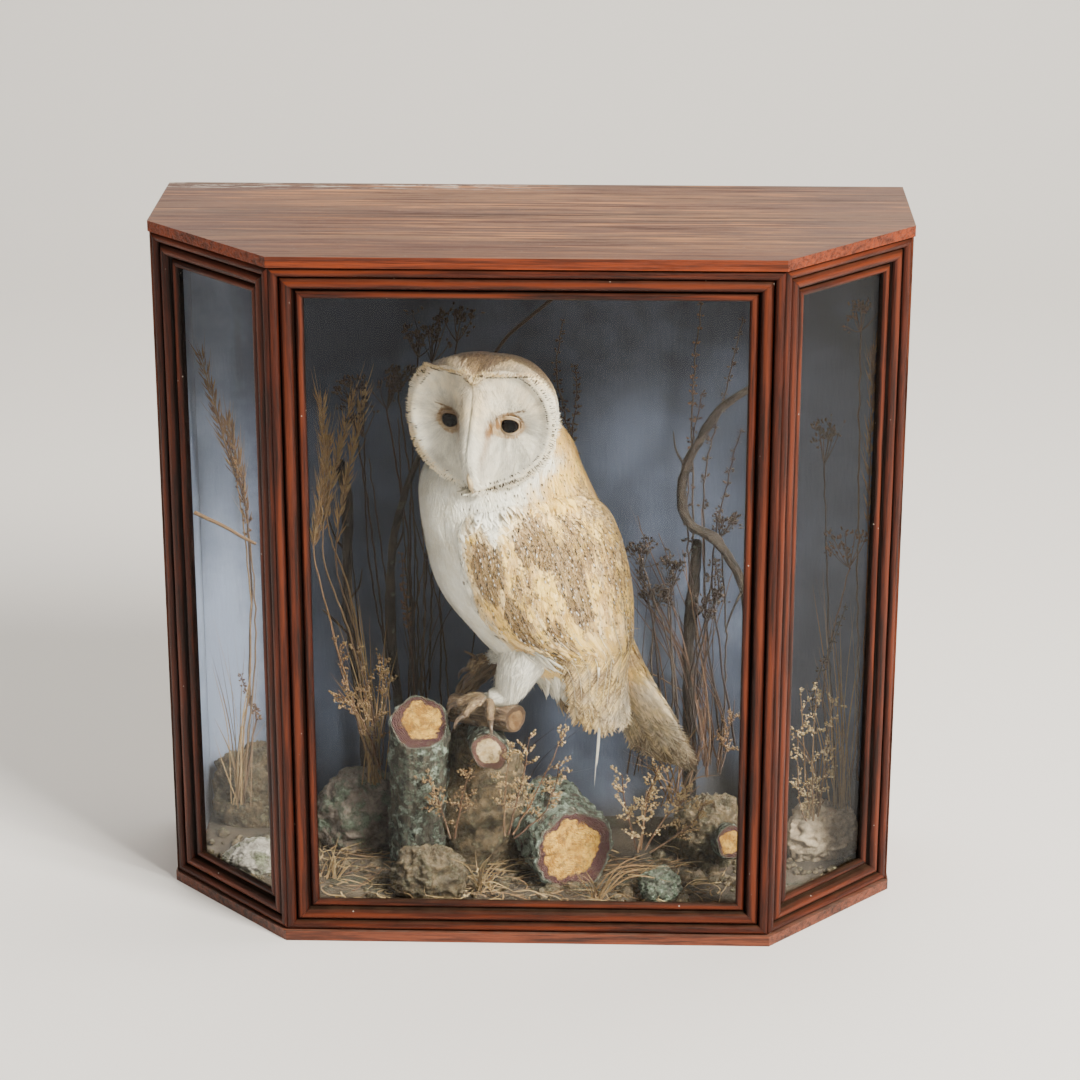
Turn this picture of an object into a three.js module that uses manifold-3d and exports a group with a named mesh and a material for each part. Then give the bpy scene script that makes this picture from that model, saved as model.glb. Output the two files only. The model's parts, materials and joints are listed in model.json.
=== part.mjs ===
// Barn owl, preserved and set up as if perched, in a glazed case with a flat back and canted front corners.
// Millimetres, +Z up. The origin is under the middle of the case, +X runs along its width, +Y to the back.
import * as THREE from "three";
import { mergeVertices } from "three/addons/utils/BufferGeometryUtils.js";
import Module from "manifold-3d";

// ---- The case ----
const CASE_WIDTH = 490;
const CASE_DEPTH = 190;
const CASE_HEIGHT = 468;
const FRONT_WIDTH = 320; // the straight front, between the two canted corners
const CANT_DEPTH = 87; // how far back the canted corners run
const TOP_BOARD = 7;
const BASE_BOARD = 7;
const BACK_BOARD = 8;
const SIDE_BOARD = 12;
const GAP = 0.3; // between pieces that touch
const FRAME_INSET = 1; // the top and base boards stand out past the frames by this

// The moulding of the glazed frames: three beads that step back to the glass.
const RAIL_WIDTH = 20.7;
const STILE_WIDTH = 22;
const FRAME_THICKNESS = 14;
const BEADS = [
  { middle: 3.2, radius: 3.1, crest: 0 },
  { middle: 10.5, radius: 3.8, crest: 1 },
  { middle: 18.1, radius: 2.6, crest: 3.9 },
];
const BEAD_STEPS = 4;
const REBATE_START = 15.5;
const REBATE_FRONT = 7.2;
const GLASS_THICKNESS = 2;

// ---- The bird ----
const BODY_TURN = THREE.MathUtils.degToRad(20); // the breast points left, turned this far to the front
const HEAD_TURN = THREE.MathUtils.degToRad(17); // the face points to the front, turned this far left
const HEAD_PLACE = new THREE.Vector3(-33, -38, 344); // the middle of the face, level with the eyes
const EYE_RADIUS = 7.4;
const EYE_SPREAD = 40; // from eye to eye
const EYE_SINK = 8.6; // the middle of each eye lies this far behind the plane of the face
const FACE_SHARE = 0.5; // how much of the head's mesh lies inside the ruff
const HEAD_BACK = 66; // from the plane of the face to the back of the head
const NECK_FOOT = 296; // the height where the neck meets the trunk
const BIRD_GAP = 0.35;

const wasm = await Module();
wasm.setup();

const group = new THREE.Group();

// ---- Looks ----
const look = (color, roughness, metalness = 0) => ({ color, roughness, metalness });
const STAINED = look(0x6b2a17, 0.45);
const TOP_WOOD = look(0x5e3c2b, 0.6);
const BARE_PINE = look(0x9a7a55, 0.8);
const GLASS = look(0xdfe8ea, 0.05);
const EARTH = look(0x6a6254, 0.95);
const ROCK = look(0x8d8172, 0.95);
const MOSS = look(0x5d6046, 0.95);
const LICHEN = look(0x6f7f70, 0.95);
const BARK = look(0x6e604e, 0.9);
const TWIG = look(0x4c4238, 0.85);
const WHITE_FEATHER = look(0xece6d8, 0.9);
const BUFF_FEATHER = look(0xb8a078, 0.9);
const TAIL_FEATHER = look(0x9d8a6c, 0.9);
const HORN = look(0xcdbd9d, 0.5);
const TOE = look(0x8a6a48, 0.8);
const EYE = look(0x0b0908, 0.05);

const vec = (x, y, z) => new THREE.Vector3(x, y, z);

// ---- From mesh to solid and back ----
function solidOf(geometry) {
  const bare = new THREE.BufferGeometry();
  bare.setAttribute("position", geometry.getAttribute("position").clone());
  if (geometry.index) {
    bare.setIndex(geometry.index.clone());
  }
  const merged = mergeVertices(bare, 1e-3);
  const build = (triVerts) =>
    new wasm.Manifold(
      new wasm.Mesh({ numProp: 3, vertProperties: merged.attributes.position.array, triVerts }),
    );
  const order = new Uint32Array(merged.index.array);
  const made = build(order);
  if (made.volume() > 0) {
    return made;
  }
  for (let i = 0; i < order.length; i += 3) {
    [order[i + 1], order[i + 2]] = [order[i + 2], order[i + 1]];
  }
  return build(order);
}

function largestOf(solid) {
  const bodies = solid.decompose();
  return bodies.reduce((best, body) => (body.volume() > best.volume() ? body : best));
}

function add(name, solid, finish) {
  const mesh = largestOf(solid).getMesh();
  const geometry = new THREE.BufferGeometry();
  geometry.setAttribute("position", new THREE.BufferAttribute(new Float32Array(mesh.vertProperties), 3));
  geometry.setIndex(new THREE.BufferAttribute(new Uint32Array(mesh.triVerts), 1));
  const node = new THREE.Mesh(geometry, new THREE.MeshStandardMaterial(finish));
  node.name = name;
  group.add(node);
}

// A smooth curve through (x, y) pairs, as a function of x.
function through(...pairs) {
  const slope = (i) => {
    const before = pairs[Math.max(i - 1, 0)];
    const after = pairs[Math.min(i + 1, pairs.length - 1)];
    return (after[1] - before[1]) / (after[0] - before[0]);
  };
  return (x) => {
    let i = 0;
    while (i < pairs.length - 2 && (x - pairs[i + 1][0]) * (pairs[1][0] - pairs[0][0]) > 0) {
      i += 1;
    }
    const [x0, y0] = pairs[i];
    const [x1, y1] = pairs[i + 1];
    const span = x1 - x0;
    const t = THREE.MathUtils.clamp((x - x0) / span, 0, 1);
    const share = 2 * t ** 3 - 3 * t ** 2 + 1;
    const leaving = (t ** 3 - 2 * t ** 2 + t) * slope(i);
    const arriving = (t ** 3 - t ** 2) * slope(i + 1);
    return share * y0 + (1 - share) * y1 + span * (leaving + arriving);
  };
}

// A closed surface from a ball's grid: run goes from one pole (0) to the other (1), turn goes round.
function shaped(around, along, place) {
  const ball = new THREE.SphereGeometry(1, around, along);
  ball.deleteAttribute("normal");
  ball.deleteAttribute("uv");
  const grid = mergeVertices(ball);
  const position = grid.attributes.position;
  for (let i = 0; i < position.count; i += 1) {
    const run = Math.acos(THREE.MathUtils.clamp(position.getY(i), -1, 1)) / Math.PI;
    const turn = Math.atan2(position.getZ(i), position.getX(i));
    const p = place(run, turn);
    position.setXYZ(i, p.x, p.y, p.z);
  }
  return grid;
}

// 1 in the middle of a run, falling to 0 at both ends in a quarter round.
function roundEnds(run, share) {
  const end = Math.min(run / share, (1 - run) / share, 1);
  return Math.sqrt(1 - (1 - end) ** 2);
}

function boxBetween(low, high) {
  const size = high.clone().sub(low);
  const middle = low.clone().add(high).multiplyScalar(0.5);
  return new THREE.BoxGeometry(size.x, size.y, size.z).translate(middle.x, middle.y, middle.z);
}

const FAR = 400; // further than anything in the case
const above = (z) => solidOf(boxBetween(vec(-FAR, -FAR, z), vec(FAR, FAR, 2 * FAR)));
const below = (z) => solidOf(boxBetween(vec(-FAR, -FAR, -FAR), vec(FAR, FAR, z)));

function prism(outline, bottom, top) {
  const shape = new THREE.Shape(outline.map(([x, y]) => new THREE.Vector2(x, y)));
  const block = new THREE.ExtrudeGeometry(shape, { depth: top - bottom, bevelEnabled: false });
  return block.translate(0, 0, bottom);
}

// ---- Case: boards ----
const FRONT_Y = -CASE_DEPTH / 2;
const BACK_Y = CASE_DEPTH / 2;
const CANT_Y = FRONT_Y + CANT_DEPTH;
const WALL_FOOT = BASE_BOARD + GAP;
const WALL_TOP = CASE_HEIGHT - TOP_BOARD - GAP;

// The case in plan, with each side moved inward by the inset.
function caseOutline(inset) {
  const cantRun = Math.hypot((CASE_WIDTH - FRONT_WIDTH) / 2, CANT_DEPTH);
  const x = CASE_WIDTH / 2 - inset;
  const front = FRONT_WIDTH / 2 - (inset * (cantRun - (CASE_WIDTH - FRONT_WIDTH) / 2)) / CANT_DEPTH;
  const cant = CANT_Y + (inset * (cantRun - CANT_DEPTH)) / ((CASE_WIDTH - FRONT_WIDTH) / 2);
  return [
    [-front, FRONT_Y + inset],
    [front, FRONT_Y + inset],
    [x, cant],
    [x, BACK_Y - inset],
    [-x, BACK_Y - inset],
    [-x, cant],
  ];
}

add("base_board", solidOf(prism(caseOutline(0), 0, BASE_BOARD)), STAINED);
add("top_board", solidOf(prism(caseOutline(0), CASE_HEIGHT - TOP_BOARD, CASE_HEIGHT)), TOP_WOOD);

const corners = caseOutline(FRAME_INSET).map(([x, y]) => new THREE.Vector2(x, y));
const [FRONT_LEFT, FRONT_RIGHT, CANT_RIGHT, BACK_RIGHT] = corners;
const CANT_LEFT = corners[5];
const CANT = CANT_RIGHT.clone().sub(FRONT_RIGHT);
const SIDE_MITRE = Math.tan(Math.atan2(CANT.x, CANT.y) / 2);
const FRONT_MITRE = Math.tan(Math.atan2(CANT.y, CANT.x) / 2);

function sideBoard(side) {
  const outer = side * CANT_RIGHT.x;
  const inner = side * (CANT_RIGHT.x - SIDE_BOARD);
  const outline = [
    [outer, CANT_RIGHT.y + GAP],
    [outer, BACK_RIGHT.y],
    [inner, BACK_RIGHT.y],
    [inner, CANT_RIGHT.y + GAP + SIDE_BOARD * SIDE_MITRE],
  ];
  return solidOf(prism(side > 0 ? outline : outline.reverse(), WALL_FOOT, WALL_TOP));
}

add("side_left", sideBoard(-1), STAINED);
add("side_right", sideBoard(1), STAINED);

const backHalf = CANT_RIGHT.x - SIDE_BOARD - GAP;
const backLow = new THREE.Vector3(-backHalf, BACK_RIGHT.y - BACK_BOARD, WALL_FOOT);
const backHigh = new THREE.Vector3(backHalf, BACK_RIGHT.y, WALL_TOP);
add("back_board", solidOf(boxBetween(backLow, backHigh)), BARE_PINE);

// ---- Case: moulded frames and their glass ----
// The section of a bar: x from the outer edge to the sight edge, y from the front into the case.
function barSection(width) {
  const scale = width / RAIL_WIDTH;
  const shape = new THREE.Shape();
  shape.moveTo(0, FRAME_THICKNESS);
  for (const bead of BEADS) {
    for (let i = 0; i <= BEAD_STEPS; i += 1) {
      const angle = Math.PI * (1 - i / BEAD_STEPS);
      const x = bead.middle + bead.radius * Math.cos(angle);
      const y = bead.crest + bead.radius * (1 - Math.sin(angle));
      shape.lineTo(Math.max(x, 0) * scale, y);
    }
  }
  shape.lineTo(width, REBATE_FRONT);
  shape.lineTo(REBATE_START * scale, REBATE_FRONT);
  shape.lineTo(REBATE_START * scale, FRAME_THICKNESS);
  return shape;
}

const AXIS = {
  along: new THREE.Vector3(1, 0, 0),
  up: new THREE.Vector3(0, 1, 0),
  inward: new THREE.Vector3(0, 0, 1),
};

// One frame seen from outside, from its left plan corner to its right one.
// Its own axes are along the frame, up, and into the case.
function glazedFrame(name, left, right, leftMitre, rightMitre) {
  const length = left.distanceTo(right);
  const height = WALL_TOP - WALL_FOOT;
  const along = new THREE.Vector3(right.x - left.x, right.y - left.y, 0).normalize();
  const up = new THREE.Vector3(0, 0, 1);
  const inward = new THREE.Vector3(-along.y, along.x, 0);
  const stand = new THREE.Matrix4().makeBasis(along, up, inward).setPosition(left.x, left.y, WALL_FOOT);

  const back = FRAME_THICKNESS + 1;
  const planOutline = [
    [GAP / 2 - leftMitre, -1],
    [length - GAP / 2 + rightMitre, -1],
    [length - GAP / 2 - back * rightMitre, back],
    [GAP / 2 + back * leftMitre, back],
  ];
  const planTurn = new THREE.Matrix4().makeBasis(AXIS.along, AXIS.inward, AXIS.up);
  const planWedge = solidOf(prism(planOutline, 0, height).applyMatrix4(planTurn));

  const bar = (suffix, width, run, section, mitre) => {
    const turned = new THREE.ExtrudeGeometry(barSection(width), { depth: run, bevelEnabled: false });
    turned.applyMatrix4(section);
    const mitreWedge = solidOf(prism(mitre, -1, back));
    const trimmed = solidOf(turned).intersect(mitreWedge).intersect(planWedge);
    const geometry = new THREE.BufferGeometry();
    const mesh = trimmed.getMesh();
    geometry.setAttribute("position", new THREE.BufferAttribute(new Float32Array(mesh.vertProperties), 3));
    geometry.setIndex(new THREE.BufferAttribute(new Uint32Array(mesh.triVerts), 1));
    add(name + suffix, solidOf(geometry.applyMatrix4(stand)), STAINED);
  };
  const inner = { x: STILE_WIDTH, y: RAIL_WIDTH };
  const basis = (x, y, z) => new THREE.Matrix4().makeBasis(x, y, z);
  const down = AXIS.up.clone().negate();
  const leftward = AXIS.along.clone().negate();
  bar("_rail_bottom", RAIL_WIDTH, length, basis(AXIS.up, AXIS.inward, AXIS.along), [
    [GAP, 0],
    [length - GAP, 0],
    [length - GAP - inner.x, inner.y],
    [GAP + inner.x, inner.y],
  ]);
  const fromTop = basis(down, AXIS.inward, AXIS.along).setPosition(0, height, 0);
  bar("_rail_top", RAIL_WIDTH, length, fromTop, [
    [GAP + inner.x, height - inner.y],
    [length - GAP - inner.x, height - inner.y],
    [length - GAP, height],
    [GAP, height],
  ]);
  bar("_stile_left", STILE_WIDTH, height, basis(AXIS.along, AXIS.inward, AXIS.up), [
    [0, 0],
    [inner.x, inner.y],
    [inner.x, height - inner.y],
    [0, height],
  ]);
  const fromRight = basis(leftward, AXIS.inward, AXIS.up).setPosition(length, 0, 0);
  bar("_stile_right", STILE_WIDTH, height, fromRight, [
    [length - inner.x, inner.y],
    [length, 0],
    [length, height],
    [length - inner.x, height - inner.y],
  ]);

  const edgeX = (REBATE_START * STILE_WIDTH) / RAIL_WIDTH + GAP;
  const edgeY = REBATE_START + GAP;
  const paneLow = new THREE.Vector3(edgeX, edgeY, REBATE_FRONT + GAP);
  const paneHigh = new THREE.Vector3(length - edgeX, height - edgeY, REBATE_FRONT + GAP + GLASS_THICKNESS);
  add(name + "_glass", solidOf(boxBetween(paneLow, paneHigh).applyMatrix4(stand)), GLASS);
}

glazedFrame("front", FRONT_LEFT, FRONT_RIGHT, FRONT_MITRE, FRONT_MITRE);
glazedFrame("left", CANT_LEFT, FRONT_LEFT, SIDE_MITRE, FRONT_MITRE);
glazedFrame("right", FRONT_RIGHT, CANT_RIGHT, FRONT_MITRE, SIDE_MITRE);

// ---- Groundwork: rocks, mounds, logs and branches fixed to the floor ----
const FLOOR = BASE_BOARD + GAP;

// A boulder: an uneven ball, its foot flat on the floor.
function boulder(centre, half, roughness, seed) {
  const geometry = shaped(12, 8, (run, turn) => {
    const polar = run * Math.PI;
    const ray = new THREE.Vector3(
      Math.sin(polar) * Math.cos(turn),
      Math.sin(polar) * Math.sin(turn),
      Math.cos(polar),
    );
    const bulge = Math.sin(3.1 * ray.x + seed) * Math.cos(2.7 * ray.y - seed);
    const lump = bulge + Math.sin(4.3 * ray.z + 2 * seed);
    const chip = Math.sin(7 * ray.x + 5 * ray.y + 3 * seed) * Math.cos(6 * ray.z - seed);
    const swell = 1 + roughness * (0.6 * lump + 0.4 * chip);
    const p = ray.multiply(half).multiplyScalar(swell).add(centre);
    p.z = Math.max(p.z, FLOOR);
    p.y = Math.min(p.y, backLow.y - GAP);
    return p;
  });
  return solidOf(geometry);
}

// A cut log: round, a little uneven, with its near end sawn square or on a slant.
function cutLog(near, far, radius, cutNormal) {
  const axis = far.clone().sub(near).normalize();
  const side = new THREE.Vector3(0, 0, 1).cross(axis);
  side.lengthSq() < 0.01 ? side.set(1, 0, 0) : side.normalize();
  const over = axis.clone().cross(side);
  const length = near.distanceTo(far);
  const log = new THREE.CylinderGeometry(radius, radius, 1, 18, 1);
  const position = log.attributes.position;
  for (let i = 0; i < position.count; i += 1) {
    const angle = Math.atan2(position.getZ(i), position.getX(i));
    const uneven = 1 + 0.05 * Math.sin(2 * angle + radius) + 0.03 * Math.sin(5 * angle);
    const radial = side.clone().multiplyScalar(position.getX(i) * uneven);
    radial.addScaledVector(over, position.getZ(i) * uneven);
    const slant = position.getY(i) < 0 ? -radial.dot(cutNormal) / axis.dot(cutNormal) : 0;
    const run = (position.getY(i) + 0.5) * length + slant;
    const p = near.clone().addScaledVector(axis, run).add(radial);
    p.z = Math.max(p.z, FLOOR);
    position.setXYZ(i, p.x, p.y, p.z);
  }
  return solidOf(log);
}

// A bare branch along a smooth curve.
function branch(points, radius, sides = 7, stepsPerPoint = 2) {
  const curve = new THREE.CatmullRomCurve3(points.map(([x, y, z]) => new THREE.Vector3(x, y, z)));
  const section = new THREE.Shape();
  for (let i = 0; i < sides; i += 1) {
    const angle = (2 * Math.PI * i) / sides;
    const corner = [radius * Math.cos(angle), radius * Math.sin(angle)];
    i === 0 ? section.moveTo(...corner) : section.lineTo(...corner);
  }
  const steps = stepsPerPoint * (points.length - 1);
  return solidOf(new THREE.ExtrudeGeometry(section, { steps, extrudePath: curve, bevelEnabled: false }));
}

const direction = (x, y, z) => vec(x, y, z).normalize();

const logA = cutLog(vec(-75, -12, 122), vec(-78, 4, 7), 19, direction(-0.05, -0.6, 0.8));
const logB = cutLog(vec(-27, -36, 112), vec(-31, 6, 106), 12.5, direction(-0.05, -1, 0.12));
const logC = cutLog(vec(30, -24, 34), vec(6, 32, 36), 27.5, direction(0.36, -0.9, 0.2));
const perch = cutLog(vec(-10, -25, 131), vec(-52, 12, 124), 9, direction(0.75, -0.66, 0.1));
const rearPerch = branch([[-14, 26, 160], [-32, 22, 146], [-45, 20, 134], [-50, 18, 112]], 6);

const mound = boulder(vec(-37, 16, 40), vec(32, 30, 72), 0.1, 1.3);
const rockLeft = boulder(vec(-121, 40, 30), vec(36, 24, 30), 0.09, 0.4);
const rockFront = boulder(vec(-66, -42, 24), vec(26, 18, 20), 0.1, 2.2);
const rockGreen = boulder(vec(89, -45, 19), vec(14, 12, 12), 0.1, 4.1);
const moundRight = boulder(vec(124, 24, 26), vec(25, 25, 28), 0.1, 5.2);
const rockRight = boulder(vec(201, 32, 22), vec(27, 22, 24), 0.08, 3.3);
const bankLeft = boulder(vec(-196, 74, 28), vec(34, 18, 40), 0.1, 0.9);
const rockPale = boulder(vec(-188, 2, 12), vec(22, 20, 11), 0.09, 1.9);
const stump = cutLog(vec(137, -16, 38), vec(132, 14, 26), 11, direction(0.2, -0.9, 0.3));

add("log_left", logA.subtract(rockLeft), BARK);
add("log_middle", logB, BARK);
add("log_front", logC, LICHEN);
add("log_right", stump, BARK);

// Each piece is cut clear of what it leans on by a slightly larger copy of that piece.
function swollen(solid, by) {
  const box = solid.boundingBox();
  const middle = box.min.map((low, i) => (low + box.max[i]) / 2);
  const grow = box.min.map((low, i) => 1 + (2 * by) / (box.max[i] - low));
  const offset = middle.map((m, i) => m * (1 - grow[i]));
  return solid.scale(grow).translate(offset);
}

function clearOf(solid, ...others) {
  return others.reduce((rest, other) => rest.subtract(swollen(other, 2 * GAP)), solid);
}

add("perch_log", clearOf(perch, logB), BARK);
add("perch_branch", clearOf(rearPerch, perch, logB), BARK);
add("mound_perch", clearOf(mound, logA, logB, logC, perch, rearPerch, rockFront), MOSS);
add("rock_left", clearOf(rockLeft, logA), ROCK);
add("rock_front", rockFront, MOSS);
add("rock_green", rockGreen, LICHEN);
add("mound_right", clearOf(moundRight, stump), MOSS);
add("rock_right", rockRight, ROCK);
add("bank_left", bankLeft, EARTH);
add("rock_pale", rockPale, ROCK);

const branchLeft = [
  [-133, 72, 281],
  [-129, 72, 250],
  [-129, 72, 214],
  [-130, 72, 176],
  [-127, 72, 144],
  [-122, 72, 98],
  [-119, 72, 48],
  [-119, 72, FLOOR],
];
const branchMiddle = [
  [-77, 60, 290],
  [-92, 60, 247],
  [-98, 60, 205],
  [-99, 60, 160],
  [-95, 66, 100],
  [-88, 72, FLOOR],
];
const branchCurly = [
  [147, 42, 345],
  [126, 41, 330],
  [113, 40, 310],
  [103, 40, 288],
  [100, 40, 264],
  [107, 40, 247],
  [122, 40, 238],
  [133, 40, 224],
  [143, 42, 200],
  [150, 48, 150],
  [155, 56, 90],
  [158, 62, FLOOR],
];
const trunkRight = [
  [112, 54, 232],
  [109, 54, 189],
  [107, 54, 147],
  [109, 54, 90],
  [110, 54, FLOOR],
];
add("branch_left", branch(branchLeft, 3.4), TWIG);
add("branch_middle", branch(branchMiddle, 2.8), TWIG);
add("branch_curly", branch(branchCurly, 3.2), TWIG);
add("branch_right", branch(trunkRight, 4), TWIG);

// ---- Bird: axes of the body and of the head ----
const FORWARD = vec(-Math.cos(BODY_TURN), -Math.sin(BODY_TURN), 0);
const LEFT_SIDE = vec(Math.sin(BODY_TURN), -Math.cos(BODY_TURN), 0);
const FACE_OUT = vec(-Math.sin(HEAD_TURN), -Math.cos(HEAD_TURN), 0);
const FACE_SIDE = vec(Math.cos(HEAD_TURN), -Math.sin(HEAD_TURN), 0);

// ---- Bird: neck and trunk, as level slices from the head down ----
const TORSO_TOP = 342;
const TORSO_FOOT = 132;
const centreX = through(
  [342, -14],
  [324, -15],
  [300, -19],
  [281, -16],
  [260, -10],
  [218, 1],
  [182, 15],
  [150, 29],
  [108, 45],
);
const centreY = through([342, 16], [324, 13], [300, 4], [260, 3], [200, 8], [150, 17], [108, 22]);
const halfLong = through(
  [342, 30],
  [324, 39],
  [300, 52.5],
  [260, 62],
  [218, 62],
  [182, 51],
  [164, 43],
  [150, 37.5],
  [108, 29],
);
const halfWide = through(
  [342, 28],
  [324, 35],
  [300, 43],
  [260, 50],
  [218, 50],
  [182, 41],
  [150, 30],
  [108, 20],
);

// A point of the body at a height: angle 0 is the breast, 90 degrees the bird's left side.
function onBody(z, angle, swell) {
  const p = vec(centreX(z), centreY(z), z);
  p.addScaledVector(FORWARD, halfLong(z) * Math.cos(angle) * swell);
  p.addScaledVector(LEFT_SIDE, halfWide(z) * Math.sin(angle) * swell);
  return p;
}

function torso() {
  const geometry = shaped(22, 15, (run, turn) => {
    const z = THREE.MathUtils.lerp(TORSO_TOP, TORSO_FOOT, run);
    return onBody(z, turn, roundEnds(run, 0.16));
  });
  return solidOf(geometry);
}

// ---- Bird: folded wings, as shells that bend round the body's sides ----
const WING_TOP = 293;
const WING_TIP = 105;
// The angles where the wing starts and ends, in degrees from the breast, by height.
const wingFront = through(
  [293, 66],
  [280, 45],
  [259, 40],
  [220, 40],
  [192, 43],
  [173, 62],
  [150, 63],
  [128, 54],
  [108, 48],
);
const wingBack = through(
  [293, 125],
  [280, 156],
  [259, 168],
  [200, 167],
  [173, 160],
  [157, 150],
  [135, 134],
  [108, 128],
);
const WING_THICKNESS = 9;
const WING_STAND = 0.05; // how far the middle of the wing lies outside the body, as a share of it

function wing(side, grow) {
  const geometry = shaped(16, 14, (run, turn) => {
    const fromTop = THREE.MathUtils.lerp(run, (1 - Math.cos(Math.PI * run)) / 2, 0.6);
    const z = THREE.MathUtils.lerp(WING_TOP, WING_TIP, fromTop);
    const front = THREE.MathUtils.degToRad(wingFront(z));
    const back = THREE.MathUtils.degToRad(wingBack(z));
    const ends = roundEnds(run, 0.06);
    const width = ((back - front) / 2) * ends + grow / 40;
    const angle = (front + back) / 2 + width * Math.cos(turn);
    const thin = THREE.MathUtils.lerp(1, 0.5, run);
    const depth = ((WING_THICKNESS / 2) * thin * ends + grow) * Math.sin(turn);
    const p = onBody(z, side * angle, 1 + WING_STAND);
    p.z += grow * (1 - 2 * run);
    const out = vec(0, 0, 0);
    out.addScaledVector(FORWARD, Math.cos(angle) / halfLong(z));
    out.addScaledVector(LEFT_SIDE, (side * Math.sin(angle)) / halfWide(z));
    return p.addScaledVector(out.normalize(), depth);
  });
  return solidOf(geometry);
}

// ---- Bird: tail, a flat wedge that widens to a square tip ----
const TAIL_ROUTE = new THREE.CatmullRomCurve3([
  vec(50, 16, 186),
  vec(61, 20, 150),
  vec(80, 25, 110),
  vec(92, 28, 75),
]);
const TAIL_TURN = THREE.MathUtils.degToRad(52); // the tail is twisted further round than the body
const tailWide = through([0, 15], [0.35, 23], [0.7, 29], [1, 28]);
const tailThick = through([0, 20], [0.35, 15], [0.7, 9], [1, 5]);

function tail(grow) {
  const down = TAIL_ROUTE.getPoint(1).sub(TAIL_ROUTE.getPoint(0)).normalize();
  const across = vec(Math.sin(TAIL_TURN), -Math.cos(TAIL_TURN), 0);
  const thick = across.clone().cross(down).normalize();
  const geometry = shaped(16, 9, (run, turn) => {
    const p = TAIL_ROUTE.getPoint(run);
    const ends = roundEnds(run, 0.1);
    const flat = Math.sign(Math.cos(turn)) * Math.abs(Math.cos(turn)) ** 0.7;
    p.addScaledVector(across, (tailWide(run) + grow) * flat * ends);
    p.addScaledVector(thick, ((tailThick(run) / 2) * ends + grow) * Math.sin(turn));
    return p;
  });
  return solidOf(geometry);
}

// ---- Bird: legs and feet ----
// A tapering rod from a list of points, each with its radius.
function limb(stations, grow = 0, around = 10, along = 7) {
  const route = new THREE.CatmullRomCurve3(stations.map(([x, y, z]) => vec(x, y, z)));
  const radius = through(...stations.map(([, , , r], i) => [i / (stations.length - 1), r]));
  const geometry = shaped(around, along, (run, turn) => {
    const heading = route.getTangent(THREE.MathUtils.clamp(run, 0.01, 0.99));
    const side = vec(0, 1, 0).cross(heading).normalize();
    const over = heading.clone().cross(side);
    const reach = (radius(run) + grow) * roundEnds(run, 0.12);
    const p = route.getPoint(run);
    p.addScaledVector(side, reach * Math.cos(turn));
    return p.addScaledVector(over, reach * Math.sin(turn));
  });
  return solidOf(geometry);
}

const LEFT_THIGH = [[4, -14, 190, 18], [-6, -14, 168, 17], [-12, -14, 150, 12], [-15, -14, 138, 8]];
const RIGHT_THIGH = [[0, 22, 190, 17], [-8, 24, 168, 16], [-14, 24, 154, 11], [-18, 24, 146, 8]];
const LEFT_SHANK = [[-13, -14, 146, 7], [-20, -15, 144, 6.5], [-28, -15, 142, 5]];
const RIGHT_SHANK = [[-16, 24, 156, 6.5], [-22, 23, 158, 6], [-29, 21, 156, 5]];

function foot(shank, ankle, spread) {
  let made = limb(shank);
  for (const [dx, dy, drop] of spread) {
    const knuckle = [ankle[0] + 0.55 * dx, ankle[1] + 0.55 * dy, ankle[2] + 2 - 0.2 * drop, 3.4];
    const end = [ankle[0] + dx, ankle[1] + dy, ankle[2] - 0.55 * drop, 2.6];
    const claw = [ankle[0] + 1.12 * dx, ankle[1] + 1.12 * dy, ankle[2] - drop, 0.7];
    made = made.add(limb([[...ankle, 4], knuckle, end, claw], 0, 6, 6));
  }
  return made;
}

const LEFT_TOES = [[-22, 8, 13], [-17, -9, 16], [2, -17, 16]];
const RIGHT_TOES = [[-15, 3, 15], [-12, -9, 15], [4, 11, 12]];

// ---- Bird: head ----
// The ruff round the face, a heart: its distance from the middle of the face by angle from straight up.
const ruffReach = through([0, 31], [33, 46], [60, 50], [90, 50.5], [118, 49], [149, 45], [180, 45]);
const skullReach = through([0, 43], [40, 46.5], [90, 48], [130, 45], [180, 43]);
const ridgeHeight = through(
  [34, 6],
  [22, 8],
  [10, 12],
  [0, 17],
  [-13, 21.5],
  [-26, 20],
  [-36, 14],
  [-46, 4],
);
const ridgeWidth = through([34, 20], [20, 16], [10, 13], [0, 11], [-20, 9.5], [-36, 6], [-46, 4.5]);

// How far the face stands out from its plane, across u and up v.
function faceRelief(u, v) {
  const degrees = THREE.MathUtils.radToDeg(Math.abs(Math.atan2(u, v)));
  const reach = Math.hypot(u, v) / ruffReach(degrees);
  const rim = -9 * (u / 49) ** 2;
  const dish = -3.2 * Math.exp(-(((Math.abs(u) - 24) / 15) ** 2) - ((v + 2) / 22) ** 2);
  const ruffLift = 2.4 * Math.exp(-(((reach - 0.93) / 0.09) ** 2));
  const ridge = ridgeHeight(v) * Math.exp(-(Math.abs(u / ridgeWidth(v)) ** 2.4));
  return rim + dish + ruffLift + ridge;
}

function inHead(u, v, w) {
  const p = HEAD_PLACE.clone().addScaledVector(FACE_SIDE, u).addScaledVector(FACE_OUT, w);
  p.z += v;
  return p;
}

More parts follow.
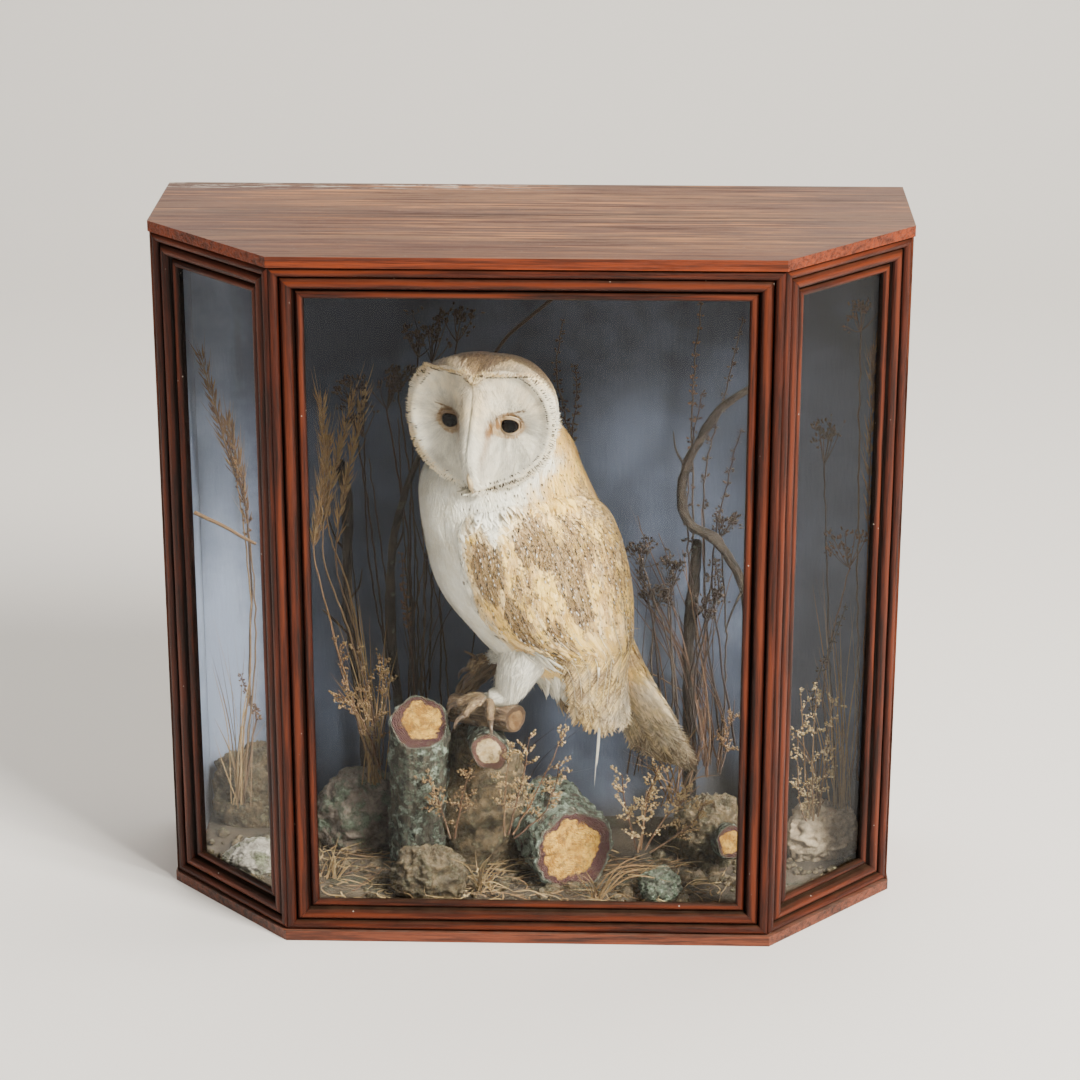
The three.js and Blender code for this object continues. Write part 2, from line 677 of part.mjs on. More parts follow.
function head(grow, around = 28, along = 20) {
  const geometry = shaped(around, along, (run, turn) => {
    const degrees = THREE.MathUtils.radToDeg(Math.abs(Math.atan2(Math.sin(turn), Math.cos(turn))));
    const ruff = ruffReach(degrees);
    if (run <= FACE_SHARE) {
      const reach = (ruff * run) / FACE_SHARE;
      const u = reach * Math.sin(turn);
      const v = reach * Math.cos(turn);
      return inHead(u * (1 + grow / 45), v * (1 + grow / 45), faceRelief(u, v) + grow);
    }
    const back = (run - FACE_SHARE) / (1 - FACE_SHARE);
    const swing = (back * Math.PI) / 2;
    const past = THREE.MathUtils.smoothstep(back, 0, 0.3);
    const outline = THREE.MathUtils.lerp(ruff, skullReach(degrees), past);
    const reach = outline * Math.cos(swing) ** 0.62 + grow * Math.cos(swing);
    const rimDepth = faceRelief(ruff * Math.sin(turn), ruff * Math.cos(turn));
    const depth = THREE.MathUtils.lerp(rimDepth, -HEAD_BACK, Math.sin(swing) ** 1.3);
    return inHead(reach * Math.sin(turn), reach * Math.cos(turn), depth - grow * Math.sin(swing));
  });
  return solidOf(geometry);
}

function eye(side, grow) {
  const ball = new THREE.SphereGeometry(EYE_RADIUS + grow, 12, 8);
  const place = inHead((side * EYE_SPREAD) / 2, -1, -EYE_SINK);
  return solidOf(ball.translate(place.x, place.y, place.z));
}

function bill(grow) {
  const spine = [[-20, 14, 4.6], [-31, 16.5, 4], [-39, 12.5, 2.8], [-45, 6, 0.9]];
  const stations = spine.map(([v, w, radius]) => {
    const p = inHead(0, v, w);
    return [p.x, p.y, p.z, radius];
  });
  return limb(stations, grow, 8, 8);
}

// ---- Bird: parted into its pieces ----
const cut = BIRD_GAP;
const wholeTorso = torso();
const wingLeft = wing(1, 0);
const wingRight = wing(-1, 0).subtract(wing(1, 2 * cut));
const thighs = { left: limb(LEFT_THIGH), right: limb(RIGHT_THIGH) };
const grownHead = head(1.6, 18, 12);
const grownWings = wing(1, 4 * cut).add(wing(-1, 4 * cut));
const grownThighs = limb(LEFT_THIGH, 3 * cut).add(limb(RIGHT_THIGH, 3 * cut));
const grownTail = tail(2 * cut);
const feet = {
  left: foot(LEFT_SHANK, [-28, -15, 141], LEFT_TOES),
  right: foot(RIGHT_SHANK, [-29, 21, 155], RIGHT_TOES),
};

add("head", head(0).subtract(eye(1, cut)).subtract(eye(-1, cut)).subtract(bill(cut)), WHITE_FEATHER);
add("eye_left", eye(1, 0), EYE);
add("eye_right", eye(-1, 0), EYE);
add("bill", bill(0), HORN);
add(
  "neck",
  wholeTorso
    .intersect(above(NECK_FOOT + cut / 2))
    .subtract(grownHead)
    .subtract(bill(cut))
    .subtract(grownWings),
  WHITE_FEATHER,
);
add(
  "trunk",
  wholeTorso
    .intersect(below(NECK_FOOT - cut / 2))
    .subtract(grownWings)
    .subtract(grownTail)
    .subtract(grownThighs),
  WHITE_FEATHER,
);
add("wing_left", wingLeft.subtract(grownThighs).subtract(grownTail).subtract(grownHead), BUFF_FEATHER);
add("wing_right", wingRight.subtract(grownThighs).subtract(grownTail).subtract(grownHead), BUFF_FEATHER);
add("tail", tail(0), TAIL_FEATHER);
const perches = [perch, rearPerch, logA, logB];
add("leg_left", clearOf(thighs.left, ...perches), WHITE_FEATHER);
add("leg_right", clearOf(thighs.right, ...perches).subtract(limb(LEFT_THIGH, cut)), WHITE_FEATHER);
add("foot_left", clearOf(feet.left, ...perches).subtract(grownThighs), TOE);
add("foot_right", clearOf(feet.right, ...perches, feet.left).subtract(grownThighs), TOE);

export default group;
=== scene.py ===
# %% [markdown]
# # A preserved barn owl in its glazed case
# The model comes from CAD as solids in one frame: metres, +Z up, the origin under the middle of the
# case. This lesson dresses them: stained and reeded woodwork, glass, a painted interior, rocks and
# logs with lichen, dried plants, and over a bird of plain solids a skin and a coat of feathers.
# Everything is built from sizes, functions and loops, so each step can be read and changed.

# %% Load the frame and keep its box
import json
import math

import bpy
import numpy as np
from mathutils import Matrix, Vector

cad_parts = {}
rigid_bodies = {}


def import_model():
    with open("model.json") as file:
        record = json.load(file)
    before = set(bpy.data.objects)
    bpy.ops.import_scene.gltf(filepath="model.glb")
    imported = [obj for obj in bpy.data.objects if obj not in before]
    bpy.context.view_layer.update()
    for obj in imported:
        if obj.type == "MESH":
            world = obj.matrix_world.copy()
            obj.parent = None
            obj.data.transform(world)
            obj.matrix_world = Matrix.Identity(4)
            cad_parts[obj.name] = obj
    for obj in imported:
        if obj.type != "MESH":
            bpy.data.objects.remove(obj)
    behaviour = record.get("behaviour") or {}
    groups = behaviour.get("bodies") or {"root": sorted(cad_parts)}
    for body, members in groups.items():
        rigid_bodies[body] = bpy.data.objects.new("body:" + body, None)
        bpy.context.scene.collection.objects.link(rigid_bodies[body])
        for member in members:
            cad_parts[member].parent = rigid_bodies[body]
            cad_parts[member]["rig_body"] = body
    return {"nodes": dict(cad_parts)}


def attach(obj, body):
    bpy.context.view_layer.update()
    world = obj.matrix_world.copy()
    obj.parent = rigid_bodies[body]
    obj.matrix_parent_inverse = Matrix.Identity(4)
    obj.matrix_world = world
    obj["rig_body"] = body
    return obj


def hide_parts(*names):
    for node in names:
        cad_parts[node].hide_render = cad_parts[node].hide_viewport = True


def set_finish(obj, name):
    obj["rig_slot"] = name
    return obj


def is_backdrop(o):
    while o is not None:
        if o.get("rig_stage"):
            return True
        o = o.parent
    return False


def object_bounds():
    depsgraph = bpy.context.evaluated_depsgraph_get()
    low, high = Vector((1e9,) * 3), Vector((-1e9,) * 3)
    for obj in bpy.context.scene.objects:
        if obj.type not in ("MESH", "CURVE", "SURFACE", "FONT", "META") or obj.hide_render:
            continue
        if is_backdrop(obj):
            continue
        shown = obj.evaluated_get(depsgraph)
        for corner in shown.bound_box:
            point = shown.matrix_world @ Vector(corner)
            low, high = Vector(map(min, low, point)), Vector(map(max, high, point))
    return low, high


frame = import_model()
nodes = frame["nodes"]
MM = 0.001

# %% [markdown]
# ## Camera
# A long lens from a little above, close to head-on. Its place was worked out from the edges of the
# case, which are straight and square, so it is given as plain numbers here.

# %% Camera
CAMERA_PLACE = (0.059685, -1.918591, 0.959550)
CAMERA_DOWN = 20.289
CAMERA_TURN = 1.6037
camera_data = bpy.data.cameras.new("camera")
camera_data.lens = 102.805
camera_data.sensor_width = 36
camera = bpy.data.objects.new("camera", camera_data)
camera.location = CAMERA_PLACE
camera.rotation_euler = (math.radians(90 - CAMERA_DOWN), 0, math.radians(CAMERA_TURN))
bpy.context.scene.collection.objects.link(camera)
bpy.context.scene.camera = camera
print("camera looks down", CAMERA_DOWN, "degrees")

# %% [markdown]
# ## Small tools for meshes
# Most shapes here are grids of points worked out with numpy, which is fast enough for the hundreds
# of thousands of small vanes in the coat. One helper turns arrays into an object and puts it on the
# model's only body, so no piece is left behind when the part is moved.


# %% Arrays to a piece
def piece_from(name, points, faces, material, slot, smooth=True, values=None):
    """points in millimetres, faces a list of (n, corners) index arrays, values name to array."""
    mesh = bpy.data.meshes.new(name)
    mesh.vertices.add(len(points))
    mesh.vertices.foreach_set("co", (np.asarray(points, np.float32) * MM).ravel())
    faces = [np.asarray(f, np.int32) for f in faces if len(f)]
    corners = np.concatenate([f.ravel() for f in faces])
    totals = np.concatenate([np.full(len(f), f.shape[1], np.int32) for f in faces])
    starts = np.concatenate([[0], np.cumsum(totals)[:-1]]).astype(np.int32)
    mesh.loops.add(len(corners))
    mesh.loops.foreach_set("vertex_index", corners)
    mesh.polygons.add(len(totals))
    mesh.polygons.foreach_set("loop_start", starts)
    mesh.polygons.foreach_set("use_smooth", np.full(len(totals), smooth))
    mesh.update(calc_edges=True)
    for key, array in (values or {}).items():
        array = np.asarray(array, np.float32)
        kind = "FLOAT" if array.ndim == 1 else "FLOAT_VECTOR"
        layer = mesh.attributes.new(key, kind, "POINT")
        layer.data.foreach_set("value" if array.ndim == 1 else "vector", array.ravel())
    made = bpy.data.objects.new(name, mesh)
    bpy.context.scene.collection.objects.link(made)
    made.data.materials.append(material)
    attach(made, "root")
    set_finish(made, slot)
    return made


def grid_faces(rows, columns, wrap=False, first=0):
    """Quads of a grid of rows x columns points, joined round across the columns if wrap."""
    r, c = np.meshgrid(
        np.arange(rows - 1), np.arange(columns if wrap else columns - 1), indexing="ij"
    )
    here = r * columns + c
    beside = r * columns + (c + 1) % columns
    return first + np.stack([here, beside, beside + columns, here + columns], -1).reshape(-1, 4)


class Heap:
    """Points and faces that are gathered up and become one piece."""

    def __init__(self):
        self.points, self.faces, self.values, self.count = [], {}, {}, 0

    def add(self, points, *faces, **values):
        points = np.asarray(points, float).reshape(-1, 3)
        for f in faces:
            f = np.asarray(f, int)
            self.faces.setdefault(f.shape[1], []).append(f + self.count)
        self.points.append(points)
        self.count += len(points)
        for key, value in values.items():
            value = np.full(
                len(points), float(value)
            ) if np.ndim(value) == 0 else np.asarray(value, float)
            self.values.setdefault(key, []).append(value)

    def triangles(self):
        return sum(len(f) * (f.shape[1] - 2) for faces in self.faces.values() for f in faces)

    def piece(self, name, material, slot, smooth=True):
        faces = [np.concatenate(f) for f in self.faces.values()]
        values = {k: np.concatenate(v) for k, v in self.values.items()}
        return piece_from(name, np.concatenate(self.points), faces, material, slot, smooth, values)


print(
    "a grid of 4 by 5 points has", len(grid_faces(4, 5)), "quads,",
    len(grid_faces(4, 5, wrap=True)), "if joined round"
)


# %% [markdown]
# ## Uneven shapes
# Bark, rock and plaster are uneven at several sizes at once. Value noise gives that: random numbers
# on a lattice, blended smoothly between its corners, then added up at finer and finer steps.


# %% Noise for shapes
def lattice(ix, iy, iz, seed):
    """A repeatable random number from 0 to 1 for each lattice corner."""
    mixed = (ix * 374761393 + iy * 668265263 + iz * 2147483647 + seed * 144665) & 0xFFFFFFFF
    mixed = ((mixed ^ (mixed >> 13)) * 1274126177) & 0xFFFFFFFF
    return ((mixed ^ (mixed >> 16)) & 0xFFFF) / 65535.0


def noise(points, size, seed=0):
    """Smooth noise from -1 to 1 with lumps about size millimetres across."""
    scaled = np.asarray(points, float) / size
    corner = np.floor(scaled).astype(np.int64)
    t = scaled - corner
    t = t * t * (3 - 2 * t)
    total = 0
    for dx in (0, 1):
        for dy in (0, 1):
            for dz in (0, 1):
                weight = np.abs(
                    1 - dx - t[..., 0]
                ) * np.abs(1 - dy - t[..., 1]) * np.abs(1 - dz - t[..., 2])
                total = total + weight * lattice(
                    corner[..., 0] + dx, corner[..., 1] + dy, corner[..., 2] + dz, seed
                )
    return 2 * total - 1


def rough(points, size, octaves=3, seed=0):
    return sum(noise(points, size / 2**i, seed + i) / 2**i for i in range(octaves))


def unit(v):
    return v / np.maximum(np.linalg.norm(v, axis=-1, keepdims=True), 1e-9)


def column(x):
    return np.asarray(x, float)[..., None]


def round_ends(run, share):
    end = np.minimum(np.minimum(run, 1 - run) / share, 1)
    return np.sqrt(np.maximum(1 - (1 - np.maximum(end, 0)) ** 2, 0))


def through(*pairs):
    """A smooth curve through (x, y) pairs, as a function of arrays of x."""
    x, y = np.array(sorted(pairs), float).T
    low, high = np.r_[0, 0 : len(x) - 1], np.r_[1 : len(x), len(x) - 1]
    slope = (y[high] - y[low]) / (x[high] - x[low])

    def curve(at):
        at = np.clip(at, x[0], x[-1])
        i = np.clip(np.searchsorted(x, at, side="right") - 1, 0, len(x) - 2)
        span = x[i + 1] - x[i]
        t = (at - x[i]) / span
        share = 2 * t**3 - 3 * t**2 + 1
        leaving = (t**3 - 2 * t**2 + t) * slope[i]
        arriving = (t**3 - t**2) * slope[i + 1]
        return share * y[i] + (1 - share) * y[i + 1] + span * (leaving + arriving)

    return curve


def path(points):
    """A smooth curve in space through points, as a function of runs from 0 to 1."""
    points = np.array(points, float)
    steps = np.linspace(0, 1, len(points))
    curves = [through(*zip(steps, points[:, i])) for i in range(3)]
    return lambda runs: np.stack([curve(runs) for curve in curves], -1)


def full_turn(count):
    """count angles once round, the first not repeated."""
    return np.linspace(0, 2 * math.pi, count, endpoint=False)


def tube_round(line, heading, slanted, reach, turn):
    """Rings round a line, reach away from it. slanted is a direction that it never runs along."""
    side = unit(np.cross(heading, slanted))
    over = np.cross(heading, side)
    aside = column(reach * np.cos(turn)) * side[:, None]
    return line[:, None] + aside + column(reach * np.sin(turn)) * over[:, None]


def blend(a, b, t):
    return a + (b - a) * t


def ease(x, low, high):
    """0 below low, 1 above high, smooth between."""
    t = np.clip((x - low) / (high - low), 0, 1)
    return t * t * (3 - 2 * t)


print(
    "noise runs from",
    *noise(np.random.default_rng(1).uniform(0, 50, (2000, 3)), 7).round(2)[[0, 1]]
)
# %% [markdown]
# ## Small tools for materials
# A material is a tree of nodes. These helpers add one node and set or join its sockets in a line, so
# that a material reads from top to bottom like the recipe it is. They all add to the tree that was
# started last, so it needn't be named again in every line.


# %% Node helpers
class Bench:
    """Holds the node tree that is being worked on. The helpers below add their nodes to it."""

    tree = None


def join(value, socket):
    Bench.tree.links.new(value, socket)


def put(kind, sockets=None, **settings):
    """Adds a node. sockets gives each input by name or number as a value or another node's output."""
    made = Bench.tree.nodes.new("ShaderNode" + kind)
    for key, value in settings.items():
        setattr(made, key, value)
    for key, value in (sockets or {}).items():
        if isinstance(value, bpy.types.NodeSocket):
            join(value, made.inputs[key])
        elif isinstance(value, tuple) and made.inputs[key].type == "RGBA" and len(value) == 3:
            made.inputs[key].default_value = (*value, 1)
        else:
            made.inputs[key].default_value = value
    return made


def sums(operation, a, b=0.0, clamp=False):
    made = put("Math", {0: a, 1: b}, operation=operation, use_clamp=clamp)
    return made.outputs[0]


def times(a, b, clamp=False):
    return sums("MULTIPLY", a, b, clamp)


def plus(a, b, clamp=False):
    return sums("ADD", a, b, clamp)


def minus(a, b, clamp=False):
    return sums("SUBTRACT", a, b, clamp)


def size_of(a):
    return sums("ABSOLUTE", a)


def sine_of(a):
    return sums("SINE", a)


def mixed(share, a, b, how="MIX"):
    made = put("Mix", {0: share, 6: a, 7: b}, data_type="RGBA", blend_type=how)
    return made.outputs[2]


def span(value, low, high, to_low=0.0, to_high=1.0):
    """value from low..high to to_low..to_high, held inside it."""
    sockets = {
        "Value": value, "From Min": low, "From Max": high, "To Min": to_low, "To Max": to_high
    }
    return put("MapRange", sockets, interpolation_type="SMOOTHSTEP").outputs["Result"]


def cloud(vector, size, detail=4.0, roughness=0.55, distortion=0.0):
    """Noise with lumps about size metres across, 0 to 1."""
    sockets = {
        "Scale": 1 / size, "Detail": detail, "Roughness": roughness, "Distortion": distortion
    }
    if vector is not None:
        sockets["Vector"] = vector
    return put("TexNoise", sockets).outputs[0]


def stretched(vector, scale, turn=0.0):
    """The vector turned about Z by degrees, then scaled, so noise along the small scales is drawn out."""
    turned = put("Mapping", {"Vector": vector, "Rotation": (0, 0, math.radians(turn))})
    return put("Mapping", {"Vector": turned.outputs[0], "Scale": scale}).outputs[0]


def place_of():
    """The point on the model, in the frame's metres: it stays the same from every view."""
    return put("TexCoord").outputs["Object"]


def parts_of(vector):
    return put("SeparateXYZ", {0: vector}).outputs


def colours(value, *stops):
    """A colour ramp: each stop is (position, (r, g, b))."""
    made = put("ValToRGB", {0: value})
    ramp = made.color_ramp
    while len(ramp.elements) < len(stops):
        ramp.elements.new(0.5)
    for element, (position, colour) in zip(ramp.elements, stops):
        element.position = position
        element.color = (*colour, 1)
    return made.outputs[0]


def material(name, **plain):
    """An empty material: (material, its Principled BSDF). plain sets its uniform sockets."""
    made = bpy.data.materials.new(name)
    made.use_nodes = True
    Bench.tree = made.node_tree
    surface = Bench.tree.nodes["Principled BSDF"]
    for key, value in plain.items():
        surface.inputs[key.replace("_", " ")].default_value = value
    return made, surface


def finish_with(surface, colour, roughness=None, height=None, depth=0.001):
    """Joins colour, roughness and a bump height in metres-scale depth to the surface."""
    join(colour, surface.inputs["Base Color"])
    if roughness is not None:
        join(roughness, surface.inputs["Roughness"])
    if height is not None:
        bump = put("Bump", {"Height": height, "Strength": 1.0, "Distance": depth})
        join(bump.outputs[0], surface.inputs["Normal"])


def group(name, takes, gives):
    """A node group with named sockets: (group tree, its inputs, its output node's inputs)."""
    tree = Bench.tree = bpy.data.node_groups.new(name, "ShaderNodeTree")
    kinds = {"colour": "NodeSocketColor", "number": "NodeSocketFloat", "vector": "NodeSocketVector"}
    for label, kind in takes.items():
        tree.interface.new_socket(name=label, in_out="INPUT", socket_type=kinds[kind])
    for label, kind in gives.items():
        tree.interface.new_socket(name=label, in_out="OUTPUT", socket_type=kinds[kind])
    entry = tree.nodes.new("NodeGroupInput")
    result = tree.nodes.new("NodeGroupOutput")
    return tree, entry.outputs, result.inputs


def use(effect, **sockets):
    """Places a node group: its sockets by name, with _ for a space. Gives its outputs."""
    made = Bench.tree.nodes.new("ShaderNodeGroup")
    made.node_tree = effect
    for key, value in sockets.items():
        target = made.inputs[key.replace("_", " ")]
        if isinstance(value, bpy.types.NodeSocket):
            join(value, target)
        else:
            target.default_value = (*value, 1) if isinstance(
                value, tuple
            ) and target.type == "RGBA" else value
    return made.outputs


print("node helpers ready")


# %% [markdown]
# ### Effects that several finishes share
# Dust lies on what faces up, whatever it lies on, so it is one group with its own colour and
# amount. Wood grain is another: long streaks, fine pores and slow changes of tone. Lichen is the
# third: crusty islands with ragged edges, on rocks and bark alike.

# %% Group: dust
dust_tree, dust_in, dust_out = group(
    "settled_dust",
    {"Colour": "colour", "Dust": "colour", "Amount": "number", "Roughness": "number"},
    {"Colour": "colour", "Roughness": "number"},
)
facing = parts_of(put("NewGeometry").outputs["Normal"])[2]
lying = span(facing, 0.15, 0.95)
patchy = cloud(place_of(), 0.012, 6, 0.65)
cover = times(lying, span(patchy, 0.3, 0.7, 0.35, 1.0))
cover = times(cover, dust_in["Amount"], clamp=True)
join(mixed(cover, dust_in["Colour"], dust_in["Dust"]), dust_out["Colour"])
duller = span(cover, 0.0, 1.0, 0.0, 0.45)
join(plus(dust_in["Roughness"], duller, clamp=True), dust_out["Roughness"])
print("group", dust_tree.name)

# %% Group: wood grain
grain_tree, grain_in, grain_out = group(
    "wood_grain",
    {"Along": "vector", "Dark": "colour", "Light": "colour", "Streaks": "number"},
    {"Colour": "colour", "Height": "number"},
)
slow = cloud(grain_in["Along"], 0.03, 3, 0.5, 0.6)
streak = span(cloud(grain_in["Along"], 0.0028, 4, 0.75), 0.36, 0.64)
pore = cloud(grain_in["Along"], 0.0011, 2, 0.6)
tone = sums("MULTIPLY_ADD", streak, grain_in["Streaks"])
tone.node.inputs[2].default_value = 0.0
tone = plus(tone, span(slow, 0.25, 0.75, -0.3, 0.4))
tone = minus(tone, span(pore, 0.55, 0.8, 0.0, 0.3), clamp=True)
join(mixed(tone, grain_in["Dark"], grain_in["Light"]), grain_out["Colour"])
join(plus(streak, pore), grain_out["Height"])
print("group", grain_tree.name)

# %% Group: lichen
lichen_tree, lichen_in, lichen_out = group(
    "lichen_crust",
    {"Under": "colour", "Crust": "colour", "Edge": "colour", "Cover": "number", "Size": "number"},
    {"Colour": "colour", "Mask": "number", "Height": "number"},
)
lichen_place = place_of()
islands = put("TexNoise", {"Vector": lichen_place, "Detail": 7.0, "Roughness": 0.68})
join(sums("DIVIDE", 1.0, lichen_in["Size"]), islands.inputs["Scale"])
wanted = plus(islands.outputs[0], minus(lichen_in["Cover"], 0.5))
crusted = span(wanted, 0.5, 0.56)
rim = times(span(wanted, 0.46, 0.51), minus(1.0, crusted))
speckle = cloud(lichen_place, 0.0012, 3, 0.7)
crust_colour = mixed(span(speckle, 0.35, 0.7), lichen_in["Edge"], lichen_in["Crust"])
with_rim = mixed(times(rim, 0.7), lichen_in["Under"], lichen_in["Edge"])
join(mixed(crusted, with_rim, crust_colour), lichen_out["Colour"])
join(crusted, lichen_out["Mask"])
raised = times(crusted, plus(0.4, speckle))
join(raised, lichen_out["Height"])
print("group", lichen_tree.name)
# %% [markdown]
# ## The case: reeded bars
# Each glazed frame is four mitred bars with three beads that step back to the glass. The solids have
# coarse beads, so finer bars stand in for them: the same section with more steps, drawn out along
# each bar and cut by its mitres. Every point keeps how far along, across and deep it lies, so the
# grain follows the bar, and how proud it is, so grooves hold dirt and painted shade and crests are
# worn bright, with a painted highlight.

# %% The case's sizes, in millimetres
CASE_WIDTH, CASE_DEPTH, CASE_HEIGHT = 490, 190, 468
FRONT_WIDTH = 320
CANT_DEPTH = 87
BOARD = 7
BOARD_GAP = 0.3
RAIL_WIDTH, STILE_WIDTH = 20.7, 22
FRAME_THICKNESS = 14
REBATE_START, REBATE_FRONT = 15.5, 7.2
BEADS = [(3.2, 3.1, 0.0), (10.5, 3.8, 1.0), (18.1, 2.6, 3.9)]
BAR_GAP = 0.12
FOOT, HEAD_ROOM = BOARD + BOARD_GAP, CASE_HEIGHT - BOARD - BOARD_GAP

CANT_WIDTH = (CASE_WIDTH - FRONT_WIDTH) / 2
CANT_RUN = math.hypot(CANT_WIDTH, CANT_DEPTH)


def case_corner(inset):
    """The front and side ends of the right cant, with each side moved inward."""
    front = FRONT_WIDTH / 2 - inset * (CANT_RUN - CANT_WIDTH) / CANT_DEPTH
    side = -CASE_DEPTH / 2 + CANT_DEPTH + inset * (CANT_RUN - CANT_DEPTH) / CANT_WIDTH
    return (front, -CASE_DEPTH / 2 + inset), (CASE_WIDTH / 2 - inset, side)


(FRONT_X, FRONT_Y), (SIDE_X, SIDE_Y) = case_corner(1)
SIDE_MITRE = math.tan(math.atan2(SIDE_X - FRONT_X, SIDE_Y - FRONT_Y) / 2)
FRONT_MITRE = math.tan(math.atan2(SIDE_Y - FRONT_Y, SIDE_X - FRONT_X) / 2)
print("cant runs", round(CANT_RUN, 1), "mm, mitres", round(SIDE_MITRE, 3), round(FRONT_MITRE, 3))


# %% The section of a bar
def bar_section(width, steps=12):
    """(across, depth, proud) round the section, from the outer edge over the beads to the rebate."""
    points = [(0, FRAME_THICKNESS, 0.3)]
    for middle, radius, crest in BEADS:
        for i in range(steps + 1):
            angle = math.pi * (1 - i / steps)
            across = max(middle + radius * math.cos(angle), 0)
            points.append(
                (
                    across * width / RAIL_WIDTH, crest + radius * (1 - math.sin(angle)),
                    math.sin(angle)
                )
            )
    start = REBATE_START * width / RAIL_WIDTH
    points += [
        (width, REBATE_FRONT, 0.2), (start, REBATE_FRONT, 0.1), (start, FRAME_THICKNESS, 0.1)
    ]
    return np.array(points)


print("a bar's section has", len(bar_section(RAIL_WIDTH)), "points")


# %% Draw the bars of one frame
def glazed_frame(name, left, right, left_mitre, right_mitre, wood):
    left, right = np.array(left), np.array(right)
    length = np.linalg.norm(right - left)
    height = HEAD_ROOM - FOOT
    along = np.array([*(right - left) / length, 0])
    inward = np.array([-along[1], along[0], 0])
    start = np.array([*left, FOOT])

    def bar(suffix, upright, far):
        width = STILE_WIDTH if upright else RAIL_WIDTH
        other = RAIL_WIDTH if upright else STILE_WIDTH
        across, depth, proud = bar_section(width).T
        full = height if upright else length
        low = BAR_GAP + across * other / width
        high = full - low
        if not upright:
            low = np.maximum(low, BAR_GAP / 2 + depth * left_mitre)
            high = np.minimum(high, full - BAR_GAP / 2 - depth * right_mitre)
        else:
            across = np.maximum(across, BAR_GAP / 2 + depth * (right_mitre if far else left_mitre))
        share = np.linspace(0, 1, int(full / 14) + 2)[:, None]
        run = low + (high - low) * share
        worn = 0.14 * noise(
            np.stack([run, across + 0 * run, depth + 0 * run], -1), 17, len(name + suffix)
        )
        sink = depth + worn * (proud > 0.4)
        side = (length if upright else height) - across if far else across
        x, y = (side + 0 * run, run) if upright else (run, side + 0 * run)
        points = start + x[..., None] * along + y[..., None] * [0, 0, 1] + sink[..., None] * inward
        rings, steps = run.shape
        quads = grid_faces(rings, steps, wrap=True)
        caps = np.arange(steps)[None, :]
        if upright != far:
            quads, caps = quads[:, ::-1], caps[:, ::-1]
        lengthwise = np.stack([run + 97 * len(suffix), across + 0 * run, depth + 0 * run], -1) * MM
        made = piece_from(
            name + suffix + "_reeded", points.reshape(-1, 3),
            [quads, caps[:, ::-1], caps + (rings - 1) * steps], wood, "stained_wood",
            values={
                "lengthwise": lengthwise.reshape(-1, 3),
                "proud": np.broadcast_to(proud, run.shape).ravel()
            },
        )
        made.data.set_sharp_from_angle(angle=math.radians(40))
        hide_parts(name + suffix)

    bar("_rail_bottom", False, False)
    bar("_rail_top", False, True)
    bar("_stile_left", True, False)
    bar("_stile_right", True, True)


print("bars fill", round(HEAD_ROOM - FOOT, 1), "mm between the boards")


# %% [markdown]
# ## Stained wood
# Softwood stained a deep red-brown and varnished. The stain is darkest in the grooves, where dirt
# and old polish gather and shade is painted in. It wears through to orange on the crests, which
# also carry a painted highlight. Pale dust lies on ledges, and a few specks of white paint have
# landed on the bars.

# %% Material: stained and reeded wood
reeded_wood, surface = material("stained reeded wood", Coat_Roughness=0.3, Specular_IOR_Level=0.14)
along_bar = put("Attribute", attribute_name="lengthwise").outputs["Vector"]
proud = put("Attribute", attribute_name="proud").outputs["Fac"]
drawn = stretched(along_bar, (0.055, 1, 1))
grain = use(
    grain_tree, Along=drawn, Dark=(0.014, 0.0032, 0.0013), Light=(0.060, 0.0092, 0.0025),
    Streaks=0.8
)
# crests worn through to orange, which is also a painted highlight on them
worn_and_highlit = times(span(proud, 0.72, 1.0), span(cloud(drawn, 0.006, 5), 0.42, 0.62))
red = mixed(times(worn_and_highlit, 0.65), grain["Colour"], (0.155, 0.027, 0.0055))
# grooves darkened almost to black: dirt and old polish, and painted shade in the hollows
groove_dirt_and_shade = times(span(proud, 0.62, 0.1), 0.93)
red = mixed(groove_dirt_and_shade, red, (0.006, 0.003, 0.002))
dusted = use(dust_tree, Colour=red, Dust=(0.11, 0.060, 0.032), Amount=0.24, Roughness=0.42)
specks = put("TexVoronoi", {"Vector": along_bar, "Scale": 120.0}).outputs["Distance"]
chance = cloud(along_bar, 0.03, 2)
painted = times(span(specks, 0.07, 0.04), span(chance, 0.55, 0.60))
red = mixed(painted, dusted["Colour"], (0.42, 0.36, 0.30))
finish_with(surface, red, dusted["Roughness"], grain["Height"], 0.00022)
join(span(proud, 0.3, 0.9, 0.0, 0.16), surface.inputs["Coat Weight"])

corner_left, corner_right = (-FRONT_X, FRONT_Y), (FRONT_X, FRONT_Y)
glazed_frame("front", corner_left, corner_right, FRONT_MITRE, FRONT_MITRE, reeded_wood)
glazed_frame("left", (-SIDE_X, SIDE_Y), corner_left, SIDE_MITRE, FRONT_MITRE, reeded_wood)
glazed_frame("right", corner_right, (SIDE_X, SIDE_Y), FRONT_MITRE, SIDE_MITRE, reeded_wood)
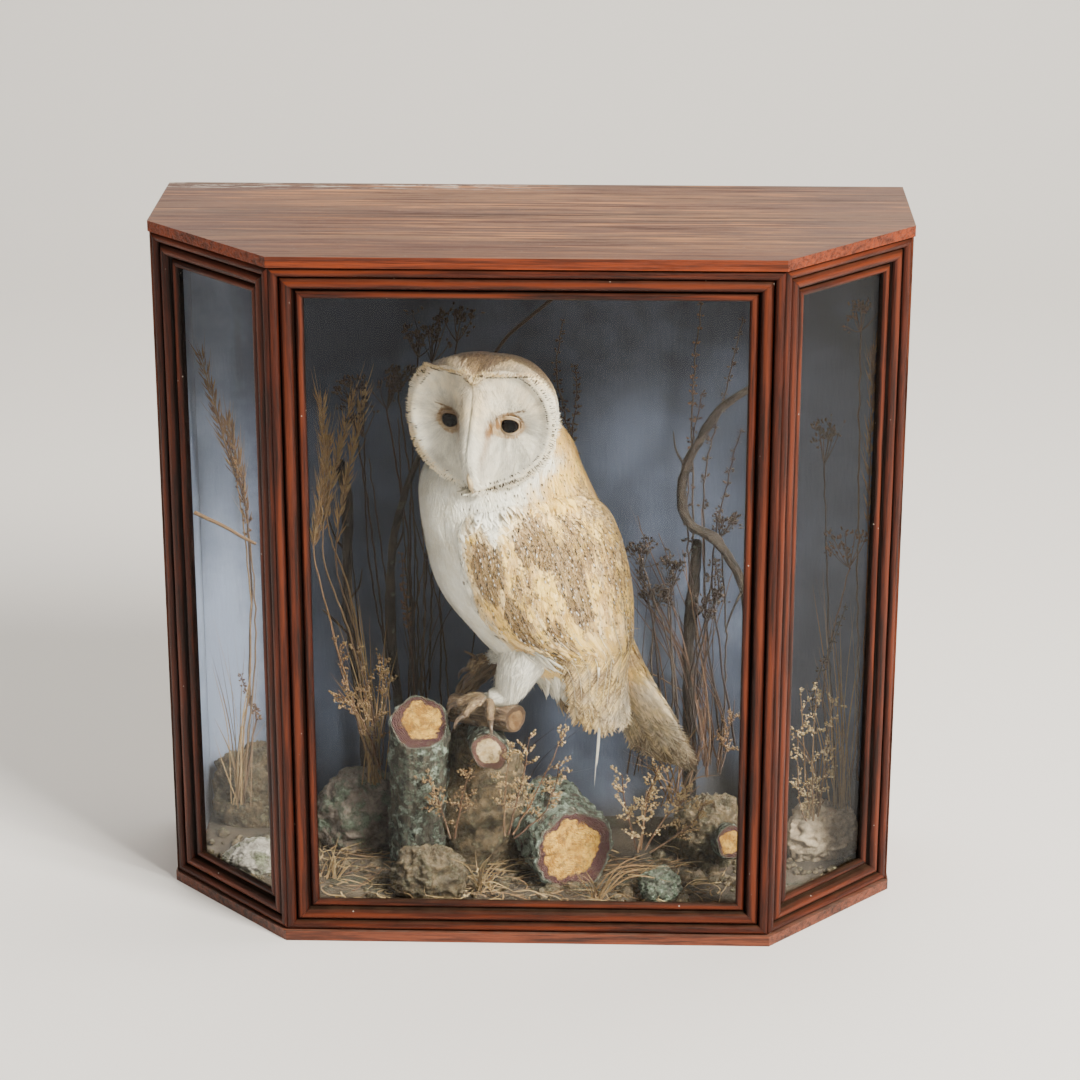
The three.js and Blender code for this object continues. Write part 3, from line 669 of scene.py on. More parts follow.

# %% [markdown]
# ## Boards
# The top is one wide stained board, faded and dusty, with its grain running across the case. The
# base and sides are stained like the bars. Inside, the sides and back carry the same thin blue
# paint, with light and shade painted into it, so the side boards change finish at the plane of
# their inner faces.

# %% Group: blue paint with painted light and shade
paint_and_light_tree, _, paint_out = group("blue_paint_with_painted_light", {}, {"Colour": "colour", "Height": "number"})
point = place_of()
x, y, z = parts_of(point)
# painted shade and light: darker high up, in the shade of the top board, and lighter low down and towards the
# right, where the lamp falls
low = span(z, 0.46, 0.06)
right = span(x, -0.10, 0.16)
paint_light_and_tone = plus(times(low, 0.38), times(right, 0.1))
# painted light on the left return, which the lamp at the right lights
lit_left_return = span(x, -0.165, -0.215)
paint_light_and_tone = plus(paint_light_and_tone, times(lit_left_return, 0.62))
patches = cloud(point, 0.09, 5, 0.6)
paint_light_and_tone = plus(paint_light_and_tone, span(patches, 0.3, 0.7, -0.18, 0.18), clamp=True)
# a painted pool of light on the back, right of the middle and low down
light_pool_distance = put("VectorMath", {0: point, 1: (0.10, 0.088, 0.16)}, operation="DISTANCE").outputs["Value"]
paint_light_and_tone = plus(paint_light_and_tone, span(light_pool_distance, 0.12, 0.02, 0.0, 0.16), clamp=True)
paint = colours(
    paint_light_and_tone, (0.0, (0.034, 0.040, 0.056)), (0.5, (0.095, 0.114, 0.165)), (1.0, (0.31, 0.355, 0.46))
)
runs = cloud(stretched(point, (1, 1, 0.08)), 0.016, 5, 0.6)
grime = times(span(runs, 0.55, 0.75), span(size_of(x), 0.15, 0.225))
paint = mixed(times(grime, 0.5), paint, (0.06, 0.06, 0.058))
foot_dirt = span(plus(z, span(patches, 0.3, 0.7, -0.03, 0.03)), 0.075, 0.01)
paint = mixed(times(foot_dirt, 0.75), paint, (0.075, 0.065, 0.052))
flecks = span(cloud(point, 0.0022, 3, 0.75), 0.7, 0.76)
paint = mixed(times(flecks, 0.3), paint, (0.34, 0.37, 0.42))
join(paint, paint_out["Colour"])
join(cloud(stretched(point, (1, 1, 0.2)), 0.003, 4, 0.6), paint_out["Height"])
print("group", paint_and_light_tree.name)

# %% Material: back board, painted inside and bare outside
back_wood, surface = material("painted back board", Specular_IOR_Level=0.25)
point = place_of()
paint = use(paint_and_light_tree)
bare = use(
    grain_tree, Along=stretched(point, (0.05, 1, 1)), Dark=(0.16, 0.095, 0.05),
    Light=(0.36, 0.25, 0.15), Streaks=0.8
)
inside = span(parts_of(point)[1], 0.0868, 0.0864)
finish_with(surface, mixed(inside, bare["Colour"], paint["Colour"]), None, paint["Height"], 0.0003)
surface.inputs["Roughness"].default_value = 0.82
print("made", back_wood.name)


# %% Material: stained boards
def stained_board(name, drawn_scale, lining):
    """Stained wood with its grain along one axis. lining is how far out in X its painted face reaches."""
    made, surface = material(name, Coat_Roughness=0.4, Specular_IOR_Level=0.35)
    point = place_of()
    grain = use(
        grain_tree, Along=stretched(point, drawn_scale), Dark=(0.03, 0.009, 0.005),
        Light=(0.20, 0.05, 0.02), Streaks=0.8
    )
    dusted = use(
        dust_tree, Colour=grain["Colour"], Dust=(0.17, 0.12, 0.09), Amount=0.5, Roughness=0.4
    )
    colour, height = dusted["Colour"], grain["Height"]
    if lining:
        paint = use(paint_and_light_tree)
        across = size_of(parts_of(point)[0])
        inside = span(across, lining + 0.0002, lining)
        colour = mixed(inside, colour, paint["Colour"])
    finish_with(surface, colour, dusted["Roughness"], height, 0.0002)
    return made


side_wood = stained_board("stained side board", (1, 1, 0.05), 0.2326)
base_wood = stained_board("stained base board", (0.05, 1, 1), None)
print("made", side_wood.name, "and", base_wood.name)

# %% Material: the dusty top
top_wood, surface = material("dusty stained top", Specular_IOR_Level=0.2)
point = place_of()
drawn = stretched(point, (0.03, 1, 1))
grain = use(
    grain_tree, Along=drawn, Dark=(0.060, 0.014, 0.006), Light=(0.215, 0.038, 0.010), Streaks=0.85
)
upward = parts_of(put("NewGeometry").outputs["Normal"])[2]
up_face = span(upward, 0.5, 0.9)
bands = cloud(stretched(point, (0.05, 1, 1)), 0.022, 4, 0.6)
film = mixed(span(bands, 0.32, 0.68), (0.105, 0.066, 0.050), (0.19, 0.105, 0.060))
streaks = cloud(drawn, 0.0035, 6, 0.72, 0.3)
film = mixed(span(streaks, 0.53, 0.62), film, (0.42, 0.19, 0.075))
film = mixed(span(streaks, 0.48, 0.40), film, (0.034, 0.016, 0.012))
boards = cloud(stretched(point, (0.10, 1, 1)), 0.05, 3, 0.6)
film = mixed(span(boards, 0.50, 0.34, 0.0, 0.55), film, (0.055, 0.030, 0.024))
x, y, z = parts_of(point)
front_edge = plus(y, span(bands, 0.3, 0.7, -0.02, 0.02))
film = mixed(span(front_edge, -0.02, -0.088, 0.0, 0.6), film, (0.075, 0.042, 0.032))
ends = span(size_of(x), 0.10, 0.23, 0.0, 0.45)
film = mixed(ends, film, (0.115, 0.085, 0.075))
scuffs = span(cloud(stretched(point, (0.12, 1, 1)), 0.004, 5, 0.75), 0.52, 0.58)
near_back = times(span(y, 0.072, 0.09), span(x, 0.05, -0.05))
film = mixed(times(scuffs, near_back), film, (0.52, 0.47, 0.40))
marks = span(cloud(point, 0.0016, 2, 0.6), 0.72, 0.76)
film = mixed(times(marks, 0.6), film, (0.40, 0.34, 0.28))
share = times(up_face, 0.86)
whole = mixed(share, grain["Colour"], film)
finish_with(surface, whole, span(up_face, 0.0, 1.0, 0.32, 0.6), grain["Height"], 0.00025)
print("made", top_wood.name)

# %% Dress the boards
for name, wood in [
    ("top_board", top_wood),
    ("base_board", base_wood),
    ("side_left", side_wood),
    ("side_right", side_wood),
    ("back_board", back_wood),
]:
    board = nodes[name]
    board.data.materials.clear()
    board.data.materials.append(wood)
    rounding = board.modifiers.new("rounded edges", "BEVEL")
    rounding.width = 0.9 * MM if name == "top_board" else 0.5 * MM
    rounding.segments = 3
    rounding.angle_limit = math.radians(30)
    rounding.harden_normals = True
print("dressed the boards")

# %% [markdown]
# ## Glass
# Old thin window glass. It is clear to the lamps: a glass that casts a full shadow would leave the
# bird in the dark, so rays of shadow pass straight through it.

# %% Material: glass
pane_glass, surface = material("window glass", Roughness=0.0, IOR=1.16, Transmission_Weight=1.0)
film = cloud(place_of(), 0.05, 2, 0.6)
clear = mixed(span(film, 0.3, 0.8), (0.965, 0.98, 0.975), (0.94, 0.955, 0.95))
join(clear, surface.inputs["Base Color"])
shadow = put("LightPath").outputs["Is Shadow Ray"]
through_it = put("BsdfTransparent", {"Color": (0.94, 0.96, 0.955)})
both = put("MixShader", {0: shadow, 1: surface.outputs[0], 2: through_it.outputs[0]})
join(both.outputs[0], Bench.tree.nodes["Material Output"].inputs["Surface"])
for name in ("front_glass", "left_glass", "right_glass"):
    nodes[name].data.materials.clear()
    nodes[name].data.materials.append(pane_glass)
print("glazed")
# %% [markdown]
# ## Floor, rocks, logs and branches
# The groundwork is real wood and stone with papier-mache banks between, all painted, dusted and
# crusted with lichen. Stones are balls pushed in and out by noise at many sizes. Logs are tubes
# with a sawn face cut on its own plane, where rings show from the pith to the bark.

# %% Finishes for stone and earth
def stone_finish(name, dark, light, crust, edge, cover, size, bump=0.0012, dust=0.22):
    made, surface = material(name, Roughness=0.9, Specular_IOR_Level=0.2)
    point = place_of()
    patches = cloud(point, size, 5, 0.7)
    grit = cloud(point, 0.0016, 3, 0.7)
    under = mixed(span(patches, 0.3, 0.7), dark, light)
    under = mixed(span(grit, 0.45, 0.75, 0.0, 0.5), under, tuple(0.4 * c for c in dark))
    lichen = use(lichen_tree, Under=under, Crust=crust, Edge=edge, Cover=cover, Size=size * 0.9)
    dusted = use(
        dust_tree, Colour=lichen["Colour"], Dust=(0.34, 0.31, 0.26), Amount=dust, Roughness=0.9
    )
    height = plus(times(grit, 0.5), plus(patches, lichen["Height"]))
    finish_with(surface, dusted["Colour"], None, height, bump)
    return made


pink_rock = stone_finish(
    "pinkish rock", (0.075, 0.058, 0.045), (0.24, 0.19, 0.15), (0.21, 0.24, 0.17),
    (0.10, 0.12, 0.08), 0.46, 0.018, 0.0018
)
tan_rock = stone_finish(
    "tan rock", (0.17, 0.12, 0.07), (0.48, 0.38, 0.26), (0.36, 0.25, 0.11), (0.24, 0.13, 0.06),
    0.36, 0.022
)
pale_rock = stone_finish(
    "pale rock", (0.17, 0.15, 0.12), (0.42, 0.38, 0.32), (0.15, 0.17, 0.09), (0.10, 0.10, 0.06),
    0.45, 0.02
)
moss_mat = stone_finish(
    "dried moss", (0.032, 0.023, 0.013), (0.15, 0.105, 0.055), (0.22, 0.18, 0.10),
    (0.08, 0.07, 0.04), 0.46, 0.008, 0.0024, 0.1
)
green_rock = stone_finish(
    "green crusted rock", (0.04, 0.045, 0.035), (0.13, 0.14, 0.10), (0.34, 0.39, 0.29),
    (0.10, 0.14, 0.09), 0.48, 0.006, 0.0024
)
earth = stone_finish(
    "painted floor", (0.028, 0.020, 0.013), (0.088, 0.064, 0.042), (0.08, 0.075, 0.045),
    (0.045, 0.045, 0.03), 0.42, 0.03, 0.0012, 0.06
)
print("stone finishes:", pale_rock.name, moss_mat.name, green_rock.name, earth.name)


# %% Build the rocks
FLOOR = FOOT
ROCK_ROWS, ROCK_SIDES = 90, 132


def rock(name, node, centre, half, lumpy, seed, finish, slot):
    turn, polar = np.meshgrid(full_turn(ROCK_SIDES), np.linspace(0.02, math.pi - 0.02, ROCK_ROWS))
    ray = np.stack([np.sin(polar) * np.cos(turn), np.sin(polar) * np.sin(turn), np.cos(polar)], -1)
    shape = rough(ray * 50 + 31 * seed, 46, 2, seed)
    crags = 1 - np.abs(rough(ray * 50 * np.array(half) / max(half), 15, 5, seed + 5))
    grit = rough(ray * np.array(half), 3.0, 3, seed + 9)
    swell = 1 + lumpy * (0.85 * shape + 1.25 * (crags - 0.75)) + 1.2 * grit / np.mean(half)
    points = np.array(centre) + ray * np.array(half) * column(swell)
    points[..., 2] = np.maximum(points[..., 2], FLOOR + 0.2)
    points[..., 1] = np.minimum(points[..., 1], CASE_DEPTH / 2 - BOARD - BOARD_GAP - 0.2)
    heap = Heap()
    heap.add(points, grid_faces(ROCK_ROWS, ROCK_SIDES, wrap=True)[:, ::-1])
    made = heap.piece(name, finish, slot)
    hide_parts(node)
    return made


ROCKS = [
    ("rough_rock_left", "rock_left", (-121, 40, 30), (36, 24, 30), 0.16, 3, pink_rock, "rock"),
    ("mossy_rock_front", "rock_front", (-66, -42, 24), (26, 18, 20), 0.17, 4, moss_mat, "moss"),
    ("crusted_rock", "rock_green", (89, -45, 19), (14, 12, 12), 0.22, 5, green_rock, "lichen"),
    ("mossy_bank_right", "mound_right", (124, 24, 26), (25, 25, 28), 0.18, 6, moss_mat, "moss"),
    ("rough_rock_right", "rock_right", (201, 32, 22), (27, 22, 24), 0.15, 7, tan_rock, "rock"),
    ("mossy_bank_left", "bank_left", (-196, 74, 28), (34, 18, 40), 0.16, 8, moss_mat, "earth"),
    ("pale_rock_left", "rock_pale", (-188, 2, 12), (22, 20, 11), 0.18, 9, pale_rock, "rock"),
    ("mossy_mound", "mound_perch", (-37, 16, 40), (32, 30, 70), 0.17, 10, moss_mat, "moss"),
]
for each in ROCKS:
    rock(*each)
print("rocks:", len(ROCKS))

# %% The floor inside the glass
rows, columns = 90, 230
INSIDE_FRONT, INSIDE_BACK = -79.2, 87.2
HALF_FRONT, HALF_BACK = 152.6, 231.2
across, depth = np.meshgrid(
    np.linspace(-1, 1, columns), np.linspace(INSIDE_FRONT, INSIDE_BACK, rows)
)
half_floor = np.minimum(HALF_FRONT + (depth - INSIDE_FRONT) * CANT_WIDTH / CANT_DEPTH, HALF_BACK)
x = across * half_floor
swell = rough(
    np.stack([x, depth, 0 * x], -1), 34, 3, 44
) + 0.35 * rough(np.stack([x, depth, 0 * x], -1), 4, 2, 45)
edge = np.minimum(
    1 - np.abs(across), np.minimum(depth - INSIDE_FRONT, INSIDE_BACK - depth) / 90
) * 12
top = FLOOR + 0.5 + np.clip(edge, 0, 1) * (1.5 + 1.1 * swell)
floor_heap = Heap()
floor_heap.add(np.stack([x, depth, top], -1), grid_faces(rows, columns))
rim = np.concatenate(
    [
        np.arange(columns), np.arange(1, rows) * columns + columns - 1,
        (rows - 1) * columns + np.arange(columns - 2, -1, -1), np.arange(rows - 2, 0, -1) * columns
    ]
)
edge_points = np.stack([x, depth, top], -1).reshape(-1, 3)[rim]
skirt = np.stack([edge_points, edge_points * [1, 1, 0] + [0, 0, BOARD + 0.05]])
floor_heap.add(skirt, grid_faces(2, len(rim), wrap=True)[:, ::-1])
floor_heap.piece("painted_ground", earth, "earth")
print("ground laid")

# %% [markdown]
# Bark is furrowed along the log and crusted with lichen. On a sawn face the heartwood is ochre, with
# fine rings and cracks, and a darker purple-brown band lies under the bark.


# %% Finishes for logs
def bark_finish(name, dark, light, crust, edge, cover, size):
    made, surface = material(name, Roughness=0.92, Specular_IOR_Level=0.2)
    lie = put("Attribute", attribute_name="lie").outputs["Vector"]
    furrow = cloud(stretched(lie, (1, 1, 0.22)), 0.0035, 6, 0.62, 0.6)
    under = mixed(span(furrow, 0.35, 0.65), dark, light)
    lichen = use(lichen_tree, Under=under, Crust=crust, Edge=edge, Cover=cover, Size=size)
    height = plus(furrow, lichen["Height"])
    finish_with(surface, lichen["Colour"], None, height, 0.0022)
    return made


def sawn_finish(name, heart, heart_light, ring, crust):
    made, surface = material(name, Roughness=0.8, Specular_IOR_Level=0.25)
    out, around, seed = parts_of(put("Attribute", attribute_name="ring").outputs["Vector"])
    point = place_of()
    wobble = cloud(point, 0.016, 4, 0.65)
    reach = plus(out, span(wobble, 0.25, 0.75, -0.13, 0.13))
    lean = sine_of(plus(times(around, 2 * math.pi), seed))
    reach = plus(reach, times(times(lean, out), 0.13))
    years = sine_of(times(reach, 95.0))
    stain = cloud(point, 0.006, 4, 0.7)
    wood = mixed(span(stain, 0.38, 0.62), heart, heart_light)
    wood = mixed(span(years, 0.2, 1.0, 0.0, 0.16), wood, tuple(0.45 * c for c in heart))
    wood = mixed(span(reach, 0.68, 0.74), wood, ring)
    wood = mixed(span(out, 0.93, 0.97), wood, crust)
    pits = span(cloud(point, 0.0022, 3, 0.7), 0.60, 0.68)
    wood = mixed(times(pits, 0.8), wood, tuple(0.3 * c for c in heart))
    rays = put(
        "TexVoronoi", {"Vector": point, "Scale": 160.0}, feature="DISTANCE_TO_EDGE"
    ).outputs["Distance"]
    cracks = times(span(rays, 0.03, 0.0), span(stain, 0.5, 0.7))
    wood = mixed(times(cracks, 0.7), wood, (0.03, 0.02, 0.012))
    grime = span(cloud(point, 0.0035, 3, 0.7), 0.46, 0.7, 0.0, 0.6)
    finish_with(surface, mixed(grime, wood, (0.11, 0.075, 0.042)), None, years, 0.0003)
    return made


dark_bark = bark_finish(
    "lichened bark", (0.022, 0.022, 0.017), (0.085, 0.072, 0.052), (0.46, 0.50, 0.42),
    (0.13, 0.165, 0.115), 0.47, 0.0055
)
pale_bark = bark_finish(
    "crusted bark", (0.028, 0.024, 0.02), (0.10, 0.082, 0.06), (0.38, 0.43, 0.35),
    (0.13, 0.165, 0.12), 0.52, 0.007
)
branch_bark = bark_finish(
    "branch bark", (0.013, 0.010, 0.008), (0.050, 0.038, 0.029), (0.15, 0.15, 0.125),
    (0.055, 0.053, 0.042), 0.38, 0.006
)
ochre_end = sawn_finish(
    "ochre sawn end", (0.36, 0.165, 0.022), (0.70, 0.40, 0.075), (0.07, 0.026, 0.026),
    (0.10, 0.105, 0.08)
)
cream_end = sawn_finish(
    "cream sawn end", (0.52, 0.34, 0.15), (0.72, 0.55, 0.32), (0.13, 0.06, 0.045),
    (0.09, 0.07, 0.05)
)
perch_bark = bark_finish(
    "bare brown bark", (0.045, 0.028, 0.018), (0.22, 0.145, 0.085), (0.27, 0.23, 0.16),
    (0.12, 0.09, 0.06), 0.40, 0.005
)
brown_end = sawn_finish(
    "brown sawn end", (0.17, 0.085, 0.032), (0.34, 0.20, 0.085), (0.10, 0.055, 0.03),
    (0.10, 0.07, 0.045)
)
print(
    "bark and sawn finishes:",
    [
        m.name
        for m in (dark_bark, pale_bark, branch_bark, perch_bark, ochre_end, cream_end, brown_end)
    ]
)


# %% Build the logs
LOG_SIDES, SAWN_RINGS, BACK_RINGS = 160, 26, 6


def log(name, node, near, far, radius, cut, bark, sawn, seed, rugged=0.05):
    near, far, cut = np.array(near, float), np.array(far, float), unit(np.array(cut, float))
    length = np.linalg.norm(far - near)
    axis = (far - near) / length
    side = np.cross([0, 0, 1.0], axis)
    side = np.array([1.0, 0, 0]) if side @ side < 0.01 else unit(side)
    over = np.cross(axis, side)
    turns = full_turn(LOG_SIDES)
    runs = np.linspace(0, 1, max(int(length / 1.1), 8))
    run, turn = np.meshgrid(runs, turns, indexing="ij")
    uneven = 1 + 0.05 * np.sin(2 * turn + radius) + 0.03 * np.sin(5 * turn)
    place = np.stack([radius * np.cos(turn), radius * np.sin(turn), run * length], -1)
    furrows = rough(place * [1, 1, 0.3], 7, 4, seed)
    crust = rough(place, 4.5, 3, seed + 7)
    swell = uneven * (
        1 + rugged * furrows + 0.085 * np.maximum(crust, 0) * ease(run * length, 0, 1.5)
    )
    swell = swell * (1 - 0.03 * (run * length < 0.9))
    radial = column(
        radius * swell * np.cos(turn)
    ) * side + column(radius * swell * np.sin(turn)) * over
    slant = -(radial @ cut) / (axis @ cut) * (1 - run) ** 2
    tube = near + column(run * length + slant) * axis + radial
    tube[..., 2] = np.maximum(tube[..., 2], FLOOR)
    heap = Heap()
    heap.add(
        tube, grid_faces(len(runs), len(turns), wrap=True)[:, ::-1],
        lie=(place * MM).reshape(-1, 3) + [0, 0, seed]
    )
    made = heap.piece(name, bark, "log")
    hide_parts(node)
    rings = np.linspace(0, 1, SAWN_RINGS)
    ring, turn = np.meshgrid(rings, turns, indexing="ij")
    face_points = near + column(ring) * (tube[0][None] - near)
    saw = noise(
        face_points @ np.array([[1.0, 0.2, 0.1], [0, 1, 0.4], [0.2, 0, 1]]), 2.2, seed
    ) * 0.12
    face_points = face_points - column(saw * (ring < 0.97)) * cut
    caps = Heap()
    marks = np.stack([ring, turn / 6.283, 0 * ring + seed], -1).reshape(-1, 3)
    caps.add(face_points, grid_faces(len(rings), len(turns), wrap=True), ring=marks)
    back = far + column(ring[:BACK_RINGS] / rings[BACK_RINGS - 1]) * (tube[-1][None] - far)
    back_faces = grid_faces(BACK_RINGS, len(turns), wrap=True)[:, ::-1]
    caps.add(back, back_faces, ring=marks[: BACK_RINGS * len(turns)])
    caps.piece(name + "_end", sawn, "log")


log(
    "upright_log", "log_left", (-75, -12, 122), (-78, 4, 7.6), 19, (-0.05, -0.6, 0.8), dark_bark,
    ochre_end, 21
)
log(
    "middle_log", "log_middle", (-27, -36, 112), (-31, 6, 106), 12.5, (-0.05, -1, 0.12), dark_bark,
    cream_end, 22
)
log(
    "front_log", "log_front", (30, -24, 34), (6, 32, 36), 27.5, (0.36, -0.9, 0.2), pale_bark,
    ochre_end, 23, 0.07
)
log(
    "right_log", "log_right", (137, -16, 38), (132, 14, 26), 11, (0.2, -0.9, 0.3), dark_bark,
    ochre_end, 24
)
log(
    "perch", "perch_log", (-10, -25, 131), (-52, 12, 124), 9, (0.75, -0.66, 0.1), perch_bark,
    brown_end, 25, 0.13
)
print("logs cut")


# %% Build the branches
def swept(heap, points, radii, seed, sides=14, wrinkle=0.12, end_share=0.02, rows_per_mm=0.8):
    """A knotted rod through points, with its radius given at each."""
    points = np.array(points, float)
    radius_at = through(*zip(np.linspace(0, 1, len(points)), radii))
    length = np.sum(np.linalg.norm(np.diff(points, axis=0), axis=1))
    runs = np.linspace(0, 1, max(int(length * rows_per_mm), 6))
    line = path(points)(runs)
    line = line + 0.35 * column(
        noise(np.stack([runs * length, 0 * runs, 0 * runs], -1), 15, seed)
    ) * np.array([1, 0.6, 0])
    heading = unit(np.gradient(line, axis=0))
    run, turn = np.meshgrid(runs, full_turn(sides), indexing="ij")
    reach = radius_at(run) * round_ends(run, end_share)
    place = np.stack([reach * np.cos(turn), reach * np.sin(turn), run * length], -1)
    knots = np.maximum(noise(place * [1, 1, 0.35], 9, seed + 2) - 0.25, 0)
    reach = reach * (1 + wrinkle * rough(place * [1, 1, 0.4], 3.5, 2, seed + 1) + 0.7 * knots)
    tube = tube_round(line, heading, [0.31, 0.93, 0.2], reach, turn)
    heap.add(
        tube, grid_faces(len(runs), sides, wrap=True)[:, ::-1],
        lie=(place * MM).reshape(-1, 3) + [0, 0, seed]
    )
    return line


def branch(name, node, points, radii, seed, twigs=()):
    """A branch and its twigs as one piece. twigs holds (points, thickness) for each."""
    heap = Heap()
    swept(heap, points, radii, seed, wrinkle=0.16)
    for i, (twig, thick) in enumerate(twigs):
        swept(heap, twig, np.linspace(thick, 0.3 * thick, len(twig)), seed + 40 + i, sides=8)
    made = heap.piece(name, perch_bark if node == "perch_branch" else branch_bark, "twig")
    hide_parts(node)


branch(
    "bare_branch_left", "branch_left",
    [
        (-133, 72, 281), (-129, 72, 250), (-129, 72, 214), (-130, 72, 176), (-127, 72, 144),
        (-122, 72, 98), (-119, 72, 48), (-119, 72, 7.5)
    ],
    [2.6, 3.1, 3.3, 3.4, 3.4, 3.6, 3.8, 4.0], 31,
    twigs=[
        ([(-121, 72, 132), (-126, 68, 148), (-133, 64, 160), (-147, 62, 175)], 1.5),
        ([(-129, 72, 214), (-137, 70, 224), (-141, 68, 240)], 1.2),
        ([(-130, 72, 176), (-121, 66, 190), (-118, 64, 205)], 1.1)
    ],
)
branch(
    "bare_branch_middle", "branch_middle",
    [
        (-77, 60, 290), (-92, 60, 247), (-98, 60, 205), (-99, 60, 160), (-95, 66, 100),
        (-88, 72, 7.5)
    ],
    [1.8, 2.5, 2.8, 2.9, 3.0, 3.2], 32,
    twigs=[([(-97, 60, 215), (-90, 56, 232), (-88, 55, 246)], 1.0)],
)
branch(
    "curling_branch", "branch_curly",
    [
        (147, 42, 345), (126, 41, 330), (113, 40, 310), (103, 40, 288), (100, 40, 264),
        (107, 40, 247), (122, 40, 238), (133, 40, 224), (143, 42, 200), (150, 48, 150),
        (155, 56, 90), (158, 62, 7.5)
    ],
    [2.4, 2.8, 3.1, 3.2, 3.3, 3.4, 3.2, 3.2, 3.2, 3.3, 3.4, 3.6], 33,
    twigs=[
        ([(103, 40, 288), (96, 38, 301), (94, 37, 315)], 1.2),
        ([(143, 42, 200), (136, 38, 186), (131, 36, 170)], 1.1)
    ],
)
branch(
    "trunk_right", "branch_right",
    [(112, 54, 232), (109, 54, 189), (107, 54, 147), (109, 54, 90), (110, 54, 7.5)],
    [3.6, 4.0, 4.2, 4.4, 4.6], 34, twigs=[([(108, 54, 170), (118, 50, 186), (122, 48, 202)], 1.3)],
)
branch(
    "arched_root", "perch_branch", [(-14, 26, 160), (-32, 22, 146), (-45, 20, 134), (-50, 18, 112)],
    [5.4, 6.0, 6.2, 6.3], 35, twigs=[([(-32, 22, 146), (-38, 18, 158), (-46, 15, 164)], 1.6)],
)
print("branches bent")

# %% [markdown]
# Crumbs of moss, bark and grit cover the floor between the stones, thickest against them.

# %% Litter on the floor
CRUMBS = 900
litter_rng = np.random.default_rng(51)
litter = Heap()
ball_turn, ball_polar = np.meshgrid(full_turn(9), np.linspace(0.15, math.pi - 0.15, 6))
ball = np.stack(
    [
        np.sin(ball_polar) * np.cos(ball_turn), np.sin(ball_polar) * np.sin(ball_turn),
        np.cos(ball_polar)
    ],
    -1
)
homes = [
    (x, y, max(wide, deep)) for _, _, (x, y, _), (wide, deep, _), *_ in ROCKS
] + [(-75, -8, 18), (-28, -10, 14), (20, 0, 26), (135, 0, 12)]
for k in range(CRUMBS):
    x, y, near = homes[litter_rng.integers(len(homes))]
    way, far = litter_rng.uniform(0, 2 * math.pi), near + abs(litter_rng.normal(0, 12))
    spot = np.array([x + far * math.cos(way), y + far * math.sin(way), FLOOR + 2.2])
    if abs(spot[0]) > 148 + max(
        0, spot[1] + 75
    ) * 0.9 or abs(spot[0]) > 226 or not -76 < spot[1] < 84:
        continue
    size = litter_rng.uniform(1.0, 2.6) + 4.5 * litter_rng.random() ** 6
    lump = ball * size * [1, 1, 0.7] * column(1 + 0.45 * rough(ball * 4 + 9 * k, 3.0, 2, k))
    litter.add(spot + lump + [0, 0, 0.2 * size], grid_faces(6, 9, wrap=True)[:, ::-1])
litter.piece("floor_litter", moss_mat, "moss")
print("litter:", litter.count, "points")
# %% [markdown]
# ## The bird: one set of surfaces
# Head, body, wings, tail and legs are smooth surfaces given by a few sizes along and around them, the
# same that shaped the solids. The skin is made from them, and every feather is rooted in one and
# lies along it, so the coat ends where the solids do.

# %% Directions and places
BODY_TURN, HEAD_TURN = math.radians(20), math.radians(17)
FORWARD = np.array([-math.cos(BODY_TURN), -math.sin(BODY_TURN), 0])
LEFT_SIDE = np.array([math.sin(BODY_TURN), -math.cos(BODY_TURN), 0])
FACE_OUT = np.array([-math.sin(HEAD_TURN), -math.cos(HEAD_TURN), 0])
FACE_SIDE = np.array([math.cos(HEAD_TURN), -math.sin(HEAD_TURN), 0])
UP = np.array([0, 0, 1.0])
HEAD_PLACE = np.array([-33, -38, 344.0])
HEAD_BACK = 66
HEAD_MIDDLE = HEAD_PLACE - 30 * FACE_OUT
EYE_RADIUS, EYE_SPREAD, EYE_SINK, EYE_DROP = 7.4, 40, 8.6, 1.0
print(
    "body turned", round(math.degrees(BODY_TURN)), "and head", round(math.degrees(HEAD_TURN)),
    "degrees"
)


# %% Body
TORSO_TOP, TORSO_FOOT = 342, 132
centre_x = through(
    (342, -14), (324, -15), (300, -19), (281, -16), (260, -10), (218, 1), (182, 15), (150, 29),
    (108, 45)
)
centre_y = through((342, 16), (324, 13), (300, 4), (260, 3), (200, 8), (150, 17), (108, 22))
half_long = through(
    (342, 30), (324, 39), (300, 52.5), (260, 62), (218, 62), (182, 51), (164, 43), (150, 37.5),
    (108, 29)
)
half_wide = through(
    (342, 28), (324, 35), (300, 43), (260, 50), (218, 50), (182, 41), (150, 30), (108, 20)
)


def body_axis(z):
    z = np.asarray(z, float)
    return np.stack([centre_x(z), centre_y(z), z], -1)


def on_body(z, angle, swell=1.0):
    """angle 0 is the breast, a quarter turn the bird's left side."""
    reach = column(half_long(z) * np.cos(angle) * swell) * FORWARD
    return body_axis(z) + reach + column(half_wide(z) * np.sin(angle) * swell) * LEFT_SIDE


def torso(z, angle):
    return on_body(z, angle, round_ends((TORSO_TOP - z) / (TORSO_TOP - TORSO_FOOT), 0.16))


def body_out(z, angle):
    out = column(
        np.cos(angle) / half_long(z)
    ) * FORWARD + column(np.sin(angle) / half_wide(z)) * LEFT_SIDE
    return unit(out)


print(
    "body", TORSO_TOP - TORSO_FOOT, "mm long, at most", 2 * round(float(half_long(240.0))),
    "mm deep"
)


# %% Wings
WING_TOP, WING_TIP, WING_THICKNESS, WING_STAND = 293, 105, 9, 0.05
wing_front = through(
    (293, 66), (280, 45), (259, 40), (220, 40), (192, 43), (173, 62), (150, 63), (128, 54),
    (108, 48)
)
wing_back = through(
    (293, 125), (280, 156), (259, 168), (200, 167), (173, 160), (157, 150), (135, 134), (108, 128)
)


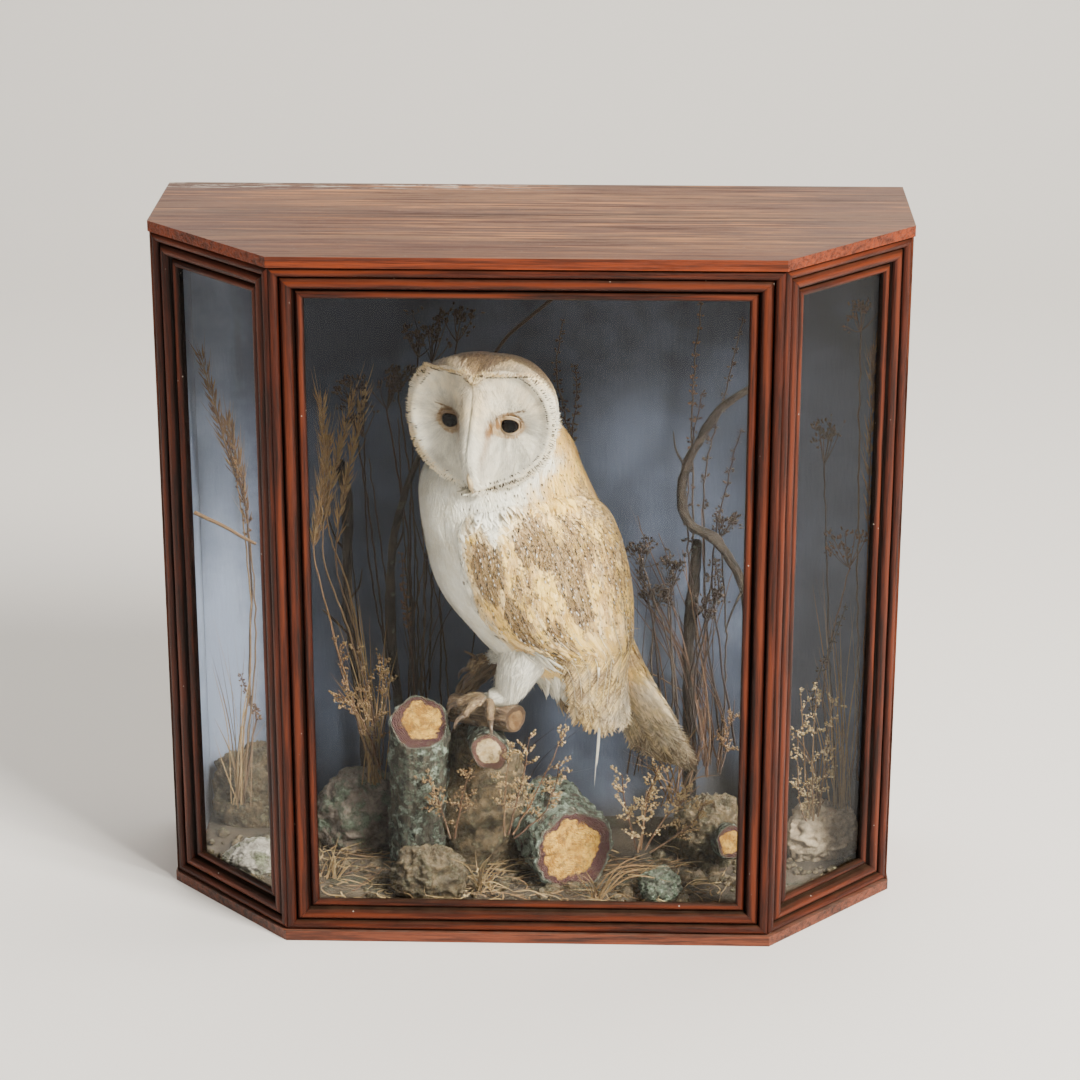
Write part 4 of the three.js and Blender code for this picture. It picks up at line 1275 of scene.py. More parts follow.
def wing_surface(side, face=1):
    """A wing's outer (face 1) or inner (face -1) side: z down it, across from -1 (front) to 1."""

    def at(z, across):
        run = (WING_TOP - z) / (WING_TOP - WING_TIP)
        ends = round_ends(run, 0.04)
        clear = ease(run, -0.02, 0.16)
        front, back = np.radians(wing_front(z)), np.radians(wing_back(z))
        angle = (front + back) / 2 + (back - front) / 2 * ends * across
        depth = WING_THICKNESS / 2 * (1 - 0.5 * run) * ends * np.sqrt(np.maximum(1 - across**2, 0))
        middle = on_body(z, side * angle, 1 + WING_STAND * clear)
        return middle + column(face * depth * (0.15 + 0.85 * clear)) * body_out(z, side * angle)

    return at


print("wings", WING_TOP - WING_TIP, "mm from shoulder to tip")


# %% Tail
TAIL_TURN = math.radians(52)
tail_x = through((0, 50), (1 / 3, 61), (2 / 3, 80), (1, 92))
tail_y = through((0, 16), (1 / 3, 20), (2 / 3, 25), (1, 28))
tail_z = through((0, 186), (1 / 3, 150), (2 / 3, 110), (1, 75))
tail_wide = through((0, 15), (0.35, 23), (0.7, 29), (1, 28))
tail_thick = through((0, 20), (0.35, 15), (0.7, 9), (1, 5))
TAIL_ACROSS = np.array([math.sin(TAIL_TURN), -math.cos(TAIL_TURN), 0])
TAIL_DOWN = unit(np.array([42.0, 12, -111]))
TAIL_THICK = unit(np.cross(TAIL_ACROSS, TAIL_DOWN))


def tail_axis(run):
    return np.stack([tail_x(run), tail_y(run), tail_z(run)], -1)


def tail_surface(face):
    """The tail's upper (face 1) or under side: run down it, across from -1 to 1."""

    def at(run, across):
        ends = round_ends(np.clip(run, 0, 1), 0.1)
        flat = np.sign(across) * np.abs(across) ** 0.7
        half = tail_thick(run) / 2 * ends * np.sqrt(np.maximum(1 - across**2, 0))
        return tail_axis(run) + column(
            tail_wide(run) * flat * ends
        ) * TAIL_ACROSS + column(face * half) * TAIL_THICK

    return at


print("tail", round(float(np.linalg.norm(tail_axis(1.0) - tail_axis(0.0)))), "mm long")


# %% Legs
LEFT_THIGH = [(4, -14, 190, 18), (-6, -14, 168, 16), (-13, -14, 150, 9.5), (-17, -14, 139, 5.5)]
RIGHT_THIGH = [(0, 22, 190, 17), (-8, 24, 168, 15), (-15, 24, 156, 9.5), (-19, 24, 149, 5.5)]
LEFT_SHANK = [(-13, -14, 146, 7), (-20, -15, 144, 6.5), (-28, -15, 142, 5)]
RIGHT_SHANK = [(-16, 24, 156, 6.5), (-22, 23, 158, 6), (-29, 21, 156, 5)]
LEFT_ANKLE, RIGHT_ANKLE = (-28, -15, 141), (-29, 21, 155)
LEFT_TOES = [(-22, 8, 13), (-17, -9, 16), (2, -17, 16)]
RIGHT_TOES = [(-15, 3, 15), (-12, -9, 15), (4, 11, 12)]


def rod(stations, end_share=0.12):
    """A tapering rod through (x, y, z, radius) points: run along it, turn round it."""
    steps = np.linspace(0, 1, len(stations))
    x, y, z, r = (through(*zip(steps, values)) for values in zip(*stations))

    def axis(run):
        return np.stack([x(run), y(run), z(run)], -1)

    def at(run, turn):
        heading = unit(axis(np.minimum(run + 0.01, 1)) - axis(np.maximum(run - 0.01, 0)))
        side = unit(np.cross([0, 1.0, 0], heading))
        over = np.cross(heading, side)
        reach = r(run) * round_ends(run, end_share)
        return axis(run) + column(reach * np.cos(turn)) * side + column(reach * np.sin(turn)) * over

    return at, axis


def toe_stations(ankle, reach):
    (x, y, z), (dx, dy, drop) = ankle, reach
    return [
        (x, y, z, 4),
        (x + 0.55 * dx, y + 0.55 * dy, z + 2 - 0.2 * drop, 3.4),
        (x + dx, y + dy, z - 0.55 * drop, 2.6),
    ]


print("toes:", len(LEFT_TOES), "on the left foot and", len(RIGHT_TOES), "on the right")


# %% Head
ruff_reach = through((0, 31), (33, 46), (60, 50), (90, 50.5), (118, 49), (149, 45), (180, 45))
skull_reach = through((0, 43), (40, 46.5), (90, 48), (130, 45), (180, 43))
ridge_height = through(
    (34, 6), (22, 8), (10, 12), (0, 17), (-13, 21.5), (-26, 20), (-36, 14), (-46, 4)
)
ridge_width = through((34, 20), (20, 16), (10, 13), (0, 11), (-20, 9.5), (-36, 6), (-46, 4.5))


def in_head(u, v, w):
    return HEAD_PLACE + column(u) * FACE_SIDE + column(v) * UP + column(w) * FACE_OUT


def face_reach(u, v):
    """0 in the middle of the face, 1 at the ruff's edge."""
    return np.hypot(u, v) / ruff_reach(np.degrees(np.abs(np.arctan2(u, v))))


def relief(u, v):
    rim = -9 * (u / 49) ** 2
    dish = -3.2 * np.exp(-(((np.abs(u) - 24) / 15) ** 2) - ((v + 2) / 22) ** 2)
    lift = 2.4 * np.exp(-(((face_reach(u, v) - 0.93) / 0.09) ** 2))
    return rim + dish + lift + ridge_height(v) * np.exp(-(np.abs(u / ridge_width(v)) ** 2.4))


def face(u, v):
    return in_head(u, v, relief(u, v))


def skull(back, turn):
    """The head behind the ruff: back 0 at the ruff, 1 at the pole, turn 0 at the crown."""
    degrees = np.degrees(np.abs(np.arctan2(np.sin(turn), np.cos(turn))))
    ruff = ruff_reach(degrees)
    swing = np.clip(back, 0, 1) * math.pi / 2
    outline = blend(ruff, skull_reach(degrees), ease(back, 0, 0.3))
    reach = outline * np.cos(swing) ** 0.62
    rim = relief(ruff * np.sin(turn), ruff * np.cos(turn))
    depth = blend(rim, -HEAD_BACK, np.sin(swing) ** 1.3)
    return in_head(reach * np.sin(turn), reach * np.cos(turn), depth)


print(
    "head is", round(float(face(np.array(0.0), np.array(31.0))[2] - in_head(0.0, -45.0, 0.0)[2])),
    "mm high"
)

# %% [markdown]
# ## Where the colours go
# A barn owl is white below and on the face, golden buff above, with a veil of finely mottled grey
# over the buff. One function of place says how buff and how grey each spot is, and paints some
# shade too: round the eye on the face's shaded side and on the lower tail. Skin and coat both
# use it, so a gap between feathers shows the same marking.


# %% Markings by place
# (angle round the body in degrees, height, half width, half height, how grey) of the wing's grey patches
WING_PATCHES = [
    (50, 250, 9, 24, 1.0), (58, 214, 8, 15, 0.95), (72, 236, 8, 12, 0.55), (88, 268, 12, 17, 0.95),
    (104, 238, 11, 22, 0.9), (84, 205, 9, 13, 0.7), (120, 262, 10, 20, 0.7),
    (140, 240, 12, 30, 0.6), (70, 180, 10, 14, 0.45),
]


def markings(points):
    """(buff, grey, stain), each from 0 to 1, for points on the bird in millimetres."""
    away = points - HEAD_PLACE
    u, v, w = away @ FACE_SIDE, points[:, 2] - HEAD_PLACE[2], away @ FACE_OUT
    z = points[:, 2]
    from_axis = points - body_axis(z)
    angle = np.degrees(np.abs(np.arctan2(from_axis @ LEFT_SIDE, from_axis @ FORWARD)))
    drawn = np.stack([angle, 0.38 * z + 0.25 * angle, 0 * z], -1)
    lumps = rough(drawn, 15, 3, 5)
    streaks = rough(drawn * [1, 0.5, 1], 4.5, 2, 9)

    reach = face_reach(u, v)
    on_head = ease(z, 294, 310)
    way = np.arctan2(u, v)
    ruff = ruff_reach(np.degrees(np.abs(way)))
    drop = relief(ruff * np.sin(way), ruff * np.cos(way)) - w
    behind = ease(drop, 1.6, 3.4)
    crown = behind * ease(v - 0.05 * u + 4 * streaks, 0, 18)
    nape = behind * ease(-w + 6 * streaks, 30, 50) * ease(angle, 92, 124)
    head_buff = np.maximum(0.72 * crown, nape) * on_head
    head_grey = crown * (1.0 - 0.18 * ease(u, 14, 40)) * (
        0.60 + 0.40 * ease(v + 8 * lumps, 14, 32)
    ) * on_head

    mantle_top = 279 + 0.55 * np.maximum(angle - 60, 0)
    below_neck = ease(mantle_top - z + 6 * streaks + 5 * lumps, -7, 12)
    side_tint = 0.26 * ease(angle + 9 * streaks, 66, 90) * ease(z, 316, 288)
    neck_buff = np.maximum(
        0.85 * ease(angle + 10 * streaks + 6 * lumps, 106, 136), side_tint
    ) * (1 - on_head)
    low = ease(z, 196, 150)
    wing = ease(angle + 4 * streaks, 34, 41) * below_neck
    grey_patch = 0
    for at_angle, at_z, wide, high, strong in WING_PATCHES:
        near = np.hypot((angle - at_angle) / wide, (z - at_z) / high)
        grey_patch = np.maximum(
            grey_patch, strong * ease(near + 0.45 * lumps + 0.2 * streaks, 1.25, 0.8)
        )
    wing_buff = wing * (0.97 - 0.22 * low + 0.12 * lumps)
    pale_streak = ease(streaks + 0.4 * lumps, 0.25, 0.6) * ease(grey_patch, 0.5, 0.1)
    wing_buff = wing_buff * (1 - 0.25 * pale_streak)
    wing_grey = wing * np.clip(grey_patch + 0.06 + low * (0.30 + 0.25 * lumps), 0, 1)

    down_tail = (points - tail_axis(np.zeros(1))) @ TAIL_DOWN
    on_tail = ease(down_tail, 30, 52) * ease(points[:, 0], 44, 60)
    buff = np.maximum(np.maximum(wing_buff, neck_buff), head_buff)
    buff = blend(buff, 0.5 + 0.15 * lumps, on_tail)
    mantle_grey = 0.55 * ease(angle, 104, 128) * ease(
        lumps + 0.5 * streaks, -0.3, 0.5
    ) * ease(z, 318, 300) * (1 - on_head)
    grey = np.maximum(np.maximum(wing_grey, mantle_grey), head_grey)
    # greyer down the tail: partly its own mottling, partly painted shade on its lower end
    grey = blend(grey, 0.14 + 0.50 * ease(down_tail, 76, 124), on_tail)

    in_front = ease(w, -16, -9) * (reach < 1.02) * (z > 296)
    eye_side = np.abs(u) - EYE_SPREAD / 2
    low_v = v + EYE_DROP
    ring = np.hypot(eye_side / 6.9, low_v / 5.9)
    lid = ease(ring, 1.26, 1.04)
    inner = np.exp(-(((eye_side + 9.0) / 3.4) ** 2) - ((low_v - 1.0) / 4.6) ** 2)
    outer = 0.6 * np.exp(-(((eye_side - 8.6) / 2.6) ** 2) - ((low_v + 0.5) / 3.0) ** 2)
    run_down = 0.55 * np.exp(
        -(((np.abs(u) - 10.2 - 0.2 * v) / 1.8) ** 2)
    ) * ease(v, -32, -10) * ease(v, 4, -2)
    # painted shade round the eye on the side of the face away from the lamp (u below 0); it darkens the grey
    # and adds to the stain
    painted_eye_shade = 0.55 * np.exp(-(((eye_side + 1.0) / 7.5) ** 2) - ((low_v - 2.5) / 6.5) ** 2) * (u < 0)
    warm = 0.10 * np.exp(-(((u - 8) / 7.0) ** 2)) * ease(v, 16, -4)
    stain = in_front * np.clip(0.45 * lid + inner + outer + run_down + 0.4 * painted_eye_shade + warm, 0, 1)
    flecked = (u > -14) & (u < -1) & (v > -30) & (v < 30)
    line = np.exp(-(((u + 4.5 + 0.05 * v) / 1.1) ** 2)) * flecked * ease(streaks + lumps, 0.1, 0.5)
    around_eye = 0.16 * ease(ring, 2.6, 1.3)
    top_edge = ease(reach + 0.03 * streaks, 0.84, 0.93) * ease(v, 14, 27)
    forehead = np.exp(-((u / 9.0) ** 2)) * ease(v, -6, 20)
    cream = 0.10 + 0.10 * ease(v, -14, 22) + 0.22 * forehead + 0.30 * top_edge
    face_grey = in_front * np.clip(
        0.12 * lid + 0.6 * line + 0.85 * inner + 0.3 * outer + around_eye + painted_eye_shade, 0, 1
    )
    shade = 1 - in_front
    face_grey = face_grey + in_front * (0.30 * top_edge * (1 + lumps) + 0.10 * forehead)
    face_buff = in_front * np.clip(cream + 0.4 * lid, 0, 1)
    return np.stack(
        [np.clip(buff * shade + face_buff, 0, 1), np.clip(grey * shade + face_grey, 0, 1), stain],
        -1
    )


print(
    "mean markings on the left wing:",
    markings(wing_surface(1)(np.linspace(120, 280, 50), np.zeros(50))).mean(0).round(2)
)
# %% [markdown]
# ## Plumage as a finish
# The group turns the three markings into colour: white with a warm cast, golden buff, and over it
# grey-brown broken up by very fine mottling. Each vane also carries how far along and across itself
# a point lies, for its pale shaft and for the paired dark and white spots that owls have near
# the tips of some feathers.

# %% Group: plumage colour
plume_tree, plume_in, plume_out = group(
    "plumage",
    {
        "Buff": "number", "Grey": "number", "Stain": "number", "Spot": "number", "Along": "number",
        "Across": "number", "Random": "number"
    },
    {"Colour": "colour"},
)
point = place_of()
fine = cloud(point, 0.0016, 2, 0.7)
soft = cloud(point, 0.014, 2, 0.6)
white = mixed(span(soft, 0.3, 0.7), (0.77, 0.70, 0.55), (0.92, 0.875, 0.755))
white = mixed(span(fine, 0.35, 0.75, 0.0, 0.5), white, (0.965, 0.935, 0.85))
gold = mixed(span(soft, 0.3, 0.7), (0.58, 0.275, 0.032), (0.88, 0.55, 0.12))
gold = mixed(times(plume_in["Random"], 0.5), gold, (0.95, 0.69, 0.235))
mottle = span(fine, 0.36, 0.62)
grey = mixed(mottle, (0.056, 0.030, 0.015), (0.225, 0.134, 0.068))
grey = mixed(times(plume_in["Random"], 0.35), grey, (0.29, 0.175, 0.092))
buff_share = plus(plume_in["Buff"], span(soft, 0.25, 0.75, -0.16, 0.16))
buff_share = times(buff_share, span(plume_in["Buff"], 0.0, 0.2), clamp=True)
base = mixed(buff_share, white, gold)
wisp = plus(plume_in["Grey"], span(fine, 0.3, 0.7, -0.22, 0.22))
wisp = times(span(wisp, 0.2, 0.85), 0.88)
base = mixed(wisp, base, grey)
base = mixed(times(plume_in["Stain"], 0.85), base, (0.30, 0.135, 0.036))
middle = span(size_of(plume_in["Across"]), 0.50, 0.28)
dark_spot = times(span(plume_in["Along"], 0.66, 0.70), span(plume_in["Along"], 0.86, 0.82))
dark_spot = times(times(dark_spot, middle), plume_in["Spot"])
base = mixed(times(dark_spot, 0.93), base, (0.028, 0.018, 0.013))
pale_spot = times(span(plume_in["Along"], 0.84, 0.9), middle)
pale_spot = times(pale_spot, plume_in["Spot"])
base = mixed(times(pale_spot, 0.6), base, (0.76, 0.69, 0.56))
# a fleck is a small tuft of one tone: Spot over 1 is wholly dark, under 0 wholly pale
base = mixed(span(plume_in["Spot"], 1.2, 1.8), base, (0.038, 0.024, 0.016))
base = mixed(span(plume_in["Spot"], -0.2, -0.8), base, (0.86, 0.83, 0.77))
join(base, plume_out["Colour"])
print("group", plume_tree.name)


# %% Materials: coat and skin
def plumage_material(name, sheen, shaft, root_dark_and_shade=0.62):
    made, surface = material(
        name, Roughness=0.86, Specular_IOR_Level=0.18, Sheen_Weight=sheen, Sheen_Roughness=0.45
    )
    tone = parts_of(put("Attribute", attribute_name="tone").outputs["Vector"])
    vane = parts_of(put("Attribute", attribute_name="vane").outputs["Vector"])
    spot = put("Attribute", attribute_name="spot").outputs["Fac"]
    colour = use(
        plume_tree, Buff=tone[0], Grey=tone[1], Stain=tone[2], Spot=spot, Along=vane[0],
        Across=vane[1], Random=vane[2]
    )["Colour"]
    # darker towards each vane's root: a greyer base, and painted shade under the vanes that lie over it
    root = span(vane[0], 0.0, 0.55, root_dark_and_shade, 1.0)
    lit = put("CombineColor", {0: root, 1: root, 2: root}).outputs[0]
    colour = mixed(1.0, colour, lit, "MULTIPLY")
    if shaft:
        line = span(size_of(vane[1]), 0.16, 0.05, 0.0, shaft)
        colour = mixed(line, colour, (0.72, 0.58, 0.36))
    vary = span(vane[2], 0.0, 1.0, 0.68, 1.09)
    tint = put("CombineColor", {0: vary, 1: vary, 2: vary}).outputs[0]
    finish_with(surface, mixed(1.0, colour, tint, "MULTIPLY"))
    return made


soft_plumage = plumage_material("soft plumage", 0.12, 0.0, 0.74)
vane_plumage = plumage_material("vaned plumage", 0.04, 0.3)
skin_plumage = plumage_material("plumage skin", 0.2, 0.0)
print("made", soft_plumage.name, "and", vane_plumage.name)

# %% [markdown]
# ## The skin
# The smooth surfaces are drawn as grids a little inside the outline, joined with rings for the
# eyelids, and remeshed to one closed skin with no seam. The coat hides most of it. It shows as folds
# round the eyes and wherever the feathers part.


# %% Grids for the skin
def closed_grid(heap, at, runs, turns):
    """A closed body from a surface that runs pole to pole."""
    a, b = np.meshgrid(runs, turns, indexing="ij")
    points = at(a, b)
    heap.add(points, grid_faces(len(runs), len(turns), wrap=True))
    for row, flip in ((0, True), (len(runs) - 1, False)):
        ring = heap.count - a.size + row * len(turns)
        heap.add(points[row].mean(0))
        around = np.arange(len(turns))
        fan = np.stack(
            [ring + around, ring + (around + 1) % len(turns), np.full(len(turns), heap.count - 1)],
            -1
        )
        heap.faces.setdefault(3, []).append(fan[:, ::-1] if flip else fan)


def poles(count):
    return (1 - np.cos(np.linspace(0.02, math.pi - 0.02, count))) / 2


def head_ball(run, turn):
    """The whole head from the middle of the face (0) to the back (1)."""
    reach = np.minimum(run * 2, 1) * ruff_reach(
        np.degrees(np.abs(np.arctan2(np.sin(turn), np.cos(turn))))
    )
    front = face(reach * np.sin(turn), reach * np.cos(turn))
    back = skull(np.clip(run * 2 - 1, 0, 0.999), turn)
    return np.where(column(run <= 0.5), front, back)


SKIN_WING_END = 120


def closed_wing(side):
    """The wing's flesh and shafts: it stops short of the feathers' free ends."""
    outer, inner = wing_surface(side, 1), wing_surface(side, -1)

    def at(run, turn):
        z = blend(WING_TOP - 0.5, SKIN_WING_END, run)
        narrow = 1 - 0.75 * ease(z, 178, SKIN_WING_END)
        across = np.cos(turn) * narrow
        close = np.where(column(np.sin(turn) >= 0), outer(z, across), inner(z, across))
        middle = (outer(z, across) + inner(z, across)) / 2
        return middle + (close - middle) * column(np.abs(np.sin(turn)) * narrow + 0.02)

    return at


def closed_tail(run, turn):
    run = 0.02 + 0.96 * run
    return np.where(
        column(np.sin(turn) >= 0), tail_surface(1)(run, np.cos(turn)),
        tail_surface(-1)(run, np.cos(turn))
    )


skin_shape = Heap()
round_turns = full_turn(64)
closed_grid(skin_shape, head_ball, np.linspace(0.015, 0.985, 70), round_turns)
closed_grid(
    skin_shape, lambda run, turn: torso(
        blend(TORSO_TOP, TORSO_FOOT, run), turn
    ), poles(50), round_turns
)
for side in (1, -1):
    closed_grid(skin_shape, closed_wing(side), poles(60), round_turns)
closed_grid(skin_shape, closed_tail, poles(40), round_turns)
for stations in (LEFT_THIGH, RIGHT_THIGH, LEFT_SHANK, RIGHT_SHANK):
    closed_grid(skin_shape, rod(stations)[0], poles(24), round_turns[::2])
print("skin grids:", skin_shape.count, "points")


# %% Remesh to one skin, drawn in by the depth of the coat
def vertex_arrays(mesh):
    points, normals = np.empty(
        len(mesh.vertices) * 3, np.float32
    ), np.empty(len(mesh.vertices) * 3, np.float32)
    mesh.vertices.foreach_get("co", points)
    mesh.vertices.foreach_get("normal", normals)
    return points.reshape(-1, 3).astype(float) / MM, normals.reshape(-1, 3).astype(float)


def baked(target):
    """Applies an object's modifiers to its mesh."""
    graph = bpy.context.evaluated_depsgraph_get()
    done = bpy.data.meshes.new_from_object(target.evaluated_get(graph))
    target.modifiers.clear()
    old = target.data
    target.data = done
    bpy.data.meshes.remove(old)


def remesh(target, voxel):
    cells = target.modifiers.new("cells", "REMESH")
    cells.mode = "VOXEL"
    cells.voxel_size = voxel * MM
    cells.use_smooth_shade = True
    baked(target)


def relax(target, rounds, factor=0.5):
    smoothing = target.modifiers.new("relax", "SMOOTH")
    smoothing.factor = factor
    smoothing.iterations = rounds
    baked(target)


COAT_DEPTH, FACE_DEPTH = 3.0, 1.9
skin = skin_shape.piece("skin", skin_plumage, "white_feather")
remesh(skin, 1.5)
relax(skin, 3)
points, normals = vertex_arrays(skin.data)
depth_in_face = (points - HEAD_PLACE) @ FACE_OUT
drawn_in = blend(
    COAT_DEPTH, FACE_DEPTH, ease(depth_in_face, -22, -10) * ease(points[:, 2], 294, 306)
)
points -= normals * drawn_in[:, None]
skin.data.vertices.foreach_set("co", (points * MM).astype(np.float32).ravel())
skin.data.update()
print("skin has", len(skin.data.polygons), "faces")
# %% [markdown]
# ## Eyelids, eyes and bill
# The lids are low rings that hug each eye, a little flatter above. They are joined to the skin by
# a boolean union, so they rise out of it without a seam. The eye is a dark glass ball with a
# slight bulge at the front.

# %% Lids joined to the skin
LID_WIDE, LID_HIGH = 6.3, 5.3
LID_STEPS, LID_SIDES = 56, 12


def eye_centre(side):
    return in_head(side * EYE_SPREAD / 2, -EYE_DROP, -EYE_SINK)


def eye_gaze(side):
    return unit(FACE_OUT + 0.10 * side * FACE_SIDE)


def lid_ring(heap, side, radius, swell):
    gaze, centre = eye_gaze(side), eye_centre(side)
    right = unit(np.cross(gaze, UP))
    over = np.cross(right, gaze)
    turn, around = np.meshgrid(full_turn(LID_STEPS), full_turn(LID_SIDES), indexing="ij")
    wide, high = LID_WIDE + swell, LID_HIGH + swell - 0.5 * (np.sin(turn) > 0) * np.sin(turn)
    outward = column(np.cos(turn) * wide) * right + column(np.sin(turn) * high) * over
    spread = np.linalg.norm(outward, axis=-1)
    lift = np.sqrt(np.maximum((EYE_RADIUS + 0.25) ** 2 - spread**2, 4.0))
    ring = centre + outward + column(lift) * gaze
    away = unit(ring - centre)
    edge = unit(np.cross(away, unit(np.cross(gaze, outward))))
    points = ring + column(radius * np.cos(around)) * away + column(
        radius * 1.25 * np.sin(around)
    ) * edge
    # the last ring's quads close on the first ring
    heap.add(points, grid_faces(LID_STEPS + 1, LID_SIDES, wrap=True) % (LID_STEPS * LID_SIDES))


lids = Heap()
for side in (1, -1):
    lid_ring(lids, side, 0.36, 0.1)
    lid_ring(lids, side, 0.55, 1.0)
lid_piece = lids.piece("lids", skin_plumage, "white_feather")
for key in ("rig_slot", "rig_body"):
    if key in lid_piece:
        del lid_piece[key]
lid_piece.parent = None
fitting = skin.modifiers.new("lids", "BOOLEAN")
fitting.operation = "UNION"
fitting.solver = "FAST"
fitting.object = lid_piece
baked(skin)
bpy.data.objects.remove(lid_piece)
print("skin with lids:", len(skin.data.polygons), "faces")

# %% The finished skin's markings
points, normals = vertex_arrays(skin.data)
# the skin's vane values sit in the darker root band and the darker end of the random tone: painted shade
# where it shows between the feathers
for key, array in {
    "tone": markings(points),
    "vane": np.tile([0.3, 0.5, 0.25], (len(points), 1)),
}.items():
    layer = skin.data.attributes.new(key, "FLOAT_VECTOR", "POINT")
    layer.data.foreach_set("vector", array.astype(np.float32).ravel())
skin.data.polygons.foreach_set("use_smooth", np.full(len(skin.data.polygons), True))
FLESH = ["head", "neck", "trunk", "wing_left", "wing_right", "tail", "leg_left", "leg_right"]
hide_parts(*FLESH)
print("skin stands for", len(FLESH), "nodes")

# %% Eyes
eye_glass, surface = material("dark eye glass", Roughness=0.03, IOR=1.12)
radial = put("Attribute", attribute_name="from_middle").outputs["Fac"]
iris = cloud(place_of(), 0.0011, 3, 0.6)
brown = mixed(iris, (0.0022, 0.0014, 0.0010), (0.006, 0.003, 0.002))
finish_with(surface, mixed(span(radial, 0.5, 0.62), (0.0012, 0.001, 0.001), brown))
for name, side in (("eye_left", 1), ("eye_right", -1)):
    ball = Heap()
    gaze, centre = eye_gaze(side), eye_centre(side)
    right = unit(np.cross(gaze, UP))
    over = np.cross(right, gaze)

    def eyeball(run, turn):
        polar = run * math.pi
        bulge = EYE_RADIUS * (1 + 0.045 * np.exp(-((polar / 0.55) ** 2)))
        return (
            centre
            + column(bulge * np.cos(polar)) * gaze
            + column(bulge * np.sin(polar) * np.cos(turn)) * right
            + column(bulge * np.sin(polar) * np.sin(turn)) * over
        )

    closed_grid(ball, eyeball, np.linspace(0.02, 0.98, 40), full_turn(56))
    away = np.concatenate(ball.points) - centre
    ball.values["from_middle"] = [np.arccos(np.clip(unit(away) @ gaze, -1, 1))]
    made = ball.piece(name + "_glass", eye_glass, "eye")
    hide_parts(name)
print("eyes are", round(2 * EYE_RADIUS, 1), "mm across, with", round(2 * LID_WIDE, 1), "mm showing")

# %% [markdown]
# The bill is long, narrow and hooked, pale horn, and mostly hidden in the bristles of the ridge.
# Its soft base carries the nostrils, and a groove runs between the two halves.

# %% Bill
horn, surface = material("pale horn", Roughness=0.38, Specular_IOR_Level=0.5, Coat_Weight=0.15)
point = place_of()
lines = cloud(stretched(point, (1, 1, 0.2)), 0.0022, 4, 0.6)
pale = mixed(span(lines, 0.3, 0.7), (0.30, 0.20, 0.10), (0.52, 0.40, 0.23))
tip = span(parts_of(point)[2], 0.310, 0.302)
pale = mixed(times(tip, 0.5), pale, (0.20, 0.14, 0.08))
finish_with(surface, pale, span(lines, 0.3, 0.7, 0.3, 0.5), lines, 0.0002)

BILL = [
    (-16, 11.5, 3.2), (-24, 14.8, 3.4), (-31, 16.0, 3.0), (-37, 14.6, 2.5), (-42, 11.2, 1.7),
    (-46.6, 6.4, 0.4)
]
bill_steps = np.linspace(0, 1, len(BILL))
bill_v, bill_w, bill_r = (through(*zip(bill_steps, values)) for values in zip(*BILL))


def upper_bill(run, turn):
    thick = bill_r(run) * round_ends(np.minimum(run, 0.5), 0.06)
    tangent = np.stack([bill_v(np.minimum(run + 0.02, 1)) - bill_v(np.maximum(run - 0.02, 0)),
                        bill_w(np.minimum(run + 0.02, 1)) - bill_w(np.maximum(run - 0.02, 0))], -1)
    tangent = tangent / np.linalg.norm(tangent, axis=-1, keepdims=True)
    nostril = 0.7 * np.exp(-(((run - 0.3) / 0.06) ** 2)) * np.exp(
        -(((np.abs(np.sin(turn)) - 0.9) / 0.18) ** 2)
    )
    side = np.sin(turn) * thick * 0.78 * (1 - 0.25 * np.cos(turn)) - np.sign(np.sin(turn)) * nostril
    front = np.cos(turn) * thick
    return in_head(
        side, bill_v(run) + front * tangent[..., 1], bill_w(run) - front * tangent[..., 0]
    )


def lower_bill(run, turn):
    v, w = -22 - 18 * run, 10.2 - 5.0 * run**1.4
    thick = 2.9 * (1 - run**2 * 0.85) * round_ends(np.minimum(run, 0.5), 0.06)
    return in_head(np.sin(turn) * thick * 0.85, v + 0 * turn, w + np.cos(turn) * thick * 0.8)


bill_heap = Heap()
bill_turns = full_turn(28)
closed_grid(bill_heap, upper_bill, np.linspace(0.01, 0.99, 34), bill_turns)
closed_grid(bill_heap, lower_bill, np.linspace(0.01, 0.99, 16), bill_turns)
bill_piece = bill_heap.piece("bill_horn", horn, "horn")
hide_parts("bill")
print("bill:", bill_heap.count, "points")
# %% [markdown]
# ## How a feather is laid
# A tuft starts in the skin, rises through the coat and ends near its outside. It follows the surface
# it grows from: at each step along it the surface is worked out again, with its normal, so feathers
# bend round the body and never stand off it. All tufts of a region are made at once with arrays.


